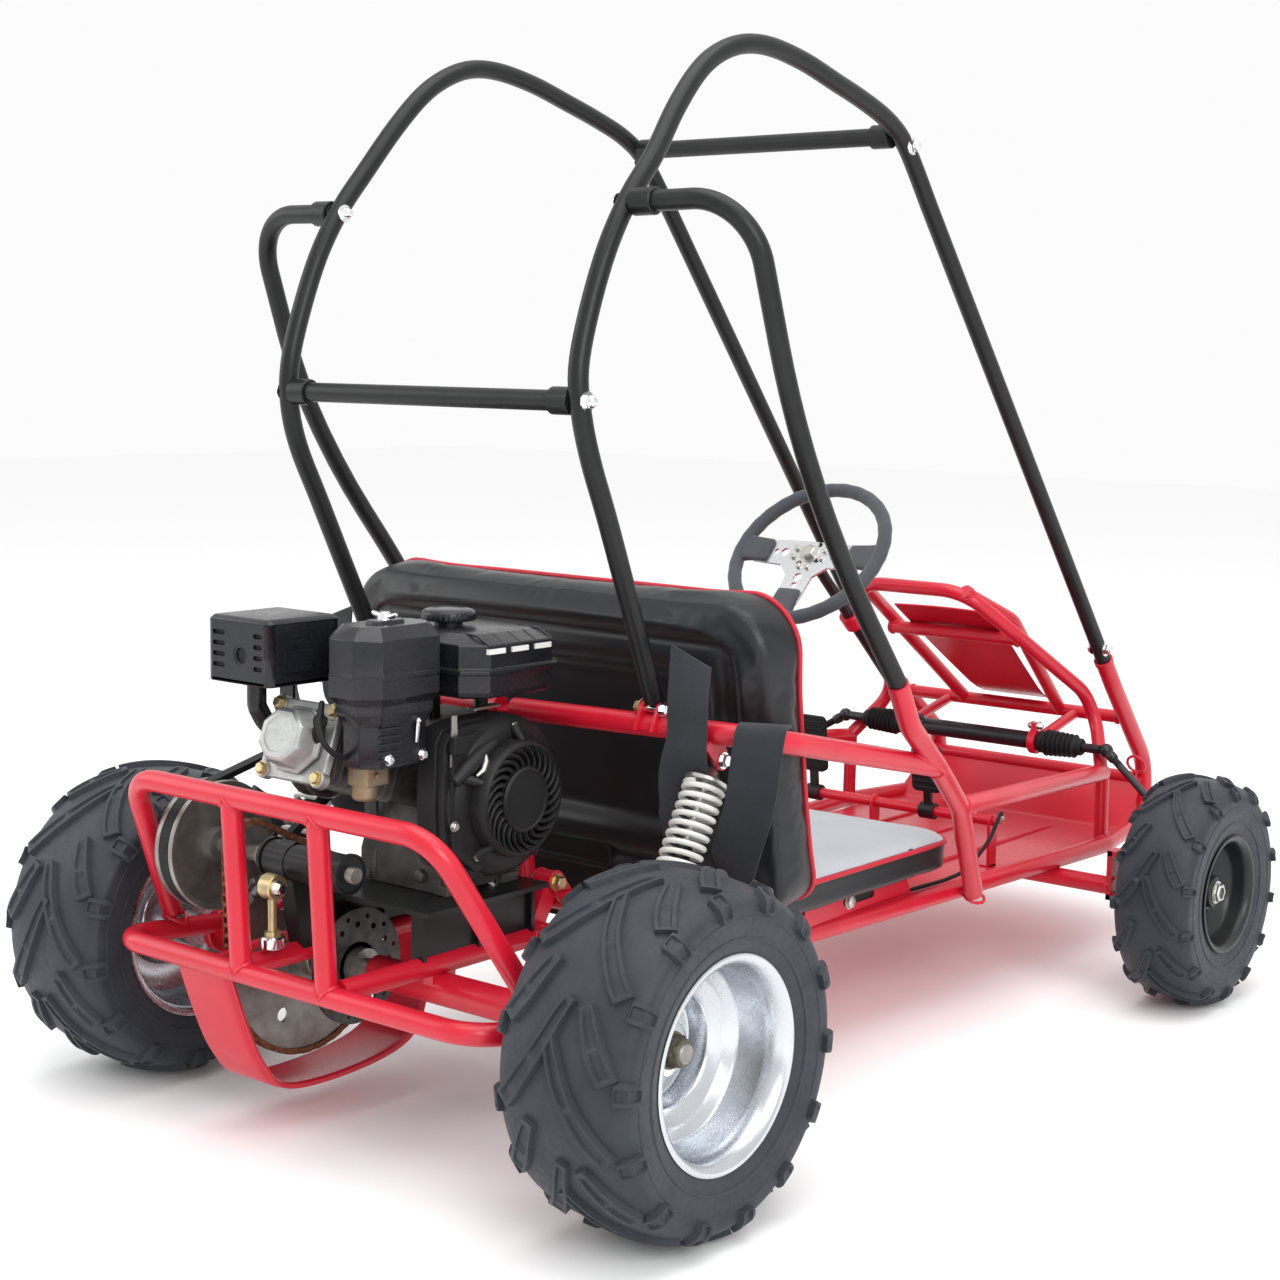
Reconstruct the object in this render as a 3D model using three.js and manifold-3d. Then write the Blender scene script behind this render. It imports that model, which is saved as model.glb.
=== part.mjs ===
// Off road go kart: two-seat bench, roll cage, rear swing unit with engine, live axle and coil-over shocks.
// Millimetres, +Z up. The kart faces -Y and +X is the driver's left.
import * as THREE from 'three';
import { mergeVertices } from 'three/addons/utils/BufferGeometryUtils.js';
import Module from 'manifold-3d';

const wasm = await Module();
wasm.setup();

// Driving dimensions of the whole kart
const wheelbase = 1201;
const halfTrack = 426;
const frontHalfTrack = 480;
const cageHeight = 1322;
const rearTyreRadius = 202;
const rearTyreWidth = 179;
const rearRimRadius = 108;
const frontTyreRadius = 172;
const frontTyreWidth = 133;
const frontRimRadius = 78;

// Tube stock and common fits
const frameTubeRadius = 14;
const noseTubeRadius = 11;
const cageTubeRadius = 12;
const bumperTubeRadius = 13;
const bendRadius = 70;
const gap = 0.3;
const weldInset = 5;
const boreSides = 8;

// Circumradius of a many-sided bore in which a round bar of this radius turns freely
const boreFor = (radius, sides = boreSides) => (radius + gap) / Math.cos(Math.PI / sides);
const boltRadius = 4.5;
const boltHeadRadius = 9;
const boltHeadHeight = 7;
const sheetThickness = 2.5;
const bracketThickness = 5;

// Triangulation counts
const tubeSides = 7;
const weldGap = gap / Math.cos(Math.PI / tubeSides);
const wheelSegments = 16;
const smallSegments = 8;
const boreSegments = 8;
const bendStep = Math.PI / 6;
const mitreTurn = Math.PI / 9;

const X = new THREE.Vector3(1, 0, 0);
const Y = new THREE.Vector3(0, 1, 0);
const Z = new THREE.Vector3(0, 0, 1);

// A place by how far out from the middle, ahead of the rear axle and up from the ground it lies
const at = (out, ahead, up) => new THREE.Vector3(out, -ahead, up);
const spot = ([outShare, aheadShare, upShare]) =>
  at(outShare * halfTrack, aheadShare * wheelbase, upShare * cageHeight);
const spots = (shares) => shares.map(spot);
const toward = (from, to, distance) => from.clone().add(to.clone().sub(from).setLength(distance));

// Volume of a closed mesh, negative where its faces point inwards
function signedVolume(position, index) {
  const [a, b, c] = [new THREE.Vector3(), new THREE.Vector3(), new THREE.Vector3()];
  let volume = 0;
  for (let i = 0; i < index.length; i += 3) {
    a.fromBufferAttribute(position, index[i]);
    b.fromBufferAttribute(position, index[i + 1]);
    c.fromBufferAttribute(position, index[i + 2]);
    volume += a.dot(b.cross(c)) / 6;
  }
  return volume;
}

// A closed geometry with merged vertices, no empty triangles and its faces pointing out
function closed(geometry) {
  const bare = geometry.clone();
  for (const name of Object.keys(bare.attributes)) {
    if (name !== 'position') bare.deleteAttribute(name);
  }
  const merged = mergeVertices(bare);
  const old = merged.index.array;
  const index = [];
  for (let i = 0; i < old.length; i += 3) {
    const [a, b, c] = [old[i], old[i + 1], old[i + 2]];
    if (a !== b && b !== c && c !== a) index.push(a, b, c);
  }
  if (signedVolume(merged.attributes.position, index) < 0) {
    for (let i = 0; i < index.length; i += 3) {
      [index[i + 1], index[i + 2]] = [index[i + 2], index[i + 1]];
    }
  }
  merged.setIndex(index);
  return merged;
}

function solidOf(geometry) {
  const whole = closed(geometry);
  const mesh = new wasm.Mesh({
    numProp: 3,
    vertProperties: new Float32Array(whole.attributes.position.array),
    triVerts: new Uint32Array(whole.index.array),
  });
  return new wasm.Manifold(mesh);
}

function geometryOf(solid) {
  const mesh = solid.getMesh();
  const geometry = new THREE.BufferGeometry();
  geometry.setAttribute('position', new THREE.BufferAttribute(new Float32Array(mesh.vertProperties), 3));
  geometry.setIndex(new THREE.BufferAttribute(new Uint32Array(mesh.triVerts), 1));
  return geometry;
}

const join = (...parts) => geometryOf(parts.map(solidOf).reduce((whole, part) => whole.add(part)));
const cut = (body, ...tools) =>
  geometryOf(tools.map(solidOf).reduce((whole, tool) => whole.subtract(tool), solidOf(body)));
const overlapOf = (body, region) => geometryOf(solidOf(body).intersect(solidOf(region)));
const mirrored = (geometry) => geometry.clone().applyMatrix4(new THREE.Matrix4().makeScale(-1, 1, 1));
const bothSides = (geometry) => [geometry, mirrored(geometry)];

// Straight runs joined by round bends
class BentPath extends THREE.Curve {
  constructor(corners, radius) {
    super();
    this.stations = [corners[0].clone()];
    this.headings = [corners[1].clone().sub(corners[0]).normalize()];
    for (let i = 1; i < corners.length - 1; i++) this.bendAt(corners, i, radius);
    this.stations.push(corners.at(-1).clone());
    this.headings.push(corners.at(-1).clone().sub(corners.at(-2)).normalize());
  }

  bendAt(corners, i, radius) {
    const arrive = corners[i].clone().sub(corners[i - 1]);
    const leave = corners[i + 1].clone().sub(corners[i]);
    const room = Math.min(arrive.length(), leave.length()) * 0.48;
    arrive.normalize();
    leave.normalize();
    const angle = arrive.angleTo(leave);
    if (angle < mitreTurn) {
      this.stations.push(corners[i].clone());
      this.headings.push(arrive.add(leave).normalize());
      return;
    }
    const reach = Math.min(radius * Math.tan(angle / 2), room);
    const bend = reach / Math.tan(angle / 2);
    const inward = leave.clone().addScaledVector(arrive, -Math.cos(angle)).normalize();
    const start = corners[i].clone().addScaledVector(arrive, -reach);
    const steps = Math.max(1, Math.ceil(angle / bendStep));
    for (let k = 0; k <= steps; k++) {
      const turn = (angle * k) / steps;
      this.stations.push(start.clone()
        .addScaledVector(arrive, bend * Math.sin(turn))
        .addScaledVector(inward, bend * (1 - Math.cos(turn))));
      this.headings.push(arrive.clone().multiplyScalar(Math.cos(turn)).addScaledVector(inward, Math.sin(turn)));
    }
  }

  getSpacedPoints() {
    return this.stations;
  }

  getTangentAt(u, target = new THREE.Vector3()) {
    return target.copy(this.headings[Math.round(u * (this.headings.length - 1))]);
  }
}

// Outline of a regular polygon that goes round a circle of this radius
function ringOutline(radius, sides) {
  const points = [];
  for (let i = 0; i < sides; i++) {
    const angle = (2 * Math.PI * i) / sides;
    points.push(new THREE.Vector2(radius * Math.cos(angle), radius * Math.sin(angle)));
  }
  return points;
}

function tube(corners, radius, bend = bendRadius, sides = tubeSides) {
  const path = new BentPath(corners, bend);
  const shape = new THREE.Shape(ringOutline(radius, sides));
  return new THREE.ExtrudeGeometry(shape, { steps: path.stations.length - 1, extrudePath: path });
}

// A straight round bar between two places
const bar = (from, to, radius, sides = tubeSides) => tube([from, to], radius, 0, sides);
const crossBar = (middle, length, radius, sides = tubeSides) =>
  bar(middle.clone().addScaledVector(X, -length / 2), middle.clone().addScaledVector(X, length / 2), radius, sides);

function block(low, high) {
  const size = high.clone().sub(low);
  const geometry = new THREE.BoxGeometry(Math.abs(size.x), Math.abs(size.y), Math.abs(size.z));
  const middle = low.clone().add(high).multiplyScalar(0.5);
  return geometry.translate(middle.x, middle.y, middle.z);
}

// Outline points in counter-clockwise order, with the rear towards +x
function counterClockwise(outline) {
  const points = outline.map(([ahead, up]) => new THREE.Vector2(-ahead, up));
  return THREE.ShapeUtils.isClockWise(points) ? points.reverse() : points;
}

// An outline of [ahead, up] points, pulled out sideways between two widths
function sidePlate(outline, from, to, holes = []) {
  const shape = new THREE.Shape(counterClockwise(outline));
  shape.holes.push(...holes.map((hole) => new THREE.Path(counterClockwise(hole).reverse())));
  const plate = new THREE.ExtrudeGeometry(shape, { depth: to - from, bevelEnabled: false, steps: 1 });
  const stand = new THREE.Matrix4().makeBasis(Y, Z, X);
  return plate.applyMatrix4(stand).translate(from, 0, 0);
}

// A profile of [radius, along] points turned round the X axis, with a flat facet at the bottom
function turnedAcross(profile, segments = wheelSegments) {
  const points = profile.map(([radius, along]) => new THREE.Vector2(radius, along));
  points.push(points[0].clone());
  return new THREE.LatheGeometry(points, segments).rotateZ(-Math.PI / 2).rotateX(Math.PI / segments);
}

// A ring or disc round the X axis
const ringAcross = (inner, outer, from, to, segments = wheelSegments) =>
  turnedAcross([[inner, from], [outer, from], [outer, to], [inner, to]], segments);

// Sheet metal that follows [ahead, up] points, as a closed outline of this thickness
function sheetOutline(points, thickness) {
  const flat = points.map(([ahead, up]) => new THREE.Vector2(ahead, up));
  const normals = flat.map((point, i) => {
    const before = flat[Math.max(i - 1, 0)];
    const after = flat[Math.min(i + 1, flat.length - 1)];
    const along = after.clone().sub(before).normalize();
    return new THREE.Vector2(-along.y, along.x);
  });
  const far = flat.map((point, i) => point.clone().addScaledVector(normals[i], thickness)).reverse();
  return [...flat, ...far].map((point) => [point.x, point.y]);
}

// Turns a piece modelled along +Z so that it runs from one place towards another
function aimed(geometry, from, to) {
  const turn = new THREE.Quaternion().setFromUnitVectors(Z, to.clone().sub(from).normalize());
  return geometry.applyQuaternion(turn).translate(from.x, from.y, from.z);
}

// A turned profile of [radius, along] points, run from one place towards another
function turnedAlong(profile, from, to, segments = wheelSegments) {
  const points = profile.map(([radius, along]) => new THREE.Vector2(radius, along));
  points.push(points[0].clone());
  return aimed(new THREE.LatheGeometry(points, segments).rotateX(Math.PI / 2), from, to);
}

// Finishes
const finish = (color, roughness, metalness) => new THREE.MeshStandardMaterial({ color, roughness, metalness });
const redPaint = () => finish(0xd2142c, 0.32, 0.1);
const blackPaint = () => finish(0x16181a, 0.42, 0.1);
const blackRubber = () => finish(0x1b1c1d, 0.85, 0);
const tyreRubber = () => finish(0x24282b, 0.9, 0);
const blackPlastic = () => finish(0x1a1b1d, 0.5, 0);
const polishedAluminium = () => finish(0xc9cbcd, 0.25, 0.95);
const castAluminium = () => finish(0xa6a9a8, 0.5, 0.8);
const brightSteel = () => finish(0xc2c4c6, 0.3, 0.95);
const darkSteel = () => finish(0x6d6a66, 0.5, 0.85);
const rustySteel = () => finish(0x6a4433, 0.75, 0.5);
const blackVinyl = () => finish(0x202224, 0.6, 0);
const greyVinyl = () => finish(0xb3b8bd, 0.55, 0);
const whitePaint = () => finish(0xe9e8e4, 0.35, 0.05);
const wovenBelt = () => finish(0x2b2e31, 0.85, 0);
const greyRubber = () => finish(0x45494d, 0.7, 0);

const kart = new THREE.Group();

function add(name, geometry, material, parent = kart) {
  const mesh = new THREE.Mesh(closed(geometry), material);
  mesh.name = name;
  parent.add(mesh);
  return mesh;
}

// Adds a piece modelled on the driver's left and its mirror on the right
function addPair(name, geometry, material) {
  add(`${name}_left`, geometry, material());
  add(`${name}_right`, mirrored(geometry), material());
}

// Routes of the frame tubes, as shares of the rear half track, the wheelbase and the cage height
const railShares = [
  [0.467, 0.187, 0.206], [0.479, 0.358, 0.135], [0.596, 1.128, 0.135],
  [0.484, 1.324, 0.135], [0.472, 1.324, 0.211], [0.5296, 1.1763, 0.3253], [0.5305, 1.144, 0.36],
];
const sideTubeShares = [
  [0.9437, 0.3963, 0.416], [0.9296, 0.4313, 0.3707], [0.873, 0.523, 0.318],
  [0.782, 0.63, 0.259], [0.606, 0.776, 0.135],
];
const branchShares = [[0.782, 0.63, 0.259], [0.568, 1.131, 0.223]];
const upperRailShares = [[0, 0.169, 0.382], [0.911, 0.178, 0.387], [0.873, 0.523, 0.318]];
const noseHoopShares = [
  [0, 0.956, 0.4465], [0.223, 0.958, 0.4465], [0.354, 1.019, 0.394],
  [0.439, 1.159, 0.314], [0.469, 1.176, 0.276], [0.563, 1.13, 0.227],
];
const noseTubeShares = [[0.225, 0.958, 0.4465], [0.286, 1.051, 0.408], [0.216, 1.241, 0.276]];
const cageShares = [
  [0.5305, 1.144, 0.36], [0.545, 0.609, 0.937], [0.531, 0.392, 1.006], [0.531, 0.275, 1.017],
  [0.505, 0.115, 0.846], [0.559, 0.043, 0.703], [0.568, 0.062, 0.628], [0.542, 0.172, 0.409],
];
const sideBarShares = [
  [0.505, 0.115, 0.846], [0.998, 0.125, 0.849], [1, 0.201, 0.68], [0.995, 0.266, 0.586], [0.9437, 0.3963, 0.416],
];
const postShares = [[0.571, 1.132, 0.135], [0.568, 1.131, 0.223]];

const railRoute = spots(railShares);
const railHeight = railRoute[1].z;
const rail = (grow = 0) => tube(railRoute, frameTubeRadius + grow);
const sideTube = (grow = 0) => tube(spots(sideTubeShares), frameTubeRadius + grow);
const branch = (grow = 0) => tube(spots(branchShares), frameTubeRadius - 2 * gap + grow);
const post = (grow = 0) => tube(spots(postShares), noseTubeRadius + grow);

// Slotted plate on the rail, in which the seat slides
const slidePlateOut = 219;
const slidePlateStart = 560;
const slidePlateEnd = 815;
const slidePlateTop = 221;
const slideBoltAhead = 660;
const slideBoltHeight = 208;
const seatTravel = 50;
const slotHalfHeight = boltRadius + 1;
const slotEndRoom = 4;

function slidePlate() {
  const foot = railHeight + frameTubeRadius / 2;
  const slope = slidePlateTop - foot;
  const outline = [
    [slidePlateStart, foot], [slidePlateEnd, foot], [slidePlateEnd - slope / 2, slidePlateTop],
    [slidePlateStart, slidePlateTop],
  ];
  const slotStart = slideBoltAhead - boltRadius - slotEndRoom;
  const slotEnd = slideBoltAhead + seatTravel + boltRadius + slotEndRoom;
  const slot = [
    [slotStart, slideBoltHeight - slotHalfHeight], [slotEnd, slideBoltHeight - slotHalfHeight],
    [slotEnd, slideBoltHeight + slotHalfHeight], [slotStart, slideBoltHeight + slotHalfHeight],
  ];
  return sidePlate(outline, slidePlateOut - sheetThickness / 2, slidePlateOut + sheetThickness / 2, [slot]);
}

addPair('lower_frame', join(rail(), sideTube(), branch(), post(), slidePlate()), redPaint);

// Upper rail behind the seat, with the hoop's lower bracket and the upper shock bracket
const postHalfWidth = 12;
const shockOut = 308;
const shockTop = at(shockOut, 226, 476);
const shockLow = at(shockOut, 100, 250);
const shockEyeRadius = 11;
const shockEyeHalfWidth = 8;
const shockEyeRoom = 1;
const clevisGap = shockEyeHalfWidth + shockEyeRoom;

// Two plates and a pin that hold an eye at a place, joined to what lies in the given direction
function clevis(eye, reach, pinRadius) {
  const back = reach.clone().setLength(shockEyeRadius);
  const side = new THREE.Vector3(0, -back.z, back.y);
  const tip = eye.clone().addScaledVector(back, -1);
  const root = eye.clone().add(reach);
  const outline = [tip.clone().add(side), root.clone().add(side), root.clone().sub(side), tip.clone().sub(side)];
  const flat = outline.map((point) => [-point.y, point.z]);
  const inner = sidePlate(flat, eye.x - clevisGap - bracketThickness, eye.x - clevisGap);
  const outer = sidePlate(flat, eye.x + clevisGap, eye.x + clevisGap + bracketThickness);
  const span = 2 * (clevisGap + bracketThickness + boltHeadHeight);
  return [inner, outer, crossBar(eye, span, pinRadius)];
}

const boltHead = (middle) => crossBar(middle, boltHeadHeight, boltHeadRadius, 6);
const upperRailRoute = spots(upperRailShares);
const upperRailStart = upperRailRoute[0].clone().setX(postHalfWidth + 1);
const upperRailEnd = toward(upperRailRoute.at(-1), upperRailRoute.at(-2), 3 * weldInset);
const upperRail = () => tube([upperRailStart, ...upperRailRoute.slice(1, -1), upperRailEnd], frameTubeRadius);
const cageRoute = spots(cageShares);
const cageBendRadius = 150;
const cageStart = toward(cageRoute[0], cageRoute[1], gap);
const cageTube = (grow = 0) => tube([cageStart, ...cageRoute.slice(1)], cageTubeRadius + grow, cageBendRadius);
const hoopFoot = cageRoute.at(-1);
const hoopTabHeight = 34;
const hoopTabHalfWidth = 16;

function hoopTabs() {
  const railTop = upperRailRoute[0].z;
  const outline = [
    [-upperRailRoute[0].y - hoopTabHalfWidth, railTop], [-upperRailRoute[0].y + hoopTabHalfWidth, railTop],
    [-hoopFoot.y + hoopTabHalfWidth / 2, railTop + hoopTabHeight],
    [-hoopFoot.y - hoopTabHalfWidth / 2, railTop + hoopTabHeight],
  ];
  const inside = hoopFoot.x - cageTubeRadius + sheetThickness;
  const outside = hoopFoot.x + cageTubeRadius - sheetThickness;
  const boltMiddle = at(hoopFoot.x, -hoopFoot.y, railTop + hoopTabHeight * 0.7);
  return [
    sidePlate(outline, inside - bracketThickness, inside),
    sidePlate(outline, outside, outside + bracketThickness),
    boltHead(boltMiddle.clone().setX(inside - bracketThickness - boltHeadHeight / 2 + gap)),
    boltHead(boltMiddle.clone().setX(outside + bracketThickness + boltHeadHeight / 2 - gap)),
  ];
}

const shockReach = new THREE.Vector3(0, upperRailRoute[0].y - shockTop.y, upperRailRoute[0].z - shockTop.z);
addPair('upper_rail', cut(
  join(upperRail(), ...hoopTabs(), ...clevis(shockTop, shockReach, boltRadius)),
  sideTube(weldGap), cageTube(weldGap)), redPaint);

// Rear cross tube with the swing unit's pivot ears, and the post that carries the upper rails
const crossTube = at(0, 240, 262);
const pivot = at(0, 215, 290);
const pivotOut = 60;
const pivotEarRadius = 15;
const bushHalfWidth = 9;
const pivotPinRadius = 6;

function pivotEars() {
  const pieces = [];
  for (const side of [-1, 1]) {
    for (const face of [-1, 1]) {
      const from = side * pivotOut + face * (bushHalfWidth + gap);
      const to = from + face * bracketThickness;
      const outline = [
        [-crossTube.y + frameTubeRadius, crossTube.z], [-crossTube.y - frameTubeRadius, crossTube.z],
        [-pivot.y - pivotEarRadius, pivot.z], [-pivot.y - pivotEarRadius / 2, pivot.z + pivotEarRadius],
        [-pivot.y + pivotEarRadius, pivot.z + pivotEarRadius],
      ];
      pieces.push(sidePlate(outline, Math.min(from, to), Math.max(from, to)));
    }
    const middle = pivot.clone().setX(side * pivotOut);
    pieces.push(crossBar(middle, 2 * (bushHalfWidth + bracketThickness + boltHeadHeight), pivotPinRadius));
    pieces.push(boltHead(middle.clone().addScaledVector(X, bushHalfWidth + bracketThickness + boltHeadHeight / 2)));
    pieces.push(boltHead(middle.clone().addScaledVector(X, -bushHalfWidth - bracketThickness - boltHeadHeight / 2)));
  }
  return pieces;
}

const postLow = crossTube.clone();
const postHigh = upperRailRoute[0].clone();
const rearPost = sidePlate([
  [-postLow.y + postHalfWidth, postLow.z], [-postHigh.y + postHalfWidth, postHigh.z + frameTubeRadius],
  [-postHigh.y - postHalfWidth, postHigh.z + frameTubeRadius], [-postLow.y - postHalfWidth, postLow.z],
], -postHalfWidth, postHalfWidth);
add('rear_frame', cut(
  join(crossBar(crossTube, 2 * (railRoute[0].x - weldInset), frameTubeRadius), rearPost, ...pivotEars()),
  rail(weldGap), mirrored(rail(weldGap))), redPaint());

// Front axle beam below the rails, with a yoke and kingpin at each end
const kingpinOut = 385;
const kingpinRadius = 6;
const bossRadius = 14;
const bossHalfHeight = 30;
const yokeThickness = 8;
const yokeWebOut = 350;
const yokeHalfDepth = 14;
const beamHeight = railHeight - 2 * frameTubeRadius + sheetThickness;
const beam = at(0, wheelbase, beamHeight);

function yoke() {
  const low = frontTyreRadius - bossHalfHeight - gap;
  const high = frontTyreRadius + bossHalfHeight + gap;
  const inner = yokeWebOut - yokeThickness;
  const outer = kingpinOut + yokeHalfDepth;
  const plate = (bottom, top) => block(
    at(inner, wheelbase - yokeHalfDepth, bottom), at(outer, wheelbase + yokeHalfDepth, top));
  const web = block(
    at(inner, wheelbase - yokeHalfDepth, low - yokeThickness),
    at(yokeWebOut, wheelbase + yokeHalfDepth, high + yokeThickness));
  const pinOver = yokeThickness + boltHeadHeight;
  const pin = bar(at(kingpinOut, wheelbase, low - pinOver), at(kingpinOut, wheelbase, high + pinOver), kingpinRadius);
  return [plate(low - yokeThickness, low), plate(high, high + yokeThickness), web, pin];
}

const yokes = yoke();
add('front_axle_beam', cut(
  join(crossBar(beam, 2 * yokeWebOut, frameTubeRadius), ...yokes, ...yokes.map(mirrored)),
  rail(weldGap), mirrored(rail(weldGap))), redPaint());

// Floor pan between the rails, with its rising front wall, the front cross tube and the pedal bar
const floorStart = 520;
const frontTubePlace = at(0, 1568, 250);
const wallFoot = 1490;
const floorThickness = sheetThickness;
const floorLevel = railHeight - frameTubeRadius / 2;
const pedalBarPlace = at(0, 1110, 245);
const pedalBarHalfLength = 195;
const pedalBarRadius = 8;
const pedalStayWidth = 20;
const pedalStayOuts = [-185, 30, 185];

function floorSheet() {
  const outline = sheetOutline([
    [floorStart, floorLevel], [wallFoot, floorLevel], [-frontTubePlace.y, frontTubePlace.z],
  ], floorThickness);
  return sidePlate(outline, -halfTrack, halfTrack);
}

// The room between the rails, seen from above
function betweenRails() {
  const edge = railRoute.slice(1, 4).map((point) => new THREE.Vector2(point.x, point.y));
  const shape = new THREE.Shape([
    ...edge, ...edge.slice().reverse().map((point) => new THREE.Vector2(-point.x, point.y)),
  ]);
  return new THREE.ExtrudeGeometry(shape, { depth: cageHeight, bevelEnabled: false, steps: 1 });
}

function pedalStays() {
  return pedalStayOuts.map((out) => block(
    at(out - sheetThickness, -pedalBarPlace.y - pedalStayWidth / 2, floorLevel),
    at(out + sheetThickness, -pedalBarPlace.y + pedalStayWidth / 2, pedalBarPlace.z)));
}

const floorPan = join(
  overlapOf(floorSheet(), betweenRails()), crossBar(frontTubePlace, 2 * (railRoute[4].x - weldInset), noseTubeRadius),
  crossBar(pedalBarPlace, 2 * pedalBarHalfLength, pedalBarRadius), ...pedalStays());
add('floor_pan', cut(floorPan, rail(weldGap), mirrored(rail(weldGap)), post(weldGap), mirrored(post(weldGap)),
  sideTube(weldGap), mirrored(sideTube(weldGap))), redPaint());

// Nose frame: hoop over the feet, two sloping tubes, cross bars, rack clamps and column bracket
const lowBarPlace = at(0, 1490, 365);
const lowBarHalfLength = 208;
const middleBarPlace = at(0, 1288, 505);
const rackPlace = at(0, 1352, 332);
const rackHousingRadius = 14;
const clampOut = 122;
const clampWidth = 10;
const clampRadius = 21;
const clampStayRadius = 8.5;
const clampStayPlace = at(clampOut, 1486, 362);
const columnOut = 100;
const wheelPlace = at(columnOut, 1009, 643);
const columnFoot = rackPlace.clone().setX(columnOut);
const columnRadius = 9;
const collarShare = 0.36;
const collarRadius = 16;
const collarHalfLength = 14;
const collar = wheelPlace.clone().lerp(columnFoot, collarShare);
const columnBracketHalfWidth = 9;

const noseHoopHalf = spots(noseHoopShares);
const noseHoop = () => tube([
  ...noseHoopHalf.slice(1).reverse(), ...noseHoopHalf.slice(1).map((point) => point.clone().setX(-point.x)),
], noseTubeRadius);
const noseTube = tube(spots(noseTubeShares), noseTubeRadius - 2 * gap);
const clampRing = ringAcross(
  boreFor(rackHousingRadius), clampRadius, clampOut - clampWidth / 2, clampOut + clampWidth / 2, boreSides)
  .translate(0, rackPlace.y, rackPlace.z);
const clampStay = cut(
  bar(clampStayPlace, rackPlace.clone().setX(clampOut), clampStayRadius),
  crossBar(rackPlace, 2 * halfTrack, boreFor(rackHousingRadius), boreSides));

function columnBracket() {
  const along = columnFoot.clone().sub(wheelPlace).normalize();
  const high = collar.clone().addScaledVector(along, -collarHalfLength);
  const ring = turnedAlong([
    [boreFor(columnRadius), 0], [collarRadius, 0], [collarRadius, 2 * collarHalfLength],
    [boreFor(columnRadius), 2 * collarHalfLength],
  ], high, columnFoot, smallSegments);
  const hoopTop = noseHoopHalf[1];
  const plate = sidePlate([
    [-hoopTop.y, hoopTop.z - noseTubeRadius / 2], [-collar.y - collarHalfLength, collar.z + collarRadius],
    [-collar.y - columnBracketHalfWidth, collar.z], [-collar.y + columnBracketHalfWidth, collar.z],
    [-hoopTop.y + noseTubeRadius, hoopTop.z],
  ], columnOut - columnBracketHalfWidth, columnOut + columnBracketHalfWidth);
  const bore = bar(wheelPlace, columnFoot, boreFor(columnRadius), boreSides);
  return [ring, cut(plate, bore)];
}

const noseFrame = join(
  noseHoop(), noseTube, mirrored(noseTube), crossBar(lowBarPlace, 2 * lowBarHalfLength, noseTubeRadius - gap),
  crossBar(middleBarPlace, 2 * noseHoopHalf[2].x * 0.82, noseTubeRadius - gap),
  ...bothSides(clampRing), ...bothSides(clampStay), ...columnBracket());
add('nose_frame', cut(noseFrame, rail(weldGap), mirrored(rail(weldGap)), branch(weldGap), mirrored(branch(weldGap)),
  post(weldGap), mirrored(post(weldGap))), redPaint());

// Curved sheet shield on the front of the nose, narrower at the bottom
const shieldTopHalfWidth = 92;
const shieldLowHalfWidth = 62;
const shieldRise = 58;
const shieldSeat = noseTubeRadius;

function noseShield() {
  const slope = middleBarPlace.clone().sub(lowBarPlace).normalize();
  const face = X.clone().cross(slope);
  const low = lowBarPlace.clone().addScaledVector(face, shieldSeat);
  const top = middleBarPlace.clone().addScaledVector(face, shieldSeat).addScaledVector(slope, shieldRise);
  const sheet = sidePlate(
    sheetOutline([[-low.y, low.z], [-top.y, top.z]], -sheetThickness), -halfTrack, halfTrack);
  const outline = new THREE.Shape([
    new THREE.Vector2(-shieldLowHalfWidth, low.z - shieldRise), new THREE.Vector2(shieldLowHalfWidth, low.z - shieldRise),
    new THREE.Vector2(shieldTopHalfWidth, top.z + shieldRise), new THREE.Vector2(-shieldTopHalfWidth, top.z + shieldRise),
  ]);
  const window = new THREE.ExtrudeGeometry(outline, { depth: 2 * wheelbase, bevelEnabled: false, steps: 1 });
  return overlapOf(sheet, window.rotateX(Math.PI / 2));
}

add('nose_shield', noseShield(), redPaint());

// Black roll cage: two side tubes, two cross bars and two side bars
const cageBoltRadius = 8;
const cageBoltLength = 12;
const collarGrow = 4;
const collarLength = 26;
const topBarPlace = cageRoute[1].clone().setX(0);
const midBarPlace = cageRoute[5].clone().lerp(cageRoute[6], 0.3).setX(0);
const sideBarRoute = spots(sideBarShares);

// A bolt with a domed nut that stands out of the cage tube
const cageBolt = (place, outward) => bar(
  place, place.clone().addScaledVector(outward, cageTubeRadius + cageBoltLength), cageBoltRadius, 8);

addPair('cage_side', join(
  cageTube(), cageBolt(cageRoute[1], X), cageBolt(midBarPlace.clone().setX(cageRoute[5].x), X),
  cageBolt(toward(cageRoute[0], cageRoute[1], 2 * cageBoltLength), X)), blackPaint);

function cageBar(middle, halfLength) {
  const end = halfLength - weldInset;
  const collars = bothSides(bar(
    middle.clone().setX(end - collarLength), middle.clone().setX(end), cageTubeRadius + collarGrow));
  return cut(
    join(crossBar(middle, 2 * end, cageTubeRadius), ...collars), cageTube(weldGap), mirrored(cageTube(weldGap)));
}

add('cage_top_bar', cageBar(topBarPlace, cageRoute[1].x), blackPaint());
add('cage_mid_bar', cageBar(midBarPlace, cageRoute[5].x), blackPaint());

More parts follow.
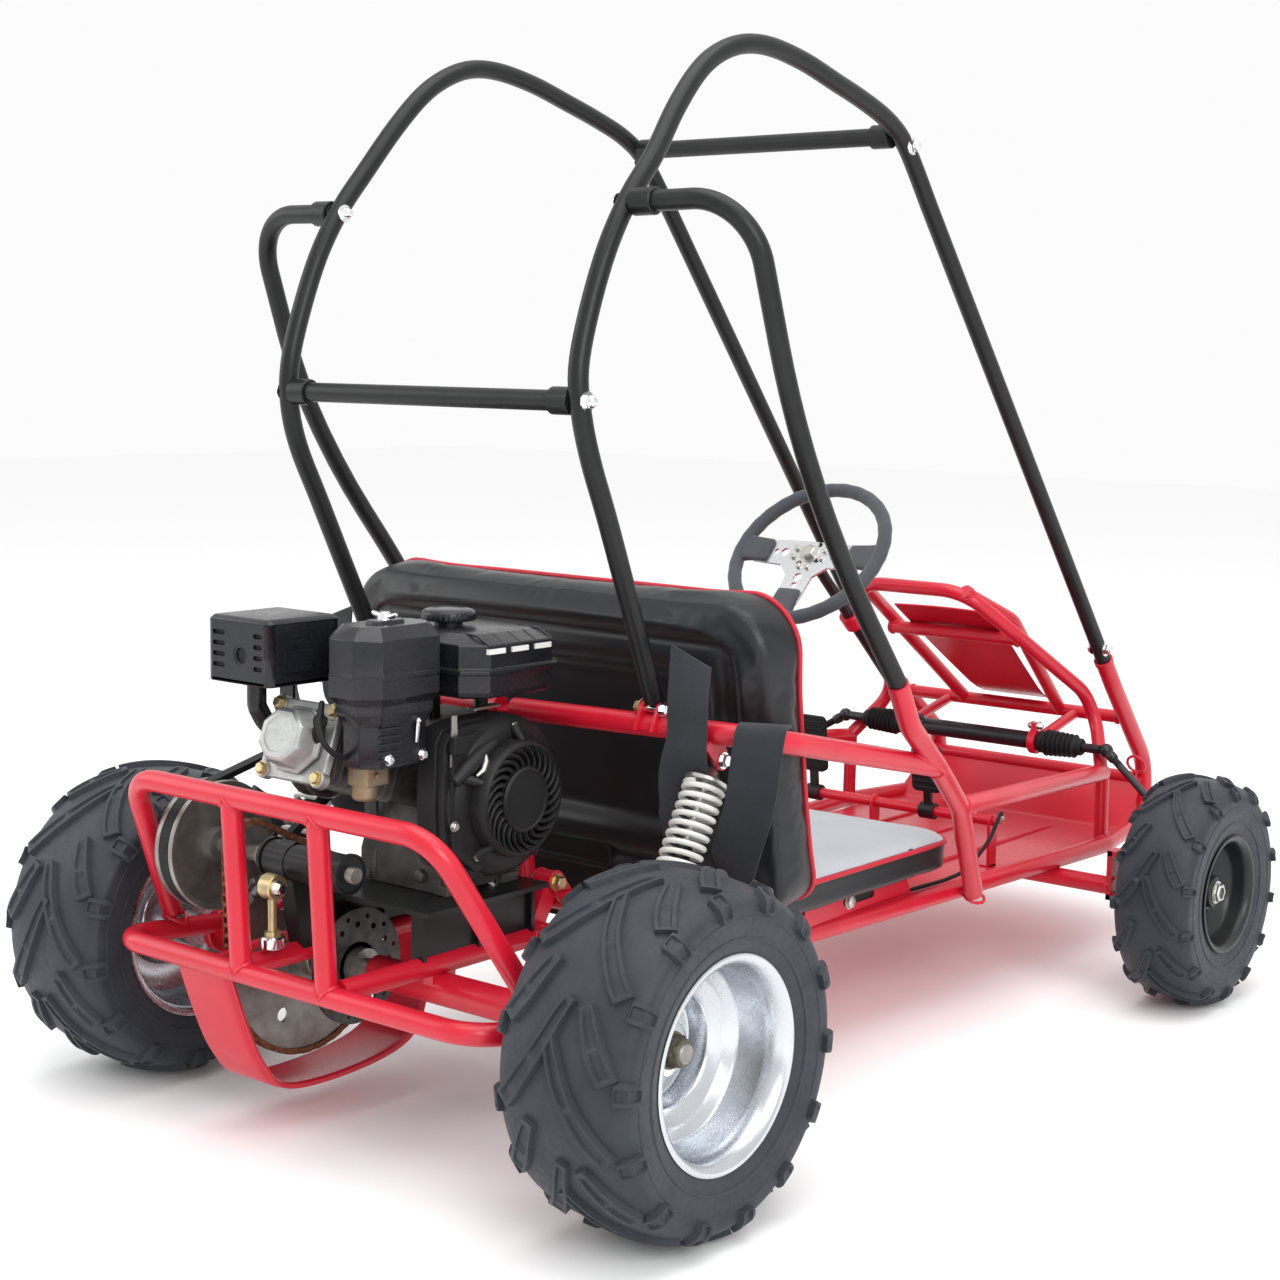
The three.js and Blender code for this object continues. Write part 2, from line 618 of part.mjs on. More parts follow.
const sideBarEnd = toward(sideBarRoute.at(-1), sideBarRoute.at(-2), gap);
const sideBarStart = toward(sideBarRoute[0], sideBarRoute[1], cageTubeRadius / 2);
const sideBar = join(
  tube([sideBarStart, ...sideBarRoute.slice(1, -1), sideBarEnd], cageTubeRadius, 120),
  bar(sideBarStart, toward(sideBarStart, sideBarRoute[1], collarLength + cageTubeRadius),
    cageTubeRadius + collarGrow));
addPair('side_bar', cut(sideBar, cageTube(weldGap)), blackPaint);

// Seat belt webbing: hangs from the hoop behind the upper rail, turns up again and loops over the rail
const beltWidth = 48;
const beltThickness = 2;
const beltRoute = [
  at(272, 240, 646), at(271, 214, 618), at(269, 188, 560), at(261, 180, 512), at(261, 190, 460),
  at(261, 226, 390), at(270, 246, 340), at(300, 250, 326), at(326, 246, 338), at(346, 226, 380),
  at(352, 207, 440), at(354, 203, 490), at(354, 203, 511), at(353, 206.7, 520.5), at(349, 216.5, 525.4),
];
const beltLooks = [
  X, X, X, X, X, X, new THREE.Vector3(1, 0, 1), Z, new THREE.Vector3(-1, 0, 1), new THREE.Vector3(-1, 0.3, 0),
  new THREE.Vector3(-1, 0.4, 0), new THREE.Vector3(-1, 0.4, 0), new THREE.Vector3(-1, 0.4, 0),
  new THREE.Vector3(-1, 0.4, 0), new THREE.Vector3(-1, 0.4, 0),
];

// Webbing along a route, with the direction of its width at each point
function webbing(route, looks, width, thickness) {
  const positions = [];
  const index = [];
  route.forEach((point, i) => {
    const before = route[Math.max(i - 1, 0)];
    const after = route[Math.min(i + 1, route.length - 1)];
    const along = after.clone().sub(before).normalize();
    const across = looks[i].clone().addScaledVector(along, -looks[i].dot(along)).normalize();
    const face = along.clone().cross(across);
    for (const [u, v] of [[-1, -1], [1, -1], [1, 1], [-1, 1]]) {
      const corner = point.clone().addScaledVector(across, (u * width) / 2).addScaledVector(face, (v * thickness) / 2);
      positions.push(corner.x, corner.y, corner.z);
    }
    if (i > 0) {
      for (let k = 0; k < 4; k++) {
        const [a, b] = [4 * i - 4 + k, 4 * i - 4 + ((k + 1) % 4)];
        index.push(a, b, b + 4, a, b + 4, a + 4);
      }
    }
  });
  const last = 4 * (route.length - 1);
  index.push(0, 2, 1, 0, 3, 2, last, last + 1, last + 2, last, last + 2, last + 3);
  const geometry = new THREE.BufferGeometry();
  geometry.setAttribute('position', new THREE.Float32BufferAttribute(positions, 3));
  geometry.setIndex(index);
  return geometry;
}

addPair('seat_belt', webbing(beltRoute, beltLooks, beltWidth, beltThickness), wovenBelt);

// Seat: steel pan that slides on the rail plates, cushion and back
const cushionHalfWidth = 250;
const cushionRear = 402;
const cushionFront = 888;
const cushionLow = 222.5;
const cushionThickness = 46;
const seatBackHalfWidth = 345;
const seatBackLow = 268;
const seatBackHeight = 388;
const seatBackThickness = 92;
const seatBackFoot = 395;
const seatBackLean = 0.14;
const panThickness = 3;
const panHalfWidth = slidePlateOut - sheetThickness / 2 - gap;
const panTop = cushionLow - gap;
const panRear = 300;
const panTailHalfWidth = 176;
const panInset = 10;
const panFrontInset = 60;
const panStayHalfWidth = 90;
const panFlangeDrop = 24;

// A padded block: crowned on its face, its sides drawn in between the corners
function pad(width, depth, thickness, crown, drawIn, cells) {
  const geometry = new THREE.BoxGeometry(width, depth, thickness, cells[0], cells[1], 2);
  const position = geometry.attributes.position;
  for (let i = 0; i < position.count; i++) {
    const u = position.getX(i) / (width / 2);
    const v = position.getY(i) / (depth / 2);
    const w = position.getZ(i) / (thickness / 2);
    const bulge = (1 - u ** 4) * (1 - v ** 4);
    const edge = Math.max(Math.abs(u), Math.abs(v)) ** 8;
    const roundTop = w > 0 ? 1 - 0.16 * edge : 1;
    position.setX(i, position.getX(i) * (1 - drawIn * (1 - v * v) * Math.abs(u) ** 3));
    position.setY(i, position.getY(i) * (1 - drawIn * (1 - u * u) * Math.abs(v) ** 3));
    position.setZ(i, position.getZ(i) * roundTop + (w > 0 ? crown * bulge * w : 0));
  }
  return geometry;
}

const cushionCrown = 12;
const backCrown = 10;
const drawInShare = 0.012;
const cushion = pad(
  2 * cushionHalfWidth, cushionFront - cushionRear, cushionThickness, cushionCrown, drawInShare, [8, 6]);
add('seat_cushion', cushion.translate(
  0, -(cushionFront + cushionRear) / 2, cushionLow + cushionThickness / 2), greyVinyl());

// Back panel with a stepped recess on its rear face
const recessMargin = 60;
const recessDepth = 10;
function seatBack() {
  const panel = pad(2 * seatBackHalfWidth, seatBackHeight, seatBackThickness, backCrown, drawInShare, [8, 6]);
  const recess = (margin, depth) => new THREE.BoxGeometry(
    2 * (seatBackHalfWidth - margin), seatBackHeight - margin, 2 * depth).translate(0, -margin / 4, -seatBackThickness / 2);
  const stepped = cut(panel, recess(recessMargin, recessDepth), recess(2 * recessMargin, 2 * recessDepth));
  const middle = at(
    0, seatBackFoot - seatBackThickness / 2 - (seatBackHeight / 2) * Math.sin(seatBackLean),
    seatBackLow + (seatBackHeight / 2) * Math.cos(seatBackLean));
  const stand = new THREE.Matrix4().makeRotationX(Math.PI / 2 - seatBackLean);
  return stepped.applyMatrix4(stand).translate(middle.x, middle.y, middle.z);
}
const seatBackSolid = seatBack();
add('seat_back', seatBackSolid, blackVinyl());

function seatPan() {
  const sheet = block(
    at(-panHalfWidth, cushionRear, panTop - panThickness), at(panHalfWidth, cushionFront - panFrontInset, panTop));
  const tail = block(
    at(-panTailHalfWidth, panRear, panTop - panThickness), at(panTailHalfWidth, cushionRear + panInset, panTop));
  const flange = block(
    at(panHalfWidth - panThickness, slidePlateStart, panTop - panFlangeDrop),
    at(panHalfWidth, slidePlateEnd - seatTravel, panTop));
  const bolt = join(
    bar(at(panHalfWidth - panThickness, slideBoltAhead, slideBoltHeight),
      at(slidePlateOut + boltHeadHeight, slideBoltAhead, slideBoltHeight), boltRadius),
    crossBar(at(slidePlateOut + sheetThickness + boltHeadHeight / 2, slideBoltAhead, slideBoltHeight),
      boltHeadHeight, boltHeadRadius, 6));
  const stay = sidePlate([
    [panRear, panTop - panThickness], [panRear + 2 * panThickness, panTop - panThickness],
    [panRear + 2 * panThickness, seatBackLow + recessMargin], [panRear, seatBackLow + recessMargin],
  ], -panStayHalfWidth, panStayHalfWidth);
  return [sheet, tail, flange, mirrored(flange), bolt, mirrored(bolt), stay];
}
add('seat_pan', cut(join(...seatPan()), seatBackSolid), blackPaint());

// Steering: column with its plate, wheel, rack housing with boots, sliding bar and tie rods
const columnDirection = wheelPlace.clone().sub(columnFoot).normalize();
const wheelRadius = 128;
const wheelRimRadius = 11;
const plateRadius = 98;
const plateThickness = 4;
const plateArmHalfWidth = 19;
const hubRadius = 34;
const pinionBossRadius = 13;
const pinionBossHeight = 34;
const spokeAngles = [Math.PI / 2, (7 * Math.PI) / 6, (11 * Math.PI) / 6];

// Three-armed plate in the wheel's own plane, which faces +Z
function armsOutline(inner, outer, halfWidth) {
  const arm = new THREE.BoxGeometry(outer - inner, 2 * halfWidth, plateThickness).translate((outer + inner) / 2, 0, 0);
  return spokeAngles.map((angle) => arm.clone().rotateZ(angle));
}

function onColumn(geometry) {
  const stand = new THREE.Matrix4().makeBasis(X, X.clone().cross(columnDirection).negate(), columnDirection);
  return geometry.applyMatrix4(stand).translate(wheelPlace.x, wheelPlace.y, wheelPlace.z);
}

const pinionTop = columnFoot.clone().addScaledVector(columnDirection, pinionBossHeight);
const wheelPlateSolid = onColumn(join(
  new THREE.CylinderGeometry(hubRadius, hubRadius, plateThickness, smallSegments).rotateX(Math.PI / 2),
  ...armsOutline(0, plateRadius, plateArmHalfWidth)));
add('steering_shaft', join(
  bar(toward(pinionTop, wheelPlace, gap), wheelPlace, columnRadius), wheelPlateSolid), brightSteel());

const spokeFoot = plateRadius - 26;
const wheelRim = join(
  new THREE.TorusGeometry(wheelRadius, wheelRimRadius, 6, 18).translate(0, 0, plateThickness),
  ...armsOutline(spokeFoot, wheelRadius, plateArmHalfWidth + 2).map((arm) =>
    arm.translate(0, 0, plateThickness + gap)));
add('steering_wheel', onColumn(wheelRim), greyRubber());

const rackBarRadius = 8;
const rackBore = rackBarRadius + 1.5;
const bootStart = 132;
const bootEnd = 208;
const bootRadius = 22;
const bootWall = 9;
const bootRibs = 4;
const bootRibDepth = 2;
const bootInnerRadius = bootRadius - bootWall;
const housingHalfLength = 142;

// Ribbed boot: each rib is a ring of the outer radius between two of the smaller one
function boot() {
  const profile = [[rackHousingRadius - gap, bootStart]];
  const pitch = (bootEnd - bootStart) / bootRibs;
  for (let rib = 0; rib < bootRibs; rib++) {
    const from = bootStart + rib * pitch;
    profile.push([bootRadius - bootRibDepth, from + pitch * 0.1], [bootRadius, from + pitch * 0.5]);
  }
  profile.push([bootRadius - bootRibDepth, bootEnd], [bootInnerRadius, bootEnd], [bootInnerRadius, housingHalfLength]);
  profile.push([rackHousingRadius - gap, housingHalfLength]);
  return turnedAcross(profile, boreSegments);
}

function rackHousing() {
  const housing = ringAcross(rackBore, rackHousingRadius, -housingHalfLength, housingHalfLength, boreSegments);
  const local = join(housing, boot(), mirrored(boot()));
  const placed = local.translate(0, rackPlace.y, rackPlace.z);
  const boss = bar(columnFoot, pinionTop, pinionBossRadius, smallSegments);
  const bore = crossBar(rackPlace, 2 * bootEnd, rackBore, boreSegments);
  return join(placed, cut(boss, bore));
}
add('rack_housing', rackHousing(), blackRubber());

const ballOut = 250;
const ballRadius = 11;
const armOut = 385;
const armReach = 100;
const armHeight = frontTyreRadius + 22;
const armHalfWidth = 9;
const armHalfThickness = 5;
const rodEndHeight = 246;
const tieRodRadius = 6;
const rodEndRadius = 12;
const rodEndHalfHeight = 6;
const rodEndRoom = 0.6;
const rackBall = at(ballOut, -rackPlace.y, rackPlace.z);
const rodEnd = at(armOut, wheelbase + armReach, rodEndHeight);
add('rack_bar', crossBar(rackPlace, 2 * (ballOut - ballRadius - gap), rackBarRadius), brightSteel());
const tieRod = join(
  new THREE.SphereGeometry(ballRadius, 10, 6).translate(rackBall.x, rackBall.y, rackBall.z),
  bar(rackBall, rodEnd, tieRodRadius),
  bar(rodEnd.clone().addScaledVector(Z, -rodEndHalfHeight), rodEnd.clone().addScaledVector(Z, rodEndHalfHeight),
    rodEndRadius));
addPair('tie_rod', tieRod, blackPaint);

// Knuckle: kingpin boss, wheel spindle with its nut, and steering arm with a riser to the tie rod
const spindleRadius = 9;
const frontHubInner = -28;
const frontHubOuter = 34;
const spindleNutRadius = 14;
const spindleNutLength = 9;

function knuckle() {
  const middle = at(kingpinOut, wheelbase, frontTyreRadius);
  const boss = bar(
    middle.clone().addScaledVector(Z, -bossHalfHeight), middle.clone().addScaledVector(Z, bossHalfHeight), bossRadius, smallSegments);
  const bore = bar(
    middle.clone().addScaledVector(Z, -2 * bossHalfHeight), middle.clone().addScaledVector(Z, 2 * bossHalfHeight),
    boreFor(kingpinRadius), boreSides);
  const nutStart = frontHalfTrack + frontHubOuter + gap;
  const spindle = bar(middle, middle.clone().setX(nutStart + spindleNutLength), spindleRadius);
  const nut = bar(
    middle.clone().setX(nutStart), middle.clone().setX(nutStart + spindleNutLength), spindleNutRadius, 6);
  const shoulder = bar(
    middle, middle.clone().setX(frontHalfTrack + frontHubInner - gap), spindleRadius + 5, smallSegments);
  const arm = block(
    at(armOut - armHalfWidth, wheelbase, armHeight - armHalfThickness),
    at(armOut + armHalfWidth, wheelbase + armReach + armHalfWidth, armHeight + armHalfThickness));
  const riser = bar(
    at(armOut, wheelbase + armReach, armHeight),
    at(armOut, wheelbase + armReach, rodEndHeight - rodEndHalfHeight - rodEndRoom), armHalfWidth);
  return cut(join(boss, spindle, nut, shoulder, arm, riser), bore);
}
addPair('knuckle', knuckle(), darkSteel);

// Wheels: each rim and tyre is turned round its axle line, with the outer face towards +X
const lipHeight = 8;
const lipThickness = 4;
const rimWall = 5;
const beadWidth = 12;
const tyreRoundShares = [[0, 1], [0.45, 0.985], [0.76, 0.93], [0.95, 0.83], [1, 0.7]];
const lipOffsetShare = 0.43;

// Cross-section of a tyre, open to the rim between its beads
function tyreProfile(radius, width, seat) {
  const half = width / 2;
  const lip = lipOffsetShare * width;
  const crown = radius / Math.cos(Math.PI / wheelSegments);
  const outer = tyreRoundShares.map(([side, out]) => [out * crown, side * half]);
  const right = [...outer.slice(1), [seat + lipHeight + 2 * gap, lip - gap], [seat + gap, lip - gap]];
  const left = right.map(([r, along]) => [r, -along]).reverse();
  const innerRight = [[seat + gap, lip - beadWidth], [0.87 * radius, 0.78 * half]];
  const innerLeft = innerRight.map(([r, along]) => [r, -along]).reverse();
  return [...left, outer[0], ...right, ...innerRight, ...innerLeft];
}

// Cross-section of a rim: bore, hub, dish, stepped barrel and two lips
function rimProfile(width, seat, bore, hub, dish, steps) {
  const lip = lipOffsetShare * width;
  return [
    [bore, hub.inner], [hub.radius, hub.inner], [hub.radius, dish.inner], [dish.radius, dish.inner],
    [seat - rimWall, -lip - lipThickness], [seat + lipHeight, -lip - lipThickness], [seat + lipHeight, -lip],
    [seat, -lip], [seat, lip],
    [seat + lipHeight, lip], [seat + lipHeight, lip + lipThickness], ...steps, [dish.radius, dish.outer], [hub.radius, dish.outer], [hub.radius, hub.outer], [bore, hub.outer],
  ];
}

const frontBore = spindleRadius + gap;
const frontDish = { inner: -2, outer: 4, radius: 58 };
const frontHub = { inner: frontHubInner, outer: frontHubOuter, radius: 24 };
const frontSteps = [[frontRimRadius - rimWall, 0.3 * frontTyreWidth], [0.86 * frontRimRadius, 0.18 * frontTyreWidth]];
const frontRim = turnedAcross(rimProfile(
  frontTyreWidth, frontRimRadius, frontBore, frontHub, frontDish, frontSteps));
const frontTyre = turnedAcross(tyreProfile(frontTyreRadius, frontTyreWidth, frontRimRadius));

const axleRadius = 12.5;
const axleHeight = rearTyreRadius;
const rearBore = axleRadius + gap;
const rearDish = { inner: -30, outer: -22, radius: 62 };
const rearHub = { inner: -70, outer: 2, radius: 30 };
const rearSteps = [
  [rearRimRadius - rimWall, 0.36 * rearTyreWidth], [0.92 * rearRimRadius, 0.12 * rearTyreWidth],
  [0.8 * rearRimRadius, 0.08 * rearTyreWidth],
];
const rearRim = turnedAcross(rimProfile(rearTyreWidth, rearRimRadius, rearBore, rearHub, rearDish, rearSteps));
const rearTyre = turnedAcross(tyreProfile(rearTyreRadius, rearTyreWidth, rearRimRadius));

// Puts a wheel piece on both sides, in a group that stands at the axle line
function addWheels(name, geometry, material, place) {
  for (const [side, piece, out] of [['left', geometry, place.x], ['right', mirrored(geometry), -place.x]]) {
    const corner = new THREE.Group();
    corner.position.set(out, place.y, place.z);
    kart.add(corner);
    add(`${name}_${side}`, piece, material(), corner);
  }
}

const frontWheelPlace = at(frontHalfTrack, wheelbase, frontTyreRadius);
const rearWheelPlace = at(halfTrack, 0, axleHeight);
addWheels('front_rim', frontRim, blackPaint, frontWheelPlace);
addWheels('front_tyre', frontTyre, tyreRubber, frontWheelPlace);
addWheels('rear_rim', rearRim, polishedAluminium, rearWheelPlace);
addWheels('rear_tyre', rearTyre, tyreRubber, rearWheelPlace);

// Rear axle with wheel nuts, brake disc and sprocket flange
const sprocketOut = 150;
const sprocketThickness = 5;
const sprocketRadius = 125;
const sprocketTeeth = 30;
const toothDepth = 6;
const flangeRadius = 42;
const flangeThickness = 8;
const brakeDiscOut = 60;
const brakeDiscRadius = 72;
const brakeDiscThickness = 4;
const axleNutRadius = 19;
const axleNutLength = 14;
const axleStub = 22;
const axleSegments = 10;
const axlePlace = at(0, 0, axleHeight);

function rearAxle() {
  const hubEnd = halfTrack + rearHub.outer + gap;
  const flangeEnd = sprocketOut - sprocketThickness / 2 - gap;
  const steps = [
    [axleNutRadius, -hubEnd - axleNutLength, -hubEnd],
    [brakeDiscRadius, brakeDiscOut - brakeDiscThickness / 2, brakeDiscOut + brakeDiscThickness / 2],
    [flangeRadius, flangeEnd - flangeThickness, flangeEnd],
    [axleNutRadius, hubEnd, hubEnd + axleNutLength],
  ].flatMap(([radius, from, to]) => [[axleRadius, from], [radius, from], [radius, to], [axleRadius, to]]);
  return turnedAcross([
    [0, -hubEnd - axleStub], [axleRadius, -hubEnd - axleStub], ...steps, [axleRadius, hubEnd + axleStub],
    [0, hubEnd + axleStub],
  ], axleSegments).translate(axlePlace.x, axlePlace.y, axlePlace.z);
}
add('rear_axle', rearAxle(), brightSteel());

// A toothed disc in the YZ plane, centred on the X axis
function sprocket(radius, teeth, bore, thickness) {
  const outline = [];
  for (let i = 0; i < teeth; i++) {
    const middle = (2 * Math.PI * i) / teeth;
    const half = Math.PI / teeth;
    for (const [turn, out] of [[0, radius], [half, radius - toothDepth]]) {
      outline.push([out * Math.cos(middle + turn), out * Math.sin(middle + turn)]);
    }
  }
  const hole = ringOutline(bore, smallSegments).map((point) => [point.x, point.y]);
  return sidePlate(outline, -thickness / 2, thickness / 2, [hole]);
}

const axleSprocket = sprocket(sprocketRadius, sprocketTeeth, boreFor(axleRadius), sprocketThickness);
add('axle_sprocket', axleSprocket.translate(sprocketOut, 0, axleHeight), darkSteel());

// Jackshaft with its small sprocket and the driven pulley, and the engine's drive pulley
const jackPlace = at(0, -90, 345);
const jackRadius = 10;
const jackTeeth = 10;
const jackSprocketRadius = 32;
const crankPlace = at(0, 88, 423);
const crankRadius = 10;
const pulleyOut = 216;
const pulleyHalfWidth = 16;
const beltHalfWidth = 8;
const drivenRadius = 80;
const driveRadius = 46;
const beltDepth = 10;
const beltSeatRoom = 0.5;
const jackStart = -34;
const housingStart = -24;
const jackHousingEnd = 112;
const jackHousingRadius = 22;

// A V-belt pulley whose groove holds the belt's depth
function pulley(radius, from, to, shaftRadius, shaftFrom) {
  const seat = radius - beltDepth;
  const groove = beltHalfWidth + beltSeatRoom;
  return turnedAcross([
    [0, shaftFrom], [shaftRadius, shaftFrom], [shaftRadius, from], [radius, from], [radius, pulleyOut - groove],
    [seat, pulleyOut - groove], [seat, pulleyOut + groove], [radius, pulleyOut + groove], [radius, to], [0, to],
  ], axleSegments);
}

const jackPulley = pulley(drivenRadius, pulleyOut - pulleyHalfWidth, pulleyOut + pulleyHalfWidth, jackRadius, jackStart);
const jackSprocket = sprocket(jackSprocketRadius, jackTeeth, jackRadius - gap, sprocketThickness)
  .translate(sprocketOut, 0, 0);
add('jackshaft', join(jackPulley, jackSprocket).translate(0, jackPlace.y, jackPlace.z), darkSteel());

const crankStart = 92;
const drivePulley = pulley(driveRadius, pulleyOut - pulleyHalfWidth, pulleyOut + pulleyHalfWidth, crankRadius, crankStart);
add('drive_pulley', drivePulley.translate(0, crankPlace.y, crankPlace.z), darkSteel());

// Outline of a loop round two wheels in the YZ plane, as [ahead, up] points
function loopOutline(a, radiusA, b, radiusB) {
  const from = new THREE.Vector2(-a.y, a.z);
  const to = new THREE.Vector2(-b.y, b.z);
  const heading = to.clone().sub(from);
  const lean = Math.acos((radiusA - radiusB) / heading.length());
  const base = heading.angle();
  const steps = 10;
  const points = [];
  for (let i = 0; i <= steps; i++) {
    const angle = base + lean + ((2 * Math.PI - 2 * lean) * i) / steps;
    points.push([from.x + radiusA * Math.cos(angle), from.y + radiusA * Math.sin(angle)]);
  }
  for (let i = 0; i <= steps; i++) {
    const angle = base - lean + (2 * lean * i) / steps;
    points.push([to.x + radiusB * Math.cos(angle), to.y + radiusB * Math.sin(angle)]);
  }
  return points;
}

// A flat loop of this depth round two wheels, between two widths
function loopBand(a, innerA, b, innerB, depth, from, to) {
  const outer = loopOutline(a, innerA + depth, b, innerB + depth);
  const inner = loopOutline(a, innerA, b, innerB);
  return sidePlate(outer, from, to, [inner]);
}

const facet = 1 / Math.cos(Math.PI / 15);
const beltSeat = beltSeatRoom - beltDepth;
add('drive_belt', loopBand(
  jackPlace, (drivenRadius + beltSeat) * facet, crankPlace, (driveRadius + beltSeat) * facet, beltDepth - 2,
  pulleyOut - beltHalfWidth, pulleyOut + beltHalfWidth), blackRubber());
const chainHalfWidth = 5;
const chainDepth = 8;
add('drive_chain', loopBand(
  axlePlace, (sprocketRadius + 2 * gap) * facet, jackPlace, (jackSprocketRadius + 2 * gap) * facet, chainDepth,
  sprocketOut - chainHalfWidth, sprocketOut + chainHalfWidth), rustySteel());

// Swing arm: axle tubes, two long tubes, cross tube with bushes, shock brackets and engine plate
const axleTubeRadius = 20;
const axleTubeBore = 14;
const axleTubeEnd = 316;
const axleTubeGapStart = 26;
const axleTubeGapEnd = 205;
const longTubeOut = 80;
const longTubeRear = -160;
const longTubeFront = 186;
const longTubeHeight = axleHeight + axleTubeRadius + bumperTubeRadius - 3;
const armTubeRadius = 12;
const armTubeOut = 292;
const enginePlateLow = 296;
const enginePlateThickness = 6;
const enginePlateHalfWidth = 100;
const enginePlateRear = -40;
const enginePlateFront = 172;
const riserHalfWidth = 12;

function swingArm() {
  const place = (geometry) => geometry.translate(axlePlace.x, axlePlace.y, axlePlace.z);
  const rightTube = place(ringAcross(0, axleTubeRadius, -axleTubeEnd, axleTubeGapStart, smallSegments));
  const leftTube = place(ringAcross(0, axleTubeRadius, axleTubeGapEnd, axleTubeEnd, smallSegments));
  const axleRoom = place(ringAcross(0, axleTubeBore, -halfTrack, halfTrack, smallSegments));
  const longTube = bar(
    at(longTubeOut, longTubeRear, longTubeHeight), at(longTubeOut, longTubeFront, longTubeHeight), bumperTubeRadius);
  const armFront = at(armTubeOut, -shockLow.y, shockLow.z - shockEyeRadius - armTubeRadius);
  const sideArm = bar(at(armTubeOut, 0, axleHeight), armFront, armTubeRadius);
  const crossArm = bar(armFront, at(longTubeOut, longTubeFront - armTubeRadius, longTubeHeight), armTubeRadius);
  const frontTube = crossBar(at(0, longTubeFront, longTubeHeight), 2 * longTubeOut, bumperTubeRadius);
  const bushFace = bushHalfWidth;
  const bushArm = sidePlate([
    [longTubeFront - bumperTubeRadius, longTubeHeight], [longTubeFront + bumperTubeRadius, longTubeHeight],
    [-pivot.y + pivotEarRadius * 0.8, pivot.z], [-pivot.y, pivot.z + pivotEarRadius * 0.8],
    [-pivot.y - pivotEarRadius, pivot.z],
  ], pivotOut - bushFace, pivotOut + bushFace);
  const bushHole = crossBar(pivot, 4 * pivotOut, boreFor(pivotPinRadius), boreSides);
  const shockFoot = clevis(shockLow, new THREE.Vector3(0, 0, -shockEyeRadius - armTubeRadius), boltRadius);
  const plate = block(
    at(-enginePlateHalfWidth, enginePlateRear, enginePlateLow),
    at(enginePlateHalfWidth, enginePlateFront, enginePlateLow + enginePlateThickness));
  const riser = block(
    at(longTubeOut - riserHalfWidth, enginePlateRear, longTubeHeight),
    at(longTubeOut + riserHalfWidth, enginePlateFront, enginePlateLow + 1));
  const jackStay = sidePlate([
    [enginePlateRear, enginePlateLow], [-jackPlace.y + jackHousingRadius, jackPlace.z],
    [-jackPlace.y - jackHousingRadius / 2, jackPlace.z], [longTubeRear / 2, longTubeHeight],
    [enginePlateRear, longTubeHeight],
  ], longTubeOut - riserHalfWidth, longTubeOut + riserHalfWidth);
  const jackHousing = crossBar(
    jackPlace.clone().setX((housingStart + jackHousingEnd) / 2), jackHousingEnd - housingStart, jackHousingRadius, smallSegments);
  const jackBore = crossBar(jackPlace, 4 * halfTrack, boreFor(jackRadius), boreSides);
  const whole = join(
    rightTube, leftTube, ...bothSides(longTube), ...bothSides(sideArm), ...bothSides(crossArm), frontTube,
    ...bothSides(bushArm), ...shockFoot, ...shockFoot.map(mirrored), plate, ...bothSides(riser), jackStay, jackHousing);
  return cut(whole, axleRoom, bushHole, jackBore, place(brakeRoom()));
}

// Room for the brake disc to turn in
const brakeRoom = () => ringAcross(
  0, brakeDiscRadius + 2, brakeDiscOut - brakeDiscThickness, brakeDiscOut + brakeDiscThickness);
const swingArmSolid = swingArm();
add('swingarm', swingArmSolid, redPaint());

// Rear bumper with two uprights, and the sprocket guard hung below it
const bumperTopPlace = at(250, -186, 437);
const bumperLegFoot = at(304, -86, 246);
const bumperLow = at(304, -172, 228);
const bumperArmEnd = at(304, -10, 214);
const bumperBarOut = 72;
const guardInner = 112;
const guardOuter = 190;
const guardShares = [
  [-1.147, 0.173], [-0.8, -0.68], [-0.37, -0.99], [0.83, -0.89], [1.13, -0.28], [1.33, 0.29],
];
const guardReach = 150;

function rearBumper() {
  const top = tube([
    bumperLegFoot, bumperTopPlace, bumperTopPlace.clone().setX(-bumperTopPlace.x),
    bumperLegFoot.clone().setX(-bumperLegFoot.x),
  ], bumperTubeRadius, 55);
  const low = tube([
    bumperArmEnd, bumperLow, bumperLow.clone().setX(-bumperLow.x), bumperArmEnd.clone().setX(-bumperArmEnd.x),
  ], bumperTubeRadius, 50);
  const upright = bar(
    at(bumperBarOut, -bumperTopPlace.y, bumperTopPlace.z), at(bumperBarOut, -bumperLow.y, bumperLow.z), bumperTubeRadius);
  const guard = sidePlate(sheetOutline(guardShares.map(([ahead, up]) =>
    [ahead * guardReach, axleHeight + up * guardReach]), -sheetThickness), guardInner, guardOuter);
  return cut(join(top, low, ...bothSides(upright), guard), swingArmFat());
}

// The swing arm's tubes and plates, grown by the gap, for what is fitted round them
function swingArmFat() {
  const axle = crossBar(axlePlace, 2 * (axleTubeEnd + gap), boreFor(axleTubeRadius), boreSides);
  const long = bar(
    at(longTubeOut, longTubeRear - gap, longTubeHeight), at(longTubeOut, longTubeFront, longTubeHeight),
    boreFor(bumperTubeRadius), boreSides);
  return join(axle, ...bothSides(long));
}
add('rear_bumper', rearBumper(), redPaint());

// Engine: crankcase with cylinder, head cover, muffler, air cleaner, tank with cap and starter cover
const engineBase = enginePlateLow + enginePlateThickness + gap;
const caseLeft = 88;
const caseRight = -58;
const cylinderTilt = 0.36;
const cylinderHalfWidth = 48;
const cylinderHalfHeight = 42;
const cylinderStart = 0;
const cylinderEnd = 196;
const finCount = 6;
const finStart = 98;
const finThickness = 3;
const finOver = 8;
const headThickness = 14;
const coverThickness = 32;
const headMiddle = 45;

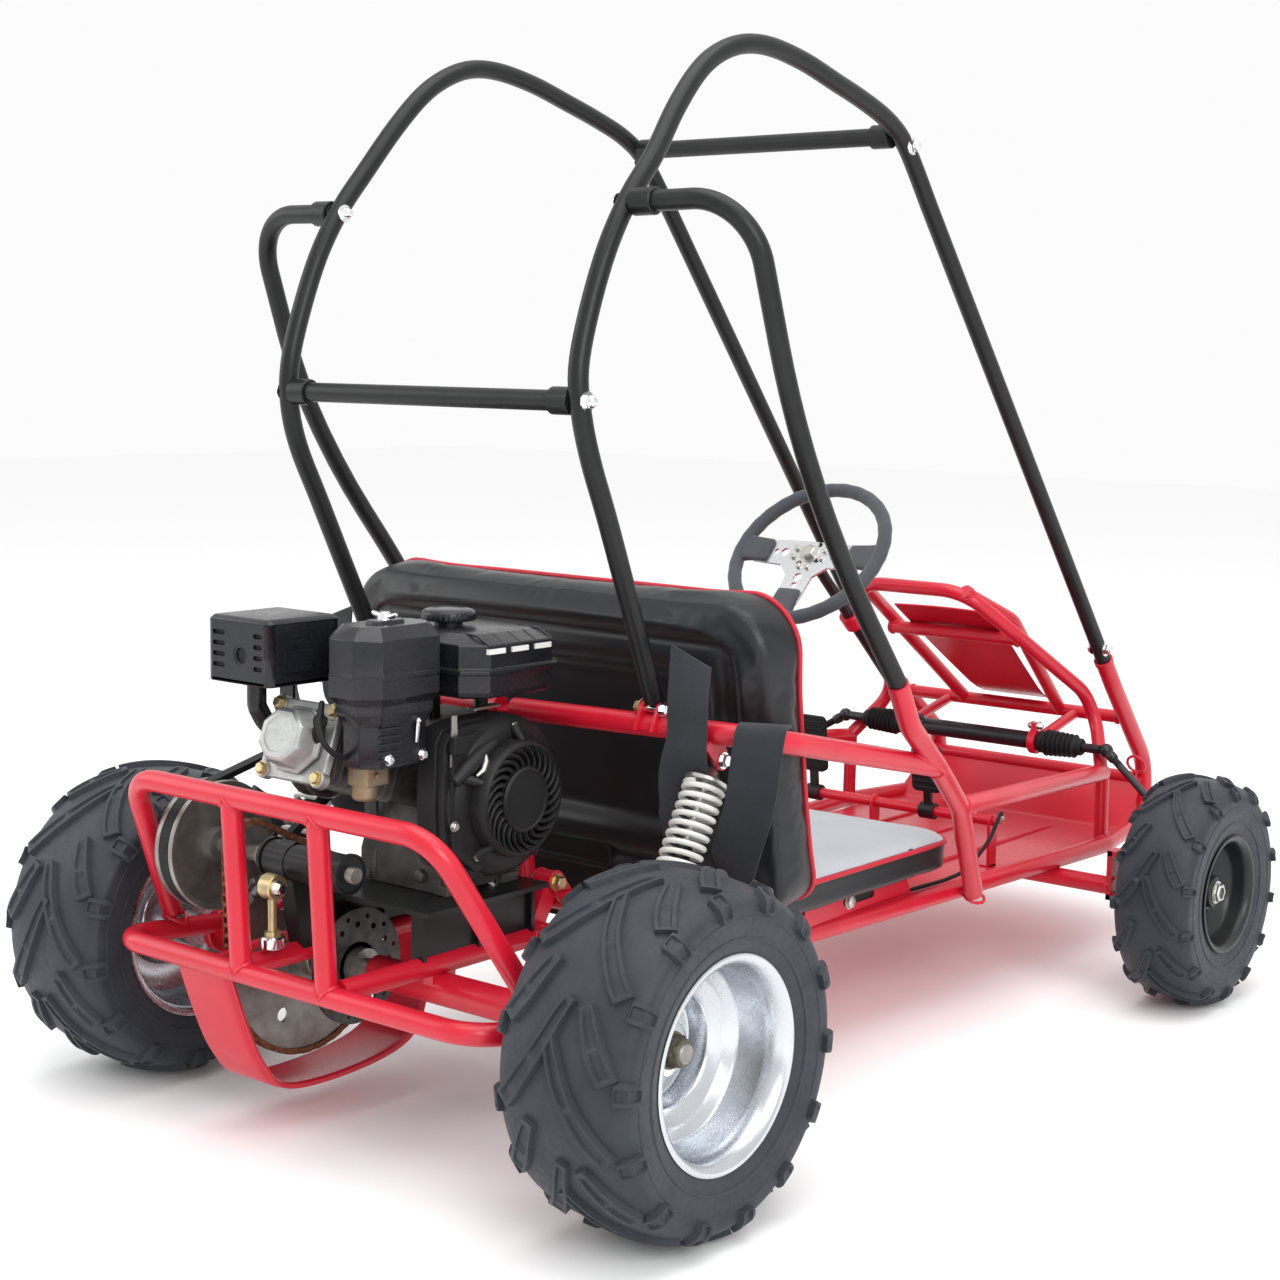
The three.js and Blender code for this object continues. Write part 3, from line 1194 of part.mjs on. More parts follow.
// A block that lies along the cylinder, between two distances from the crankshaft
function onCylinder(from, to, halfWidth, halfHeight, out) {
  const geometry = new THREE.BoxGeometry(2 * halfWidth, to - from, 2 * halfHeight);
  geometry.translate(out, (from + to) / 2, 0).rotateX(cylinderTilt);
  return geometry.translate(0, crankPlace.y, crankPlace.z);
}

const caseOutlineShares = [
  [0.86, 0], [-0.62, 0], [-0.62, 0.3], [-0.4, 0.75], [-0.1, 1.55], [0.62, 1.72], [0.92, 1.3], [0.92, 0.4],
];
const caseReach = crankPlace.z - engineBase;
function engineBlock() {
  const crankcase = sidePlate(caseOutlineShares.map(([ahead, up]) =>
    [-crankPlace.y + ahead * caseReach * 0.75, engineBase + up * caseReach]), caseRight, caseLeft);
  const fins = [];
  for (let i = 0; i < finCount; i++) {
    const place = finStart + (i * (cylinderEnd - finStart)) / finCount;
    fins.push(onCylinder(place, place + finThickness, cylinderHalfWidth + finOver, cylinderHalfHeight + finOver, headMiddle));
  }
  const cylinder = onCylinder(cylinderStart, cylinderEnd, cylinderHalfWidth, cylinderHalfHeight, headMiddle);
  const crankHole = crossBar(crankPlace.clone().setX(crankStart + 2), 2 * crankRadius, crankRadius + 1, smallSegments);
  return cut(join(crankcase, cylinder, ...fins), crankHole);
}

const jackClear = crossBar(jackPlace.clone().setX(jackHousingEnd / 2), 2 * jackHousingEnd, jackHousingRadius + gap, smallSegments);
const engineSolid = cut(engineBlock(), jackClear);
add('engine_block', engineSolid, castAluminium());

function headCover() {
  const flange = onCylinder(
    cylinderEnd + gap, cylinderEnd + headThickness, cylinderHalfWidth + 6, cylinderHalfHeight + 6, headMiddle);
  const shape = new THREE.Shape(ringOutline(cylinderHalfHeight, 8));
  const dome = new THREE.ExtrudeGeometry(shape, { depth: coverThickness, bevelEnabled: false, steps: 1 });
  dome.rotateZ(Math.PI / 8).rotateX(-Math.PI / 2).translate(headMiddle, cylinderEnd + headThickness - gap, 0);
  dome.rotateX(cylinderTilt).translate(0, crankPlace.y, crankPlace.z);
  return join(flange, dome);
}
add('valve_cover', headCover(), castAluminium());

// A box with its four upright edges cut off, between two corners
function chamferedBox(low, high, chamfer) {
  const shape = new THREE.Shape([
    new THREE.Vector2(low.x + chamfer, low.y), new THREE.Vector2(high.x - chamfer, low.y),
    new THREE.Vector2(high.x, low.y + chamfer), new THREE.Vector2(high.x, high.y - chamfer),
    new THREE.Vector2(high.x - chamfer, high.y), new THREE.Vector2(low.x + chamfer, high.y),
    new THREE.Vector2(low.x, high.y - chamfer), new THREE.Vector2(low.x, low.y + chamfer),
  ]);
  const box = new THREE.ExtrudeGeometry(shape, { depth: high.z - low.z, bevelEnabled: false, steps: 1 });
  return box.translate(0, 0, low.z);
}

const boxChamfer = 12;
const cleanerChamfer = 16;
const mufflerLow = at(22, -62, 566);
const mufflerHigh = at(129, -172, 643);
const mufflerPipeRadius = 12;
const mufflerPipeTop = at(112, -112, 582);
const mufflerPipeBend = at(112, -112, 528);
const exhaustPort = at(headMiddle + cylinderHalfWidth, -95, 500);

function boxBetween(a, b, chamfer) {
  const low = a.clone().min(b);
  const high = a.clone().max(b);
  return chamferedBox(low, high, chamfer);
}

const mufflerPipe = bar(mufflerPipeBend, mufflerPipeTop, mufflerPipeRadius);
const exhaustStub = bar(exhaustPort, mufflerPipeBend, mufflerPipeRadius);
const muffler = join(boxBetween(mufflerLow, mufflerHigh, boxChamfer), mufflerPipe, exhaustStub);
const cylinderFat = onCylinder(
  cylinderStart, cylinderEnd + headThickness + gap, cylinderHalfWidth + finOver + gap, cylinderHalfHeight + finOver + gap,
  headMiddle);
add('muffler', cut(muffler, cylinderFat), blackPaint());

const cleanerLow = at(-92, 10, 556);
const cleanerHigh = at(-4, -128, 640);
const elbowLow = at(-74, -20, 468);
const elbowHigh = at(-12, -104, 556.5);
add('air_cleaner', cut(join(
  boxBetween(cleanerLow, cleanerHigh, cleanerChamfer), boxBetween(elbowLow, elbowHigh, boxChamfer),
  bar(at(-48, -60, 639), at(-48, -60, 652), 9)), engineSolid, cylinderFat), blackPlastic());

const tankLow = at(-136, 166, 548);
const tankHigh = at(76, -2, 624);
const tankFlangeShare = 0.4;
const tankFlangeThickness = 4;
const tankFlangeHeight = tankLow.z + tankFlangeShare * (tankHigh.z - tankLow.z);
const tankFlangeOver = 5;
const tankNeckPlace = at(-30, 64, tankHigh.z);
const tankNeckRadius = 17;
const capRadius = 33;
const capHeight = 15;
const tankStayRadius = 9;
const tankStayOuts = [-40, 40];

function fuelTank() {
  const body = boxBetween(tankLow, tankHigh, 26);
  const over = new THREE.Vector3(tankFlangeOver, tankFlangeOver, 0);
  const flange = boxBetween(
    tankLow.clone().sub(over.clone().setY(-tankFlangeOver)).setZ(tankFlangeHeight),
    tankHigh.clone().add(over.clone().setY(0)).setZ(tankFlangeHeight + tankFlangeThickness), 28);
  const neck = bar(tankNeckPlace.clone().addScaledVector(Z, -2), tankNeckPlace.clone().addScaledVector(Z, 6), tankNeckRadius, smallSegments);
  const stays = tankStayOuts.map((out) => bar(at(out, 110, 470), at(out, 110, 550), tankStayRadius));
  return cut(join(body, flange, neck, ...stays), engineSolid);
}
const cleanerRoom = boxBetween(
  cleanerLow.clone().add(new THREE.Vector3(-gap, -gap, -gap)), cleanerHigh.clone().addScalar(gap), cleanerChamfer);
add('fuel_tank', cut(fuelTank(), cleanerRoom), blackPlastic());
const capPlace = tankNeckPlace.clone().addScaledVector(Z, 6 + gap);
add('fuel_cap', bar(capPlace, capPlace.clone().addScaledVector(Z, capHeight), capRadius, smallSegments), blackPlastic());

const shroudRadius = 88;
const shroudEnd = -112;
const starterRadius = 68;
const starterEnd = -134;
const starterProfile = [
  [0, caseRight - gap], [shroudRadius, caseRight - gap], [shroudRadius, shroudEnd + 8], [shroudRadius - 8, shroudEnd],
  [starterRadius + 4, shroudEnd], [starterRadius, starterEnd + 6], [starterRadius - 6, starterEnd],
  [28, starterEnd], [26, starterEnd - 4], [0, starterEnd - 4],
];
const shroudHood = boxBetween(at(caseRight - gap, 150, 430), at(shroudEnd + 6, 0, 520), 4);
add('starter_cover', cut(join(
  turnedAcross(starterProfile, axleSegments).translate(0, crankPlace.y, crankPlace.z), shroudHood),
fuelTankRoom(), plateRoom()), blackPaint());

// Rooms that the starter cover keeps clear of
function fuelTankRoom() {
  return block(tankLow.clone().setY(tankLow.y - tankFlangeOver).setZ(tankLow.z - gap), tankHigh.clone().setZ(tankHigh.z));
}
function plateRoom() {
  return block(at(-2 * enginePlateHalfWidth, enginePlateFront, 0), at(0, enginePlateRear, engineBase));
}

// Coil-over shocks: upper part with its cap and rod, lower part with its seat, and the spring between
const springWire = 3.5;
const springRadius = 17.5;
const springCurls = 9;
const curlSteps = 8;
const springSides = 5;
const shockSides = 8;
const shockLength = shockTop.distanceTo(shockLow);
const capDrop = 26;
const capThickness = 6;
const seatRise = 34;
const seatRadius = 21.5;
const shockRodRadius = 5;
const shockBodyRadius = 11;
const shockBodyTop = 150;
const shockEyeBore = boltRadius + 1;
const lowerEyeBore = boltRadius + 1.5;
const springStart = seatRise + capThickness + gap;
const springEnd = shockLength - capDrop - capThickness - gap;

// Points of the spring's centre line along +Z: straight ends square to the seats, then the curls
function springPoints() {
  const rise = springEnd - springStart;
  const lead = 2 * springWire;
  const points = [];
  const steps = springCurls * curlSteps;
  for (let i = 0; i <= steps; i++) {
    const angle = (2 * Math.PI * i) / curlSteps;
    const height = springStart + lead + springWire + ((rise - 2 * lead - 2 * springWire) * i) / steps;
    points.push(new THREE.Vector3(springRadius * Math.cos(angle), springRadius * Math.sin(angle), height));
  }
  const first = points[0].clone().setZ(springStart);
  const last = points.at(-1).clone().setZ(springEnd);
  return [first, first.clone().setZ(springStart + lead), ...points.slice(1, -1), last.clone().setZ(springEnd - lead), last];
}

// One unbroken tube along a list of points, with flat ends square to +Z
function wireTube(points, radius, sides) {
  const positions = [];
  const index = [];
  points.forEach((point, i) => {
    const before = points[Math.max(i - 1, 0)];
    const after = points[Math.min(i + 1, points.length - 1)];
    const along = i < 1 || i > points.length - 2 ? Z.clone() : after.clone().sub(before).normalize();
    const outward = new THREE.Vector3(point.x, point.y, 0).normalize();
    outward.addScaledVector(along, -outward.dot(along)).normalize();
    const across = along.clone().cross(outward);
    for (let k = 0; k < sides; k++) {
      const angle = (2 * Math.PI * k) / sides;
      const corner3 = point.clone()
        .addScaledVector(outward, radius * Math.cos(angle)).addScaledVector(across, radius * Math.sin(angle));
      positions.push(corner3.x, corner3.y, corner3.z);
    }
    for (let k = 0; i > 0 && k < sides; k++) {
      const a = sides * (i - 1) + k;
      const b = sides * (i - 1) + ((k + 1) % sides);
      index.push(a, b, b + sides, a, b + sides, a + sides);
    }
  });
  const last = sides * (points.length - 1);
  for (let k = 1; k < sides - 1; k++) index.push(0, k + 1, k, last, last + k, last + k + 1);
  const geometry = new THREE.BufferGeometry();
  geometry.setAttribute('position', new THREE.Float32BufferAttribute(positions, 3));
  geometry.setIndex(index);
  return geometry;
}

// Least distance between parts of the spring that lie at least half a curl apart
function leastSpringGap(points) {
  let least = Infinity;
  points.forEach((point, i) => {
    for (let k = i + curlSteps / 2; k < points.length; k++) {
      least = Math.min(least, point.distanceTo(points[k]) - 2 * springWire);
    }
  });
  return least;
}

const springLine = springPoints();
console.log(`spring: least gap to itself ${leastSpringGap(springLine).toFixed(2)} mm`);
const alongShock = (geometry) => aimed(geometry, shockLow, shockTop);
const eyeAcross = (place, bore) => ringAcross(bore, shockEyeRadius, -shockEyeHalfWidth, shockEyeHalfWidth, shockSides)
  .translate(place.x, place.y, place.z);
const turnedUp = (profile, segments = shockSides) => {
  const points = profile.map(([radius, up]) => new THREE.Vector2(radius, up));
  points.push(points[0].clone());
  return new THREE.LatheGeometry(points, segments).rotateX(Math.PI / 2);
};

const rodLow = 62;
const upperShock = join(
  alongShock(turnedUp([
    [0, rodLow], [shockRodRadius, rodLow], [shockRodRadius, shockLength - capDrop - capThickness],
    [seatRadius, shockLength - capDrop - capThickness], [seatRadius, shockLength - capDrop],
    [shockRodRadius + 3, shockLength - capDrop + 4], [shockRodRadius + 3, shockLength - shockEyeBore - 2],
    [0, shockLength - shockEyeBore - 2],
  ])), eyeAcross(shockTop, shockEyeBore));
addPair('shock_upper', upperShock, brightSteel);

const lowerShock = join(
  alongShock(turnedUp([
    [0, lowerEyeBore + 2], [shockBodyRadius - 2, lowerEyeBore + 2], [shockBodyRadius - 2, seatRise],
    [seatRadius, seatRise], [seatRadius, seatRise + capThickness], [shockBodyRadius, seatRise + capThickness],
    [shockBodyRadius, shockBodyTop], [shockRodRadius + 1, shockBodyTop], [shockRodRadius + 1, rodLow - 25],
    [0, rodLow - 25],
  ])), eyeAcross(shockLow, lowerEyeBore));
addPair('shock_lower', lowerShock, blackPaint);
addPair('shock_spring', alongShock(wireTube(springLine, springWire, springSides)), whitePaint);

// Pedals on the pedal bar, and the brake cable from the pedal bar to the rear cross tube
const pedalSleeveRadius = 13;
const pedalHeight = 92;
const pedalPadHalfWidth = 26;
const pedalPadThickness = 8;
const pedalPadHalfHeight = 46;
const pedalLean = 0.12;
const brakePedalOut = 146;
const gasPedalOut = -70;

function pedal(out, padHalfHeight) {
  const sleeve = ringAcross(boreFor(pedalBarRadius), pedalSleeveRadius, -pedalPadHalfWidth / 2, pedalPadHalfWidth / 2, smallSegments);
  const arm = new THREE.BoxGeometry(pedalPadHalfWidth / 2, pedalPadThickness, pedalHeight)
    .translate(0, 0, pedalHeight / 2 + pedalBarRadius + 2);
  const padBlock = new THREE.BoxGeometry(2 * pedalPadHalfWidth, pedalPadThickness, 2 * padHalfHeight)
    .translate(0, pedalPadThickness / 2, pedalHeight - padHalfHeight / 2);
  return join(sleeve, arm.rotateX(pedalLean), padBlock.rotateX(pedalLean))
    .translate(out, pedalBarPlace.y, pedalBarPlace.z);
}
add('brake_pedal', pedal(brakePedalOut, pedalPadHalfHeight), blackPaint());
add('gas_pedal', pedal(gasPedalOut, pedalPadHalfHeight * 0.8), blackPaint());

const cableRadius = 3;
const cableRoute = [
  at(-200, 1108, 246), at(-207, 1098, 262), at(-213, 1078, 258), at(-212, 1050, 226), at(-200, 1010, 190),
  at(-190, 970, 179), at(-184, 900, 177.8), at(-178, 740, 177.6), at(-172, 620, 177.6),
  at(-168, 530, 177.6), at(-164, 430, 188), at(-160, 350, 196), at(-158, 300, 204), at(-158, 264, 226),
  at(-158, 252, 245),
];
add('brake_cable', new THREE.ExtrudeGeometry(new THREE.Shape(ringOutline(cableRadius, 5)), {
  steps: 20, extrudePath: new THREE.CatmullRomCurve3(cableRoute),
}), blackRubber());

// The origin is the middle of the footprint, on the ground
const frontEnd = -railRoute[3].y + frameTubeRadius;
const rearEnd = rearTyreRadius;
kart.position.y = (frontEnd - rearEnd) / 2;

export default kart;
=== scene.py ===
"""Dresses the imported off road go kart: welded tubes, lugged tyres, padded bench, engine and running gear."""

import logging
import math
from collections.abc import Sequence
from dataclasses import dataclass
from enum import Enum

import bmesh
import bpy
import numpy as np
from mathutils import Matrix, Vector
from mathutils.geometry import tessellate_polygon

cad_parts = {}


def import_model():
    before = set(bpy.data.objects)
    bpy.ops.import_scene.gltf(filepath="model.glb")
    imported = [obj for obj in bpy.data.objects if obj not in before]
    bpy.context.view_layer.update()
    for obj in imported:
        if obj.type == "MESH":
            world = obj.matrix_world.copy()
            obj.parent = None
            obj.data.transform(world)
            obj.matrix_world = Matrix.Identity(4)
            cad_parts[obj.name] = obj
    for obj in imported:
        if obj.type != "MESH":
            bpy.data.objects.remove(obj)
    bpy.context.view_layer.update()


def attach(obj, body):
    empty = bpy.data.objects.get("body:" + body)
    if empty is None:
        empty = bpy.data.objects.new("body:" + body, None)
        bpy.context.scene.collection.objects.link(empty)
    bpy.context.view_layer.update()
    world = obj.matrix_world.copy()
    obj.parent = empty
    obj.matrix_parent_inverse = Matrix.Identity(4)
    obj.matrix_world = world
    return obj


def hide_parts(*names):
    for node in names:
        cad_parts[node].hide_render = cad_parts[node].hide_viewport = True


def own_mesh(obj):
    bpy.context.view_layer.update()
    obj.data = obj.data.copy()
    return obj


logging.basicConfig(level=logging.INFO, format="%(message)s")
LOG = logging.getLogger("go kart")

MILLI = 0.001
# Millimetres from the rear axle, where the kart's own places start, to the middle of the shared frame
GROUP_SHIFT = 701.0624
# Ribs to the metre in woven webbing, over its width and along it
THREADS_ACROSS, THREADS_ALONG = 1100, 420
# Colour that upward-facing surfaces lighten towards: partly dust, partly a painted highlight from the light
# above.
DUST_AND_TOP_HIGHLIGHT = (0.3, 0.285, 0.26, 1)
X, Y, Z = Vector((1, 0, 0)), Vector((0, 1, 0)), Vector((0, 0, 1))
Triple = tuple[float, float, float]
Pair = tuple[float, float]


class Weave(Enum):
    """The fine surface that a finish has."""

    SMOOTH = "smooth"
    CAST = "cast"
    GRAIN = "grain"
    WOVEN = "woven"
    MOULDED = "moulded"


def at(out: float, ahead: float, up: float) -> Vector:
    """Place in millimetres: out to the driver's left, ahead of the rear axle and up from the ground."""
    return Vector((out, -ahead, up))


def route(places: Sequence[Triple]) -> list[Vector]:
    """Turns (out, ahead, up) places into points."""
    return [at(*place) for place in places]


def flipped(points: Sequence[Vector]) -> list[Vector]:
    """The same points on the other side of the kart."""
    return [Vector((-p.x, p.y, p.z)) for p in points]


def basis(axis: Vector) -> tuple[Vector, Vector, Vector]:
    """Two directions square to an axis, and the axis itself.

    Args:
        axis: The direction that the other two are square to.

    Returns:
        Three unit vectors, the axis last.
    """
    w = Vector(axis).normalized()
    helper = X if abs(w.x) < 0.8 else Z
    u = helper.cross(w).normalized()
    return u, w.cross(u), w


def bent(corners: Sequence[Vector], radius: float | Sequence[float],
         step: float = math.radians(7)) -> list[Vector]:
    """Centre line of a tube with straight runs and round bends.

    Args:
        corners: The points where the straight runs would meet.
        radius: Bend radius at the centre line, one for all bends or one for each.
        step: Turn between two stations of a bend.

    Returns:
        The stations along the line.
    """
    line = [corners[0].copy()]
    radii = [radius] * len(corners) if isinstance(radius, (int, float)) else radius
    for before, corner, after, wide in zip(corners, corners[1:], corners[2:], radii):
        arrive, leave = corner - before, after - corner
        room = min(arrive.length, leave.length) * 0.48
        arrive, leave = arrive.normalized(), leave.normalized()
        angle = arrive.angle(leave)
        if angle < 0.02:
            line.append(corner.copy())
            continue
        reach = min(wide * math.tan(angle / 2), room)
        bend = reach / math.tan(angle / 2)
        inward = (leave - arrive * math.cos(angle)).normalized()
        start = corner - arrive * reach
        steps = max(3, math.ceil(angle / step))
        for k in range(steps + 1):
            turn = angle * k / steps
            line.append(start + arrive * bend * math.sin(turn) + inward * bend * (1 - math.cos(turn)))
    line.append(corners[-1].copy())
    return line


def smooth(points: Sequence[Vector], steps: int = 8) -> list[Vector]:
    """A soft curve through points, with steps stations from each to the next."""
    line = []
    for i in range(len(points) - 1):
        a, b, c, d = points[max(i - 1, 0)], points[i], points[i + 1], points[min(i + 2, len(points) - 1)]
        for k in range(steps):
            t = k / steps
            line.append(0.5 * ((2 * b) + (c - a) * t + (2 * a - 5 * b + 4 * c - d) * t * t
                               + (3 * b - a - 3 * c + d) * t * t * t))
    return [*line, points[-1].copy()]


def rounded(half_width: float, half_height: float, radius: float, steps: int = 8) -> list[Pair]:
    """Outline of a rectangle with round corners, round its middle."""
    corners = [(half_width - radius, half_height - radius, 0), (radius - half_width, half_height - radius, 1),
               (radius - half_width, radius - half_height, 2), (half_width - radius, radius - half_height, 3)]
    return [(cx + radius * math.cos(math.pi / 2 * (quarter + k / steps)),
             cy + radius * math.sin(math.pi / 2 * (quarter + k / steps)))
            for cx, cy, quarter in corners for k in range(steps + 1)]


def circle(radius: float, sides: int = 24, middle: Pair = (0, 0), phase: float = 0) -> list[Pair]:
    """Points round a circle or regular polygon."""
    return [(middle[0] + radius * math.cos(phase + 2 * math.pi * i / sides),
             middle[1] + radius * math.sin(phase + 2 * math.pi * i / sides)) for i in range(sides)]


def half_hull(run: Sequence[Pair]) -> list[Pair]:
    """One side of the convex outline round points that come in order."""
    kept: list[Pair] = []
    for p in run:
        while len(kept) > 1 and ((kept[-1][0] - kept[-2][0]) * (p[1] - kept[-2][1])
                                 <= (kept[-1][1] - kept[-2][1]) * (p[0] - kept[-2][0])):
            kept.pop()
        kept.append(p)
    return kept[:-1]


def hull(points: Sequence[Pair]) -> list[Pair]:
    """The convex outline round some points."""
    ordered = sorted(set(points))
    return half_hull(ordered) + half_hull(ordered[::-1])


class Form:
    """Collects faces in kart millimetres, and turns them into one smooth-shaded piece."""

    def __init__(self) -> None:
        """Starts empty."""
        self.blocks: list[np.ndarray] = []
        self.count = 0
        self.faces: list[tuple[int, ...]] = []
        self.marks: list[int] = []
        self.lays: dict[int, Pair] = {}

    def add(self, points: Sequence[Vector], faces: Sequence[Sequence[int]], mark: int = 0) -> int:
        """Adds loose points and faces.

        Args:
            points: Corners in kart millimetres.
            faces: Corner numbers of each face, counted within these points.
            mark: Number of the finish that the faces take.

        Returns:
            The number of the first point added.
        """
        start = self.count
        self.blocks.append(np.array([tuple(p) for p in points], float).reshape(-1, 3))
        self.count += len(points)
        self.faces.extend(tuple(start + i for i in face) for face in faces)
        self.marks.extend([mark] * len(faces))
        return start

    def skin(self, rows: Sequence[Sequence[Vector]], mark: int = 0, wrap: bool = True, loop: bool = False,
             caps: bool = False) -> int:
        """Quads between rows of points.

        Args:
            rows: Rows of the same number of points.
            mark: Number of the finish.
            wrap: Whether each row closes on itself.
            loop: Whether the last row meets the first.
            caps: Whether the first and last rows are filled.

        Returns:
            The number of the first point added.
        """
        wide, tall, faces = len(rows[0]), len(rows), []
        for i in range(tall if loop else tall - 1):
            j = (i + 1) % tall
            for k in range(wide if wrap else wide - 1):
                m = (k + 1) % wide
                faces.append((i * wide + k, i * wide + m, j * wide + m, j * wide + k))
        if caps:
            faces.append(tuple(range(wide))[::-1])
            faces.append(tuple((tall - 1) * wide + k for k in range(wide)))
        return self.add([p for row in rows for p in row], faces, mark)

    def sweep(self, line: Sequence[Vector], radius: float | Sequence[float], sides: int = 20,
              loop: bool = False, section: Sequence[Pair] | None = None) -> None:
        """A round bar, or a bar of another section, along a line.

        Args:
            line: Centre line.
            radius: One radius, or one for each station.
            sides: Faces round the bar.
            loop: Whether the line closes on itself.
            section: Outline to sweep in place of a circle, scaled by radius.
        """
        outline = section or circle(1, sides)
        u = None
        rows = []
        for i, point in enumerate(line):
            before = line[i - 1] if i or loop else line[0]
            after = line[(i + 1) % len(line)] if i < len(line) - 1 or loop else line[-1]
            along = (after - before).normalized()
            u = basis(along)[0] if u is None else (u - along * u.dot(along)).normalized()
            v = along.cross(u)
            r = radius if isinstance(radius, (int, float)) else radius[i]
            rows.append([point + u * (a * r) + v * (b * r) for a, b in outline])
        self.skin(rows, loop=loop, caps=not loop)

    def tube(self, corners: Sequence[Vector], radius: float, bend: float = 70, sides: int = 22) -> None:
        """A bent round tube."""
        self.sweep(bent(corners, bend), radius, sides)

    def bar(self, start: Vector, end: Vector, radius: float, sides: int = 20) -> None:
        """A straight round bar."""
        self.sweep([start, end], radius, sides)

    def lathe(self, profile: Sequence[Pair], origin: Vector, axis: Vector, segments: int = 48, mark: int = 0,
              loop: bool = False) -> None:
        """Turns (radius, along) points round an axis.

        Args:
            profile: Points of the cross-section.
            origin: Where along is zero.
            axis: Direction of along.
            segments: Steps round the axis.
            mark: Number of the finish.
            loop: Whether the profile closes on itself.
        """
        u, v, w = basis(axis)
        turns = [2 * math.pi * k / segments for k in range(segments)]
        rows = [[origin + w * along + u * (radius * math.cos(a)) + v * (radius * math.sin(a)) for a in turns]
                for radius, along in profile]
        self.skin(rows, mark, loop=loop)

    def ball(self, middle: Vector, radius: float, segments: int = 20) -> None:
        """A ball."""
        steps = segments // 2
        self.lathe([(radius * math.sin(math.pi * k / steps), -radius * math.cos(math.pi * k / steps))
                    for k in range(steps + 1)], middle, Z, segments)

    def plate(self, outline: Sequence[Pair], origin: Vector, u: Vector, v: Vector, depth: float,
              holes: Sequence[Sequence[Pair]] = (), mark: int = 0) -> None:
        """A flat shape with holes, pulled out square to itself.

        Args:
            outline: Points along u and v.
            origin: Where u and v are zero.
            u: First direction of the outline.
            v: Second direction of the outline.
            depth: Thickness, along u cross v.
            holes: Outlines that are left out.
            mark: Number of the finish.
        """
        w = u.cross(v).normalized()
        loops = [outline, *holes]
        flat = [Vector((a, b, 0)) for loop in loops for a, b in loop]
        triangles = tessellate_polygon([[Vector((a, b, 0)) for a, b in loop] for loop in loops])
        points = [origin + u * p.x + v * p.y + w * level for level in (0, depth) for p in flat]
        total = len(flat)
        faces = [tuple(t) for t in triangles] + [tuple(i + total for i in reversed(t)) for t in triangles]
        start = 0
        for loop in loops:
            n = len(loop)
            faces += [(start + k, start + (k + 1) % n, total + start + (k + 1) % n, total + start + k)
                      for k in range(n)]
            start += n
        self.add(points, faces, mark)

    def side_plate(self, outline: Sequence[Pair], inner: float, outer: float,
                   holes: Sequence[Sequence[Pair]] = ()) -> None:
        """An upright plate of (ahead, up) points between two distances from the middle of the kart."""
        self.plate(outline, Vector((inner, 0, 0)), -Y, Z, inner - outer, holes)

    def block(self, low: Vector, high: Vector) -> None:
        """A box between two corners."""
        corners = [Vector((x, y, z)) for z in (low.z, high.z) for y in (low.y, high.y)
                   for x in (low.x, high.x)]
        faces = [(0, 2, 3, 1), (4, 5, 7, 6), (0, 1, 5, 4), (2, 6, 7, 3), (0, 4, 6, 2), (1, 3, 7, 5)]
        self.add(corners, faces)

    def bolt(self, place: Vector, way: Vector, radius: float = 8, height: float = 6, mark: int = 0) -> None:
        """A hexagon bolt head with its washer, standing on a face."""
        self.lathe([(0, 0), (radius * 1.25, 0), (radius * 1.25, 1.4), (0, 1.4)], place, way, 24, mark)
        self.lathe([(0, 1.4), (radius, 1.4), (radius, height * 0.82 + 1.4), (radius * 0.84, height + 1.4),
                    (0, height + 1.4)], place, way, 6, mark)

    def acorn(self, place: Vector, way: Vector, radius: float = 8, mark: int = 0) -> None:
        """A domed cap nut with its washer, standing on a face."""
        self.lathe([(0, 0), (radius * 1.35, 0), (radius * 1.35, 1.6), (0, 1.6)], place, way, 24, mark)
        self.lathe([(0, 1.6), (radius, 1.6), (radius, radius * 0.75), (radius * 0.9, radius * 0.86),
                    (0, radius * 0.86)], place, way, 6, mark)
        dome = [(radius * 0.86 * math.cos(a), radius * (0.8 + 0.8 * math.sin(a)))
                for a in [math.pi / 2 * k / 7 for k in range(8)]]
        self.lathe(dome, place, way, 20, mark)

    def weld(self, place: Vector, along: Vector, radius: float, main: Vector, heading: Vector,
             main_radius: float, size: float = 2.4) -> None:
        """A rippled bead where a round tube meets another.

        Args:
            place: Point on the joining tube's centre line, outside the main tube.
            along: Direction from there into the main tube.
            radius: Radius of the joining tube.
            main: Point on the main tube's centre line.
            heading: Direction of the main tube.
            main_radius: Radius of the main tube.
            size: Half thickness of the bead.
        """
        u, v, w = basis(along)
        heading = heading.normalized()
        line = []
        steps, ripples = 44, 11
        for k in range(steps):
            angle = 2 * math.pi * k / steps
            start = place + u * (radius * math.cos(angle)) + v * (radius * math.sin(angle))
            offset = start - main
            offset -= heading * offset.dot(heading)
            way = w - heading * w.dot(heading)
            a, b, c = way.dot(way), 2 * way.dot(offset), offset.dot(offset) - main_radius ** 2
            rest = b * b - 4 * a * c
            reach = (-b - math.sqrt(rest)) / (2 * a) if rest > 0 and a > 1e-6 else -b / (2 * max(a, 1e-6))
            line.append(start + w * reach)
        beads = [size * (1 + 0.16 * math.sin(k * 2 * math.pi * ripples / steps)) for k in range(steps)]
        self.sweep(line, beads, 8, loop=True)

    def moved(self, matrix: Matrix) -> "Form":
        """A copy under a transform in kart millimetres."""
        copy = Form()
        grid = np.array(matrix, float)
        copy.blocks = [b @ grid[:3, :3].T + grid[:3, 3] for b in self.blocks]
        copy.count, copy.faces, copy.marks = self.count, list(self.faces), list(self.marks)
        copy.lays = dict(self.lays)
        return copy

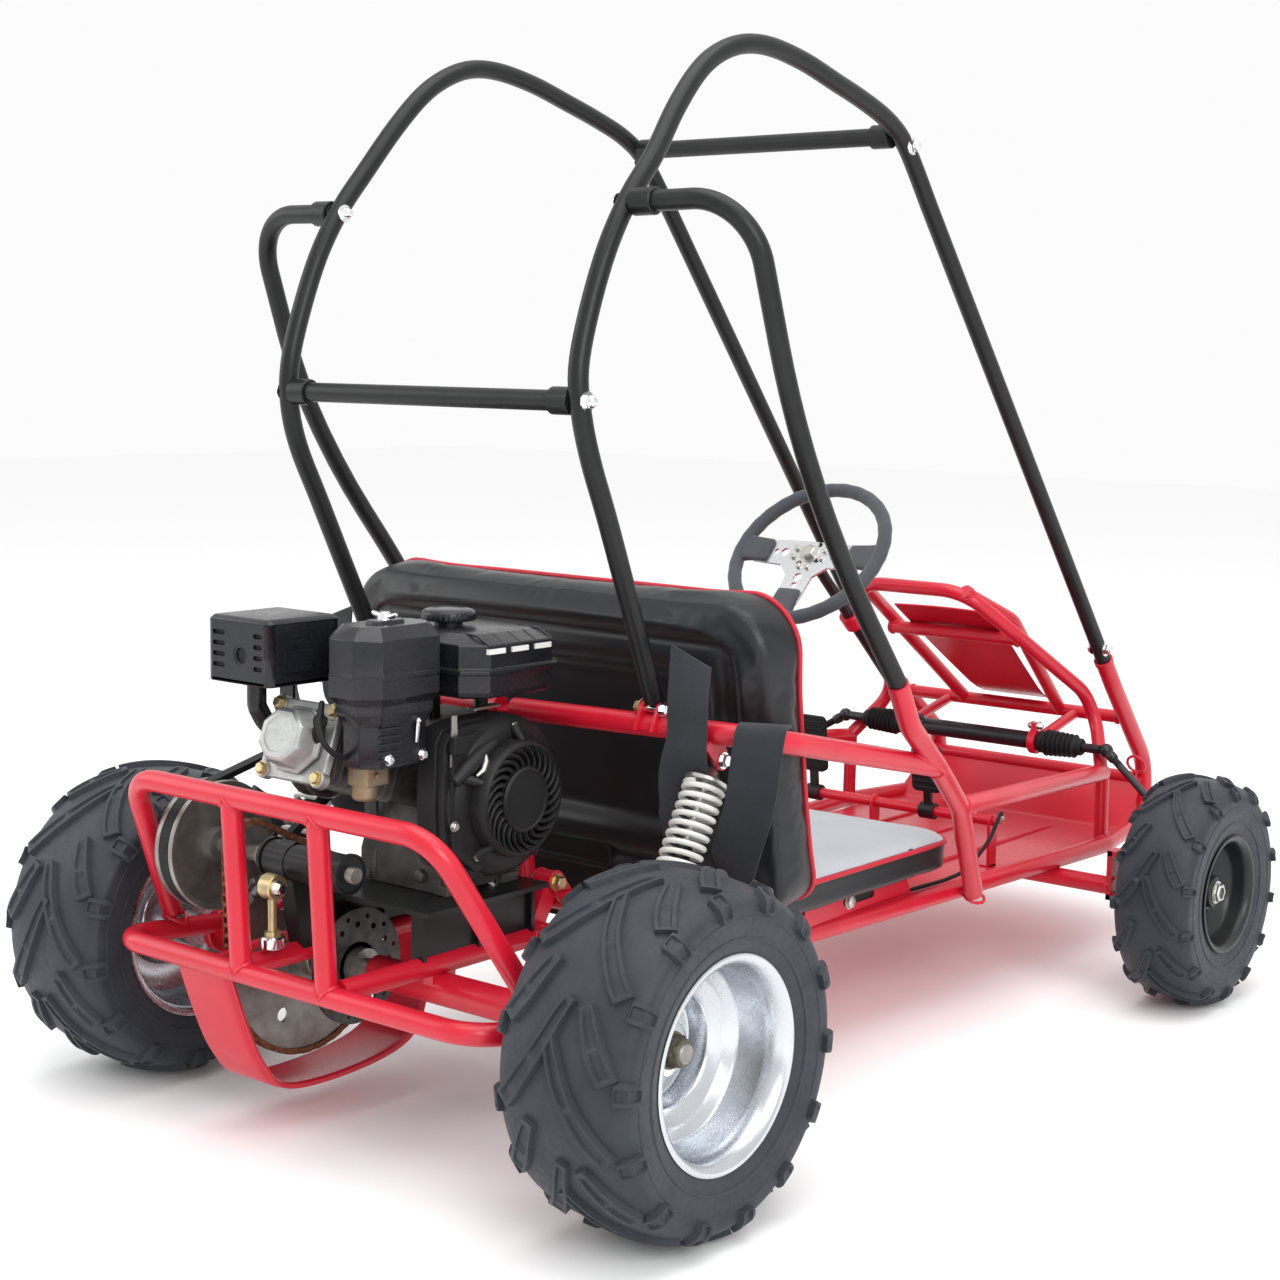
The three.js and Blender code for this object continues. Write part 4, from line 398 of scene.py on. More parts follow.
    def take(self, other: "Form") -> "Form":
        """Adds another form's faces to this one."""
        start = self.count
        self.blocks += other.blocks
        self.count += other.count
        self.faces += [tuple(start + i for i in face) for face in other.faces]
        self.marks += other.marks
        self.lays.update({start + i: lay for i, lay in other.lays.items()})
        return self

    def both(self) -> "Form":
        """This form and its mirror on the other side of the kart."""
        return self.take(self.moved(Matrix.Scale(-1, 4, X)))

    def build(self, name: str, finishes: Sequence["Finish"], body: str, replaces: Sequence[str] = (),
              bevel: float = 0, sharp: float = 38) -> bpy.types.Object:
        """Makes the piece.

        Args:
            name: The piece's name.
            finishes: The finishes, in the order of the marks.
            body: The body that the piece rides on.
            replaces: Solids that the piece stands for.
            bevel: Width in millimetres of the rounding along sharp edges, or none.
            sharp: Angle in degrees from which an edge stays sharp.

        Returns:
            The new object.
        """
        points = np.concatenate(self.blocks) + (0, GROUP_SHIFT, 0)
        mesh = bpy.data.meshes.new(name)
        mesh.from_pydata((points * MILLI).tolist(), [], self.faces)
        mesh.polygons.foreach_set("material_index", self.marks)
        if self.lays:
            layer = mesh.uv_layers.new(name="lay")
            for loop in mesh.loops:
                layer.data[loop.index].uv = self.lays.get(loop.vertex_index, (0, 0))
        work = bmesh.new()
        work.from_mesh(mesh)
        bmesh.ops.remove_doubles(work, verts=work.verts, dist=2e-6)
        bmesh.ops.dissolve_degenerate(work, edges=work.edges, dist=1e-6)
        bmesh.ops.recalc_face_normals(work, faces=work.faces)
        work.to_mesh(mesh)
        work.free()
        for finish in finishes:
            mesh.materials.append(finish.material())
        mesh.shade_smooth()
        mesh.set_sharp_from_angle(angle=math.radians(sharp))
        piece = bpy.data.objects.new(name, mesh)
        bpy.context.scene.collection.objects.link(piece)
        if bevel:
            rounding = piece.modifiers.new("edge rounding", "BEVEL")
            rounding.width = bevel * MILLI
            rounding.segments = 2
            rounding.limit_method = "ANGLE"
            rounding.angle_limit = math.radians(40)
            rounding.harden_normals = False
        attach(piece, body)
        if replaces:
            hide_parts(*replaces)
        LOG.info("%s: %d faces on %s", name, len(mesh.polygons), body)
        return piece


class Recipe:
    """Lays out the nodes of one material."""

    def __init__(self, name: str) -> None:
        """Starts a material with its shader and object coordinates."""
        self.material = bpy.data.materials.new(name)
        self.material.use_nodes = True
        self.tree = self.material.node_tree
        self.shader = self.tree.nodes["Principled BSDF"]
        self.coords = self.node("TexCoord")

    def node(self, kind: str, **settings: object) -> bpy.types.Node:
        """A new shader node with some of its settings."""
        made = self.tree.nodes.new("ShaderNode" + kind)
        for key, value in settings.items():
            setattr(made, key, value)
        return made

    def put(self, target: bpy.types.NodeSocket, value: object) -> None:
        """Links a socket to a socket, or gives it a value."""
        if isinstance(value, bpy.types.NodeSocket):
            self.tree.links.new(value, target)
        else:
            target.default_value = value

    def noise(self, scale: float, detail: float = 3, roughness: float = 0.55) -> bpy.types.NodeSocket:
        """A cloudy value, in lumps of about one over the scale in metres."""
        made = self.node("TexNoise")
        self.put(made.inputs["Vector"], self.coords.outputs["Object"])
        made.inputs["Scale"].default_value = scale
        made.inputs["Detail"].default_value = detail
        made.inputs["Roughness"].default_value = roughness
        return made.outputs["Fac"]

    def cells(self, scale: float, feature: str = "F1") -> bpy.types.NodeSocket:
        """Distance to the nearest of a set of scattered points."""
        made = self.node("TexVoronoi", feature=feature)
        self.put(made.inputs["Vector"], self.coords.outputs["Object"])
        made.inputs["Scale"].default_value = scale
        return made.outputs["Distance"]

    def span(self, value: bpy.types.NodeSocket, source: Pair, target: Pair) -> bpy.types.NodeSocket:
        """Stretches a value from one range to another, and holds it there."""
        made = self.node("MapRange")
        self.put(made.inputs["Value"], value)
        for key, number in zip(("From Min", "From Max", "To Min", "To Max"), (*source, *target)):
            made.inputs[key].default_value = number
        return made.outputs["Result"]

    def math(self, way: str, a: object, b: object = 0.0) -> bpy.types.NodeSocket:
        """A sum, product or other step of two values."""
        made = self.node("Math", operation=way)
        self.put(made.inputs[0], a)
        self.put(made.inputs[1], b)
        return made.outputs[0]

    def mix(self, factor: bpy.types.NodeSocket, a: object, b: object) -> bpy.types.NodeSocket:
        """One colour turning into another."""
        made = self.node("Mix", data_type="RGBA")
        self.put(made.inputs[0], factor)
        self.put(made.inputs[6], a)
        self.put(made.inputs[7], b)
        return made.outputs[2]

    def relief(self, height: bpy.types.NodeSocket, depth: float) -> None:
        """Bumps on the surface, of this depth in metres."""
        made = self.node("Bump")
        made.inputs["Distance"].default_value = depth
        made.inputs["Strength"].default_value = 1.0
        self.put(made.inputs["Height"], height)
        self.put(self.shader.inputs["Normal"], made.outputs["Normal"])


@dataclass(frozen=True)
class Finish:
    """A paint, metal, rubber or fabric, whose upward-facing surfaces lighten in specks: partly dust, partly a
    painted highlight from the light above.
    """

    name: str
    colour: Triple
    shade: Triple
    rough: Pair = (0.3, 0.45)
    metal: float = 0.0
    weave: Weave = Weave.SMOOTH
    grain: float = 900.0
    depth: float = 0.00002
    coat: float = 0.0
    sheen: float = 0.0
    gloss: float = 0.4
    dust_and_top_highlight: float = 0.0
    patch: float = 14.0

    def material(self) -> bpy.types.Material:
        """The finish's material, made at its first use."""
        found = bpy.data.materials.get(self.name)
        if found:
            return found
        recipe = Recipe(self.name)
        shader = recipe.shader.inputs
        cloud = recipe.noise(self.patch, 5)
        fine = recipe.noise(self.grain * 0.35, 4)
        tint = recipe.mix(recipe.span(cloud, (0.35, 0.68), (0.0, 1.0)), (*self.colour, 1), (*self.shade, 1))
        # Painted highlight and dust: upward-facing surfaces lighten in specks towards the dust colour.
        if self.dust_and_top_highlight:
            lit = recipe.node("SeparateXYZ")
            recipe.put(lit.inputs[0], recipe.coords.outputs["Normal"])
            top = recipe.span(lit.outputs["Z"], (0.15, 1.0), (0.0, 1.0))
            specks = recipe.span(recipe.noise(self.patch * 2.5, 8, roughness=0.75), (0.3, 0.9), (0.2, 1.0))
            share = recipe.math("MULTIPLY", recipe.math("MULTIPLY", top, specks), self.dust_and_top_highlight)
            tint = recipe.mix(share, tint, DUST_AND_TOP_HIGHLIGHT)
        recipe.put(shader["Base Color"], tint)
        recipe.put(shader["Roughness"], recipe.span(fine, (0.3, 0.7), self.rough))
        shader["Metallic"].default_value = self.metal
        shader["Coat Weight"].default_value = self.coat
        shader["Coat Roughness"].default_value = 0.15
        shader["Specular IOR Level"].default_value = self.gloss
        if self.sheen:
            shader["Sheen Weight"].default_value = self.sheen
            shader["Sheen Roughness"].default_value = 0.5
        recipe.relief(self.height(recipe), self.depth)
        return recipe.material

    def height(self, recipe: Recipe) -> bpy.types.NodeSocket:
        """The height of the finish's fine surface.

        Args:
            recipe: The material in the making.

        Returns:
            A value that grows with the height.
        """
        if self.weave is Weave.GRAIN:
            creases = recipe.span(recipe.cells(self.grain, "DISTANCE_TO_EDGE"), (0.0, 0.22), (0.0, 1.0))
            return recipe.math("ADD", creases, recipe.noise(self.grain * 0.12, 3))
        if self.weave is Weave.WOVEN:
            lay = recipe.node("UVMap", uv_map="lay").outputs["UV"]
            parts = recipe.node("SeparateXYZ")
            recipe.put(parts.inputs[0], lay)
            turns = 2 * math.pi
            across = recipe.math("SINE", recipe.math("MULTIPLY", parts.outputs["X"], turns * THREADS_ACROSS))
            along = recipe.math("SINE", recipe.math("MULTIPLY", parts.outputs["Y"], turns * THREADS_ALONG))
            return recipe.math("ADD", recipe.math("MULTIPLY", across, along), recipe.noise(1500, 2))
        if self.weave is Weave.CAST:
            return recipe.math("ADD", recipe.noise(self.grain, 6), recipe.cells(self.grain * 0.6))
        if self.weave is Weave.MOULDED:
            return recipe.noise(self.grain, 8, roughness=0.7)
        return recipe.noise(self.grain, 2)


RED = Finish("red powder coat", (0.57, 0.006, 0.026), (0.51, 0.004, 0.02), (0.3, 0.42), coat=0.25, grain=700,
             depth=0.00003, gloss=0.4, dust_and_top_highlight=0.03)
CAGE_BLACK = Finish("black powder coat", (0.006, 0.0065, 0.007), (0.01, 0.0105, 0.011), (0.34, 0.46),
                    coat=0.06, grain=800, depth=0.00003, gloss=0.28, dust_and_top_highlight=0.03)
CHROME = Finish("chrome", (0.86, 0.86, 0.87), (0.8, 0.8, 0.82), (0.08, 0.2), metal=1.0)
ZINC = Finish("zinc plated steel", (0.62, 0.61, 0.58), (0.5, 0.49, 0.45), (0.28, 0.45), metal=1.0)
BRASS = Finish("yellow zinc plate", (0.62, 0.5, 0.26), (0.48, 0.4, 0.24), (0.3, 0.5), metal=1.0, patch=60)
STEEL = Finish("bare steel", (0.36, 0.35, 0.33), (0.24, 0.22, 0.2), (0.35, 0.55), metal=0.9, weave=Weave.CAST,
               grain=500, depth=0.00003, patch=40)
RUST = Finish("rusty chain steel", (0.16, 0.055, 0.024), (0.26, 0.12, 0.06), (0.6, 0.85), metal=0.45,
              weave=Weave.CAST, grain=900, depth=0.00008, patch=160)
BLACK_RUBBER = Finish("black rubber", (0.008, 0.008, 0.009), (0.014, 0.014, 0.015), (0.5, 0.68),
                      weave=Weave.MOULDED, grain=600, depth=0.00005, gloss=0.22, dust_and_top_highlight=0.06)
BLACK_PLASTIC = Finish("black enamel", (0.006, 0.0065, 0.009), (0.010, 0.0105, 0.014), (0.24, 0.38),
                       coat=0.12, weave=Weave.MOULDED, grain=500, depth=0.00003, gloss=0.35, dust_and_top_highlight=0.08)
SATIN_BLACK = Finish("satin black moulding", (0.008, 0.008, 0.009), (0.014, 0.014, 0.015), (0.42, 0.58),
                     weave=Weave.MOULDED, grain=700, depth=0.00006, gloss=0.28, dust_and_top_highlight=0.08)
CAST = Finish("cast aluminium", (0.5, 0.51, 0.5), (0.4, 0.405, 0.4), (0.38, 0.55), metal=0.85,
              weave=Weave.CAST, grain=620, depth=0.00012, patch=40)
DARK_CAST = Finish("grimy cast aluminium", (0.09, 0.088, 0.085), (0.16, 0.155, 0.145), (0.45, 0.65),
                   metal=0.6, weave=Weave.CAST, grain=560, depth=0.00015, patch=30)
BROWN_CAST = Finish("heat browned casting", (0.3, 0.2, 0.12), (0.42, 0.34, 0.24), (0.4, 0.6), metal=0.7,
                    weave=Weave.CAST, grain=560, depth=0.00012, patch=40)
GREY_VINYL = Finish("silver grey vinyl", (0.43, 0.46, 0.49), (0.39, 0.42, 0.45), (0.4, 0.55),
                    weave=Weave.GRAIN, grain=620, depth=0.00012, sheen=0.1, dust_and_top_highlight=0.1)
BLACK_VINYL = Finish("satin black vinyl", (0.008, 0.0085, 0.010), (0.011, 0.012, 0.014), (0.29, 0.4),
                     weave=Weave.GRAIN, grain=620, depth=0.00003, gloss=0.4, sheen=0.02, dust_and_top_highlight=0.0)
RED_PIPING = Finish("red piping vinyl", (0.52, 0.012, 0.03), (0.45, 0.01, 0.025), (0.35, 0.5),
                    weave=Weave.GRAIN, grain=800, depth=0.00008)
BLACK_THREAD = Finish("black thread", (0.02, 0.02, 0.022), (0.035, 0.035, 0.037), (0.6, 0.8))
WEBBING = Finish("belt webbing", (0.022, 0.026, 0.033), (0.032, 0.037, 0.045), (0.55, 0.75),
                 weave=Weave.WOVEN, depth=0.00025, gloss=0.2, sheen=0.12, dust_and_top_highlight=0.03)
WHITE_PAINT = Finish("white spring paint", (0.74, 0.74, 0.71), (0.64, 0.63, 0.59), (0.3, 0.45), coat=0.2,
                     dust_and_top_highlight=0.08)
FOAM = Finish("grey wheel foam", (0.035, 0.04, 0.048), (0.05, 0.055, 0.063), (0.6, 0.8), weave=Weave.MOULDED,
              grain=900, depth=0.00015, sheen=0.2)
HUB_PLATE = Finish("brushed hub plate", (0.72, 0.73, 0.74), (0.66, 0.66, 0.67), (0.22, 0.38), metal=1.0,
                   grain=1200, depth=0.00001)
TYRE = Finish("tyre rubber", (0.020, 0.025, 0.033), (0.028, 0.034, 0.043), (0.46, 0.66), weave=Weave.MOULDED,
              grain=420, depth=0.0001, gloss=0.3, sheen=0.05, dust_and_top_highlight=0.07, patch=26)
POLISHED = Finish("polished aluminium", (0.62, 0.64, 0.67), (0.55, 0.57, 0.60), (0.20, 0.30), metal=1.0)
BLACK_RIM = Finish("black rim paint", (0.008, 0.009, 0.010), (0.014, 0.015, 0.017), (0.3, 0.45), coat=0.12,
                   gloss=0.35, dust_and_top_highlight=0.08)
DARK_STEEL = Finish("darkened disc steel", (0.05, 0.05, 0.052), (0.09, 0.088, 0.085), (0.36, 0.52), metal=0.9,
                    patch=60)
DARK_BRASS = Finish("dulled hub nut plate", (0.2, 0.18, 0.12), (0.1, 0.095, 0.075), (0.35, 0.6), metal=0.9,
                    patch=120)


@dataclass
class FrameTubes:
    """Lower rails, side tubes, upper rails and the cross tubes that join them, in gloss red."""

    tube: float = 14
    post: float = 11
    rail: tuple[Triple, ...] = ((198.9, 224.6, 272.3), (204.1, 430.0, 178.5), (253.9, 1354.7, 178.5),
                                (206.2, 1590.1, 178.5), (201.1, 1590.1, 278.9), (225.6, 1412.7, 430.0),
                                (226.0, 1373.9, 475.9))
    side: tuple[Triple, ...] = ((402.0, 476.0, 550.0), (396.0, 518.0, 490.1), (371.9, 628.1, 420.4),
                                (333.1, 756.6, 342.4), (258.2, 932.0, 178.5))
    branch: tuple[Triple, ...] = ((333.1, 756.6, 342.4), (242.0, 1358.3, 294.8))
    foot: tuple[Triple, ...] = ((243.2, 1359.5, 178.5), (242.0, 1358.3, 294.8))
    upper: tuple[Triple, ...] = ((12, 203.0, 505.0), (388.1, 213.8, 511.6), (371.9, 628.1, 420.4))
    slide_out: float = 219
    shock_top: Triple = (308, 226, 476)
    hoop_foot: Triple = (230.9, 206.6, 540.7)
    hoop_bolt: Pair = (206.6, 529)
    pivot: Triple = (0, 215, 290)
    cross: Triple = (0, 240, 262)
    pivot_out: float = 60
    slide_ends: Pair = (545, 822)
    slide_level: float = 208
    slide_middle: float = 685
    slide_half: float = 33.5
    beam: Triple = (0, 1201, 152.97)
    beam_half: float = 346
    yokes: tuple[Pair, ...] = ((133.7, 141.7), (202.3, 210.3))
    king_out: float = 385

    def lower_frame(self) -> Form:
        """One lower frame side with its seat slide plate."""
        form = Form()
        rail, side = route(self.rail), route(self.side)
        form.tube(rail, self.tube)
        form.tube(side, self.tube)
        form.tube(route(self.branch), self.tube - 0.6)
        form.tube(route(self.foot), self.post)
        form.lathe([(self.tube + 1.6, 0), (self.tube + 1.6, 7), (self.tube, 8), (self.tube - 4, 8)],
                   rail[-1] - (rail[-1] - rail[-2]).normalized() * 8, rail[-1] - rail[-2], 24)
        form.weld(side[-2], side[-1] - side[-2], self.tube, rail[1], rail[2] - rail[1], self.tube)
        branch = route(self.branch)
        form.weld(branch[1], branch[0] - branch[1], self.tube, side[3], side[3] - side[2], self.tube)
        form.weld(branch[0], branch[1] - branch[0], self.tube, rail[-1],
                  rail[-2] - rail[-1] + Vector((0, 0, -1)), 1)
        foot = route(self.foot)
        form.weld(foot[1], foot[0] - foot[1], self.post, rail[2], rail[2] - rail[1], self.tube)
        self.slide_plate(form)
        return form

    def slide_plate(self, form: Form) -> None:
        """The slotted plate on the rail, in which the seat slides."""
        level = self.rail[1][2] + self.tube * 0.5
        rear, front = self.slide_ends
        outline = [(rear, level), (front, level), (front - 16, 221), (rear + 13, 221)]
        middle, half, tall = self.slide_middle, self.slide_half, 5.5
        slot = [(middle - half + a, self.slide_level + b) for a, b in circle(tall, 16) if a <= 0.01]
        other = [(middle + half + a, self.slide_level + b) for a, b in circle(tall, 16) if a >= -0.01]
        slot = sorted(slot, key=lambda p: -p[1]) + sorted(other, key=lambda p: p[1])
        form.side_plate(outline, self.slide_out - 1.3, self.slide_out + 1.3, [slot])
        ledge = [(rear, level), (front, level), (front, level + 3), (rear, level + 3)]
        form.side_plate(ledge, self.slide_out - 12, self.slide_out + 1)

    def clevis(self, form: Form, eye: Vector, reach: Vector) -> None:
        """Two ears, with round ends, that carry an eye.

        Args:
            form: The form that takes the faces.
            eye: The middle of the eye.
            reach: From the eye to what carries the ears.
        """
        gap, wide = 9, 12
        way = Vector((0, reach.y, reach.z)).normalized()
        side = Vector((0, -way.z, way.y))
        arc = [eye + side * (wide * math.cos(a)) - way * (wide * math.sin(a))
               for a in [math.pi * k / 10 for k in range(11)]]
        flat = [(-p.y, p.z) for p in [*arc, eye + reach - side * wide * 1.3, eye + reach + side * wide * 1.3]]
        for face in (-1, 1):
            start = eye.x + face * gap
            form.side_plate(flat, min(start, start + face * 5), max(start, start + face * 5))

    def upper_rail(self) -> Form:
        """One upper rail with the shock's upper ears and the hoop's tabs."""
        form = Form()
        upper, side = route(self.upper), route(self.side)
        form.tube(upper, self.tube)
        form.weld(upper[1], upper[2] - upper[1], self.tube, side[2], side[1] - side[2], self.tube)
        eye = at(*self.shock_top)
        self.clevis(form, eye, Vector((0, upper[0].y - eye.y, upper[0].z - eye.z)))
        foot = at(*self.hoop_foot)
        top = self.upper[0][2]
        ahead, up = self.hoop_bolt
        crown = [(ahead + a, up + b) for a, b in circle(9, 16) if b > 0.1]
        outline = [(203 - 17, top), (203 + 17, top), *crown]
        for start in (foot.x - 15, foot.x + 10):
            form.side_plate(outline, start, start + 5)
        return form

    def fixings(self) -> Form:
        """Bolts of the shock ears and the hoop tabs: yellow zinc nuts are marked 1."""
        form = Form()
        eye, foot = at(*self.shock_top), at(self.hoop_foot[0], *self.hoop_bolt)
        form.bar(eye - X * 20, eye + X * 20, 4.5, 12)
        form.bolt(eye + X * 14, X, 8, 6)
        form.acorn(eye - X * 14, -X, 7.5)
        form.bar(foot - X * 22, foot + X * 22, 4.5, 12)
        form.acorn(foot + X * 15, X, 8)
        form.bolt(foot - X * 15, -X, 9, 9, 1)
        return form

    def rear(self) -> Form:
        """Rear cross tube, rear post and the swing unit's pivot ears."""
        form = Form()
        cross = at(*self.cross)
        rail = route(self.rail)
        form.bar(cross - X * 192, cross + X * 192, self.tube, 22)
        for side in (-1, 1):
            end = Vector((side * rail[0].x, rail[0].y, rail[0].z))
            form.weld(cross + X * (side * 150), X * side, self.tube, end, Vector((0, -1, -0.45)), self.tube)
        square = rounded(12, 12, 4, 4)
        form.plate(square, cross, X, Y, 0.1)
        high = at(0, *self.upper[0][1:])
        v = (high - cross).normalized().cross(X)
        rows = [[p + X * a + v * b for a, b in square] for p in (cross, high)]
        form.skin(rows, caps=True)
        foot, level = self.cross[1:]
        bore, up = self.pivot[1:]
        crown = [(bore + a, up + b) for a, b in circle(15, 20) if b > -3]
        ear = [(foot + 15, level), (foot - 15, level), *crown]
        for side in (-1, 1):
            for face in (-1, 1):
                start = side * self.pivot_out + face * 9.3
                form.side_plate(hull(ear), min(start, start + face * 5), max(start, start + face * 5))
        return form

    def rear_fixings(self) -> Form:
        """Pivot bolts with their nuts."""
        form = Form()
        pivot = at(*self.pivot)
        for side in (-1, 1):
            middle = pivot + X * (side * self.pivot_out)
            form.bar(middle - X * 24, middle + X * 24, 6, 14)
            form.bolt(middle + X * 14.4, X, 9, 7)
            form.bolt(middle - X * 14.4, -X, 9, 9, 1)
        return form

    def axle_beam(self) -> Form:
        """Front axle beam with a yoke at each end."""
        form = Form()
        beam = at(*self.beam)
        form.bar(beam - X * self.beam_half, beam + X * self.beam_half, self.tube, 22)
        half = Form()
        king, ahead, inner = self.king_out, self.beam[1], 342
        for low, high in self.yokes:
            nose = [(king + a, b) for a, b in circle(self.tube, 24) if a > 0.1]
            outline = [(inner, -self.tube), (king, -self.tube), *nose, (king, self.tube), (inner, self.tube)]
            half.plate(hull(outline), at(0, ahead, low), X, Y, high - low)
        half.block(at(inner, ahead - self.tube, self.yokes[0][0]),
                   at(inner + 8, ahead + self.tube, self.yokes[1][1]))
        half.weld(beam + X * 320, X, self.tube, at(inner + 8, ahead, 153), Y, 8)
        return form.take(half.both())

    def beam_fixings(self) -> Form:
        """Kingpins with their heads and nuts."""
        half = Form()
        king = at(self.king_out, self.beam[1], 0)
        half.bar(king + Z * 126, king + Z * 216, 6, 16)
        half.bolt(king + Z * 210.4, Z, 10, 7)
        half.bolt(king + Z * 133.6, -Z, 10, 8)
        return half.both()

    def make(self) -> None:
        """Builds all the pieces of the lower frame."""
        self.lower_frame().both().build("lower_frame_tubes", [RED], "frame",
                                        ["lower_frame_left", "lower_frame_right"])
        self.upper_rail().both().build("upper_rail_tubes", [RED], "frame",
                                       ["upper_rail_left", "upper_rail_right"])
        self.fixings().both().build("upper_rail_bolts", [CHROME, BRASS], "frame")
        self.rear().build("rear_frame_tubes", [RED], "frame", ["rear_frame"])
        self.rear_fixings().build("pivot_bolts", [ZINC, BRASS], "frame")
        self.axle_beam().build("axle_beam", [RED], "frame", ["front_axle_beam"], bevel=0.8)
        self.beam_fixings().build("kingpins", [ZINC], "frame")


@dataclass
class FloorAndNose:
    """Floor sheet, pedal bar, nose hoop, rack clamps, column bracket and nose shield."""

    level: float = 171.47
    floor_rear: float = 520
    wall_foot: float = 1490
    front_tube: Triple = (0, 1568, 250)
    pedal_bar: Triple = (0, 1110, 245)
    hoop: tuple[Triple, ...] = ((239.8, 1357.1, 300.1), (199.8, 1412.4, 364.9), (187.0, 1392.0, 415.1),
                                (150.8, 1223.8, 520.9), (95.0, 1150.6, 590.3))
    slope: tuple[Triple, ...] = ((95.9, 1150.6, 590.3), (121.8, 1262.3, 539.4), (92.0, 1490.4, 364.9))
    low_bar: Triple = (0, 1490, 365)
    middle_bar: Triple = (0, 1288, 505)
    rack: Triple = (0, 1352, 332)
    clamp_out: float = 122
    wheel: Triple = (100, 1009, 643)
    column_foot: Triple = (100, 1352, 332)

    def floor(self) -> Form:
        """Folded floor sheet with pressed ribs."""
        form = Form()
        line = bent([at(0, self.floor_rear, self.level), at(0, self.wall_foot, self.level),
                     at(0, self.front_tube[1], self.front_tube[2])], 18, math.radians(15))
        edges = ((430.0, 204.1), (1354.7, 253.9), (1590.1, 206.2))
        rows = []
        for lift in (0, 2.5):
            for point in (line if not lift else line[::-1]):
                ahead = -point.y
                half = float(np.interp(ahead, [e[0] for e in edges], [e[1] for e in edges]))
                rows.append([Vector((half * s, point.y, point.z + lift))
                             for s in (-1, -0.34, -0.3, 0.3, 0.34, 1)])
        form.skin(rows, loop=True, wrap=False)
        for side in (-0.6, 0, 0.6):
            ribs = [at(side * 190, a, self.level + 2.6) for a in np.linspace(600, 1440, 12)]
            form.sweep(ribs, [1.0, *[5.0] * 10, 1.0], 12, section=[(a, b * 0.45) for a, b in circle(1, 12)])
        return form

    def bars(self) -> Form:
        """Front cross tube, pedal bar and its stays."""
        form = Form()
        front, bar = at(*self.front_tube), at(*self.pedal_bar)
        form.bar(front - X * 196, front + X * 196, 11)
        form.bar(bar - X * 195, bar + X * 195, 8)
        for side in (-1, 1):
            form.weld(front + X * (side * 160), X * side, 11, at(side * 203, 1590, 250), Z, 16, 2)
        for out in (-185, 30, 185):
            outline = [(1100, self.level + 2), (1120, self.level + 2), (1120, 245), (1100, 245)]
            arc = [(1110 + a, 245 + b) for a, b in circle(12, 20) if b > 0]
            form.side_plate(hull([*outline, *arc]), out - 2.5, out + 2.5)
            form.block(at(out - 2.5, 1099, self.level + 2.5), at(out + 20, 1121, self.level + 5))
        return form

    def nose(self) -> Form:
        """Nose hoop with its sloping bars, rack clamps and column bracket."""
        form = Form()
        half = route(self.hoop)
        form.tube([*half, *flipped(half)[::-1]], 11)
        arm = Form()
        slope = route(self.slope)
        arm.tube(slope, 10.4)
        arm.weld(slope[1], slope[0] - slope[1], 10.4, half[4], X, 11, 2)
        clamp = at(self.clamp_out, self.rack[1], self.rack[2])
        arm.lathe([(14.4, -6), (20, -6), (21, -5), (21, 5), (20, 6), (14.4, 6)], clamp, X, 36, loop=True)
        stay_foot = at(self.clamp_out, 1486, 362)
        way = (clamp - stay_foot).normalized()
        arm.bar(stay_foot, clamp - way * 17, 8.5)
        arm.block(clamp + Vector((-5, -6, 18)), clamp + Vector((5, 6, 30)))
        form.take(arm.both())
        low, middle = at(*self.low_bar), at(*self.middle_bar)
        form.bar(low - X * 205, low + X * 205, 10.7)
        form.bar(middle - X * 123, middle + X * 123, 10.7)
        for side in (-1, 1):
            form.weld(low + X * (side * 170), X * side, 10.7, at(side * 199.8, 1412.4, 364.9),
                      Vector((0, 1, 0.3)), 1)
            form.weld(middle + X * (side * 90), X * side, 10.7, at(side * 118, 1288, 520),
                      Vector((0, -1, -0.8)), 10.4)
        self.column_bracket(form)
        return form

    def column_bracket(self, form: Form) -> None:
        """The collar round the steering column and the plate that holds it."""
        wheel, foot = at(*self.wheel), at(*self.column_foot)
        along = (foot - wheel).normalized()
        collar = wheel.lerp(foot, 0.36)
        form.lathe([(9.6, -14), (15, -14), (16, -13), (16, 13), (15, 14), (9.6, 14)], collar, along, 36,
                   loop=True)
        hoop = self.hoop[-1]
        for start in (91, 106):
            form.side_plate([(hoop[1] - 4, hoop[2] - 6), (-collar.y + 14, collar.z + 15),
                             (-collar.y + 13, collar.z + 2), (-collar.y + 22, collar.z + 2),
                             (hoop[1] + 11, hoop[2])], start, start + 3)

    def fixings(self) -> Form:
        """Clamp bolts with their nuts."""
        form = Form()
        clamp = at(self.clamp_out, self.rack[1], self.rack[2])
        form.bar(clamp + Vector((-14, 0, 25)), clamp + Vector((14, 0, 25)), 3.5, 12)
        form.acorn(clamp + Vector((5, 0, 25)), X, 6)
        form.bolt(clamp + Vector((-5, 0, 25)), -X, 6, 5)
        return form.both()

    def shield(self) -> Form:
        """Thin curved nose shield with a rolled lower lip."""
        form = Form()
        low, middle = at(*self.low_bar), at(*self.middle_bar)
        slope = (middle - low).normalized()
        face = X.cross(slope)
        if face.z < 0:
            face = -face
        start = low + face * 11.4
        length = (middle - low).length + 58
        rows = []
        for lift in (0.0, 2.2):
            order = range(15) if not lift else range(14, -1, -1)
            for k in order:
                share = k / 14
                curl = max(0.0, 0.16 - share) / 0.16
                along = share * length
                half = 62 + (92 - 62) * share
                rise = face * (lift + 7 * curl * curl - 2.0 * math.sin(math.pi * share))
                middle = start + slope * along
                rows.append([middle + X * (half * s) + rise + face * (2.5 * (1 - s * s) * (1 - curl))
                             for s in np.linspace(-1, 1, 13)])
        form.skin(rows, wrap=False, loop=True)
        return form

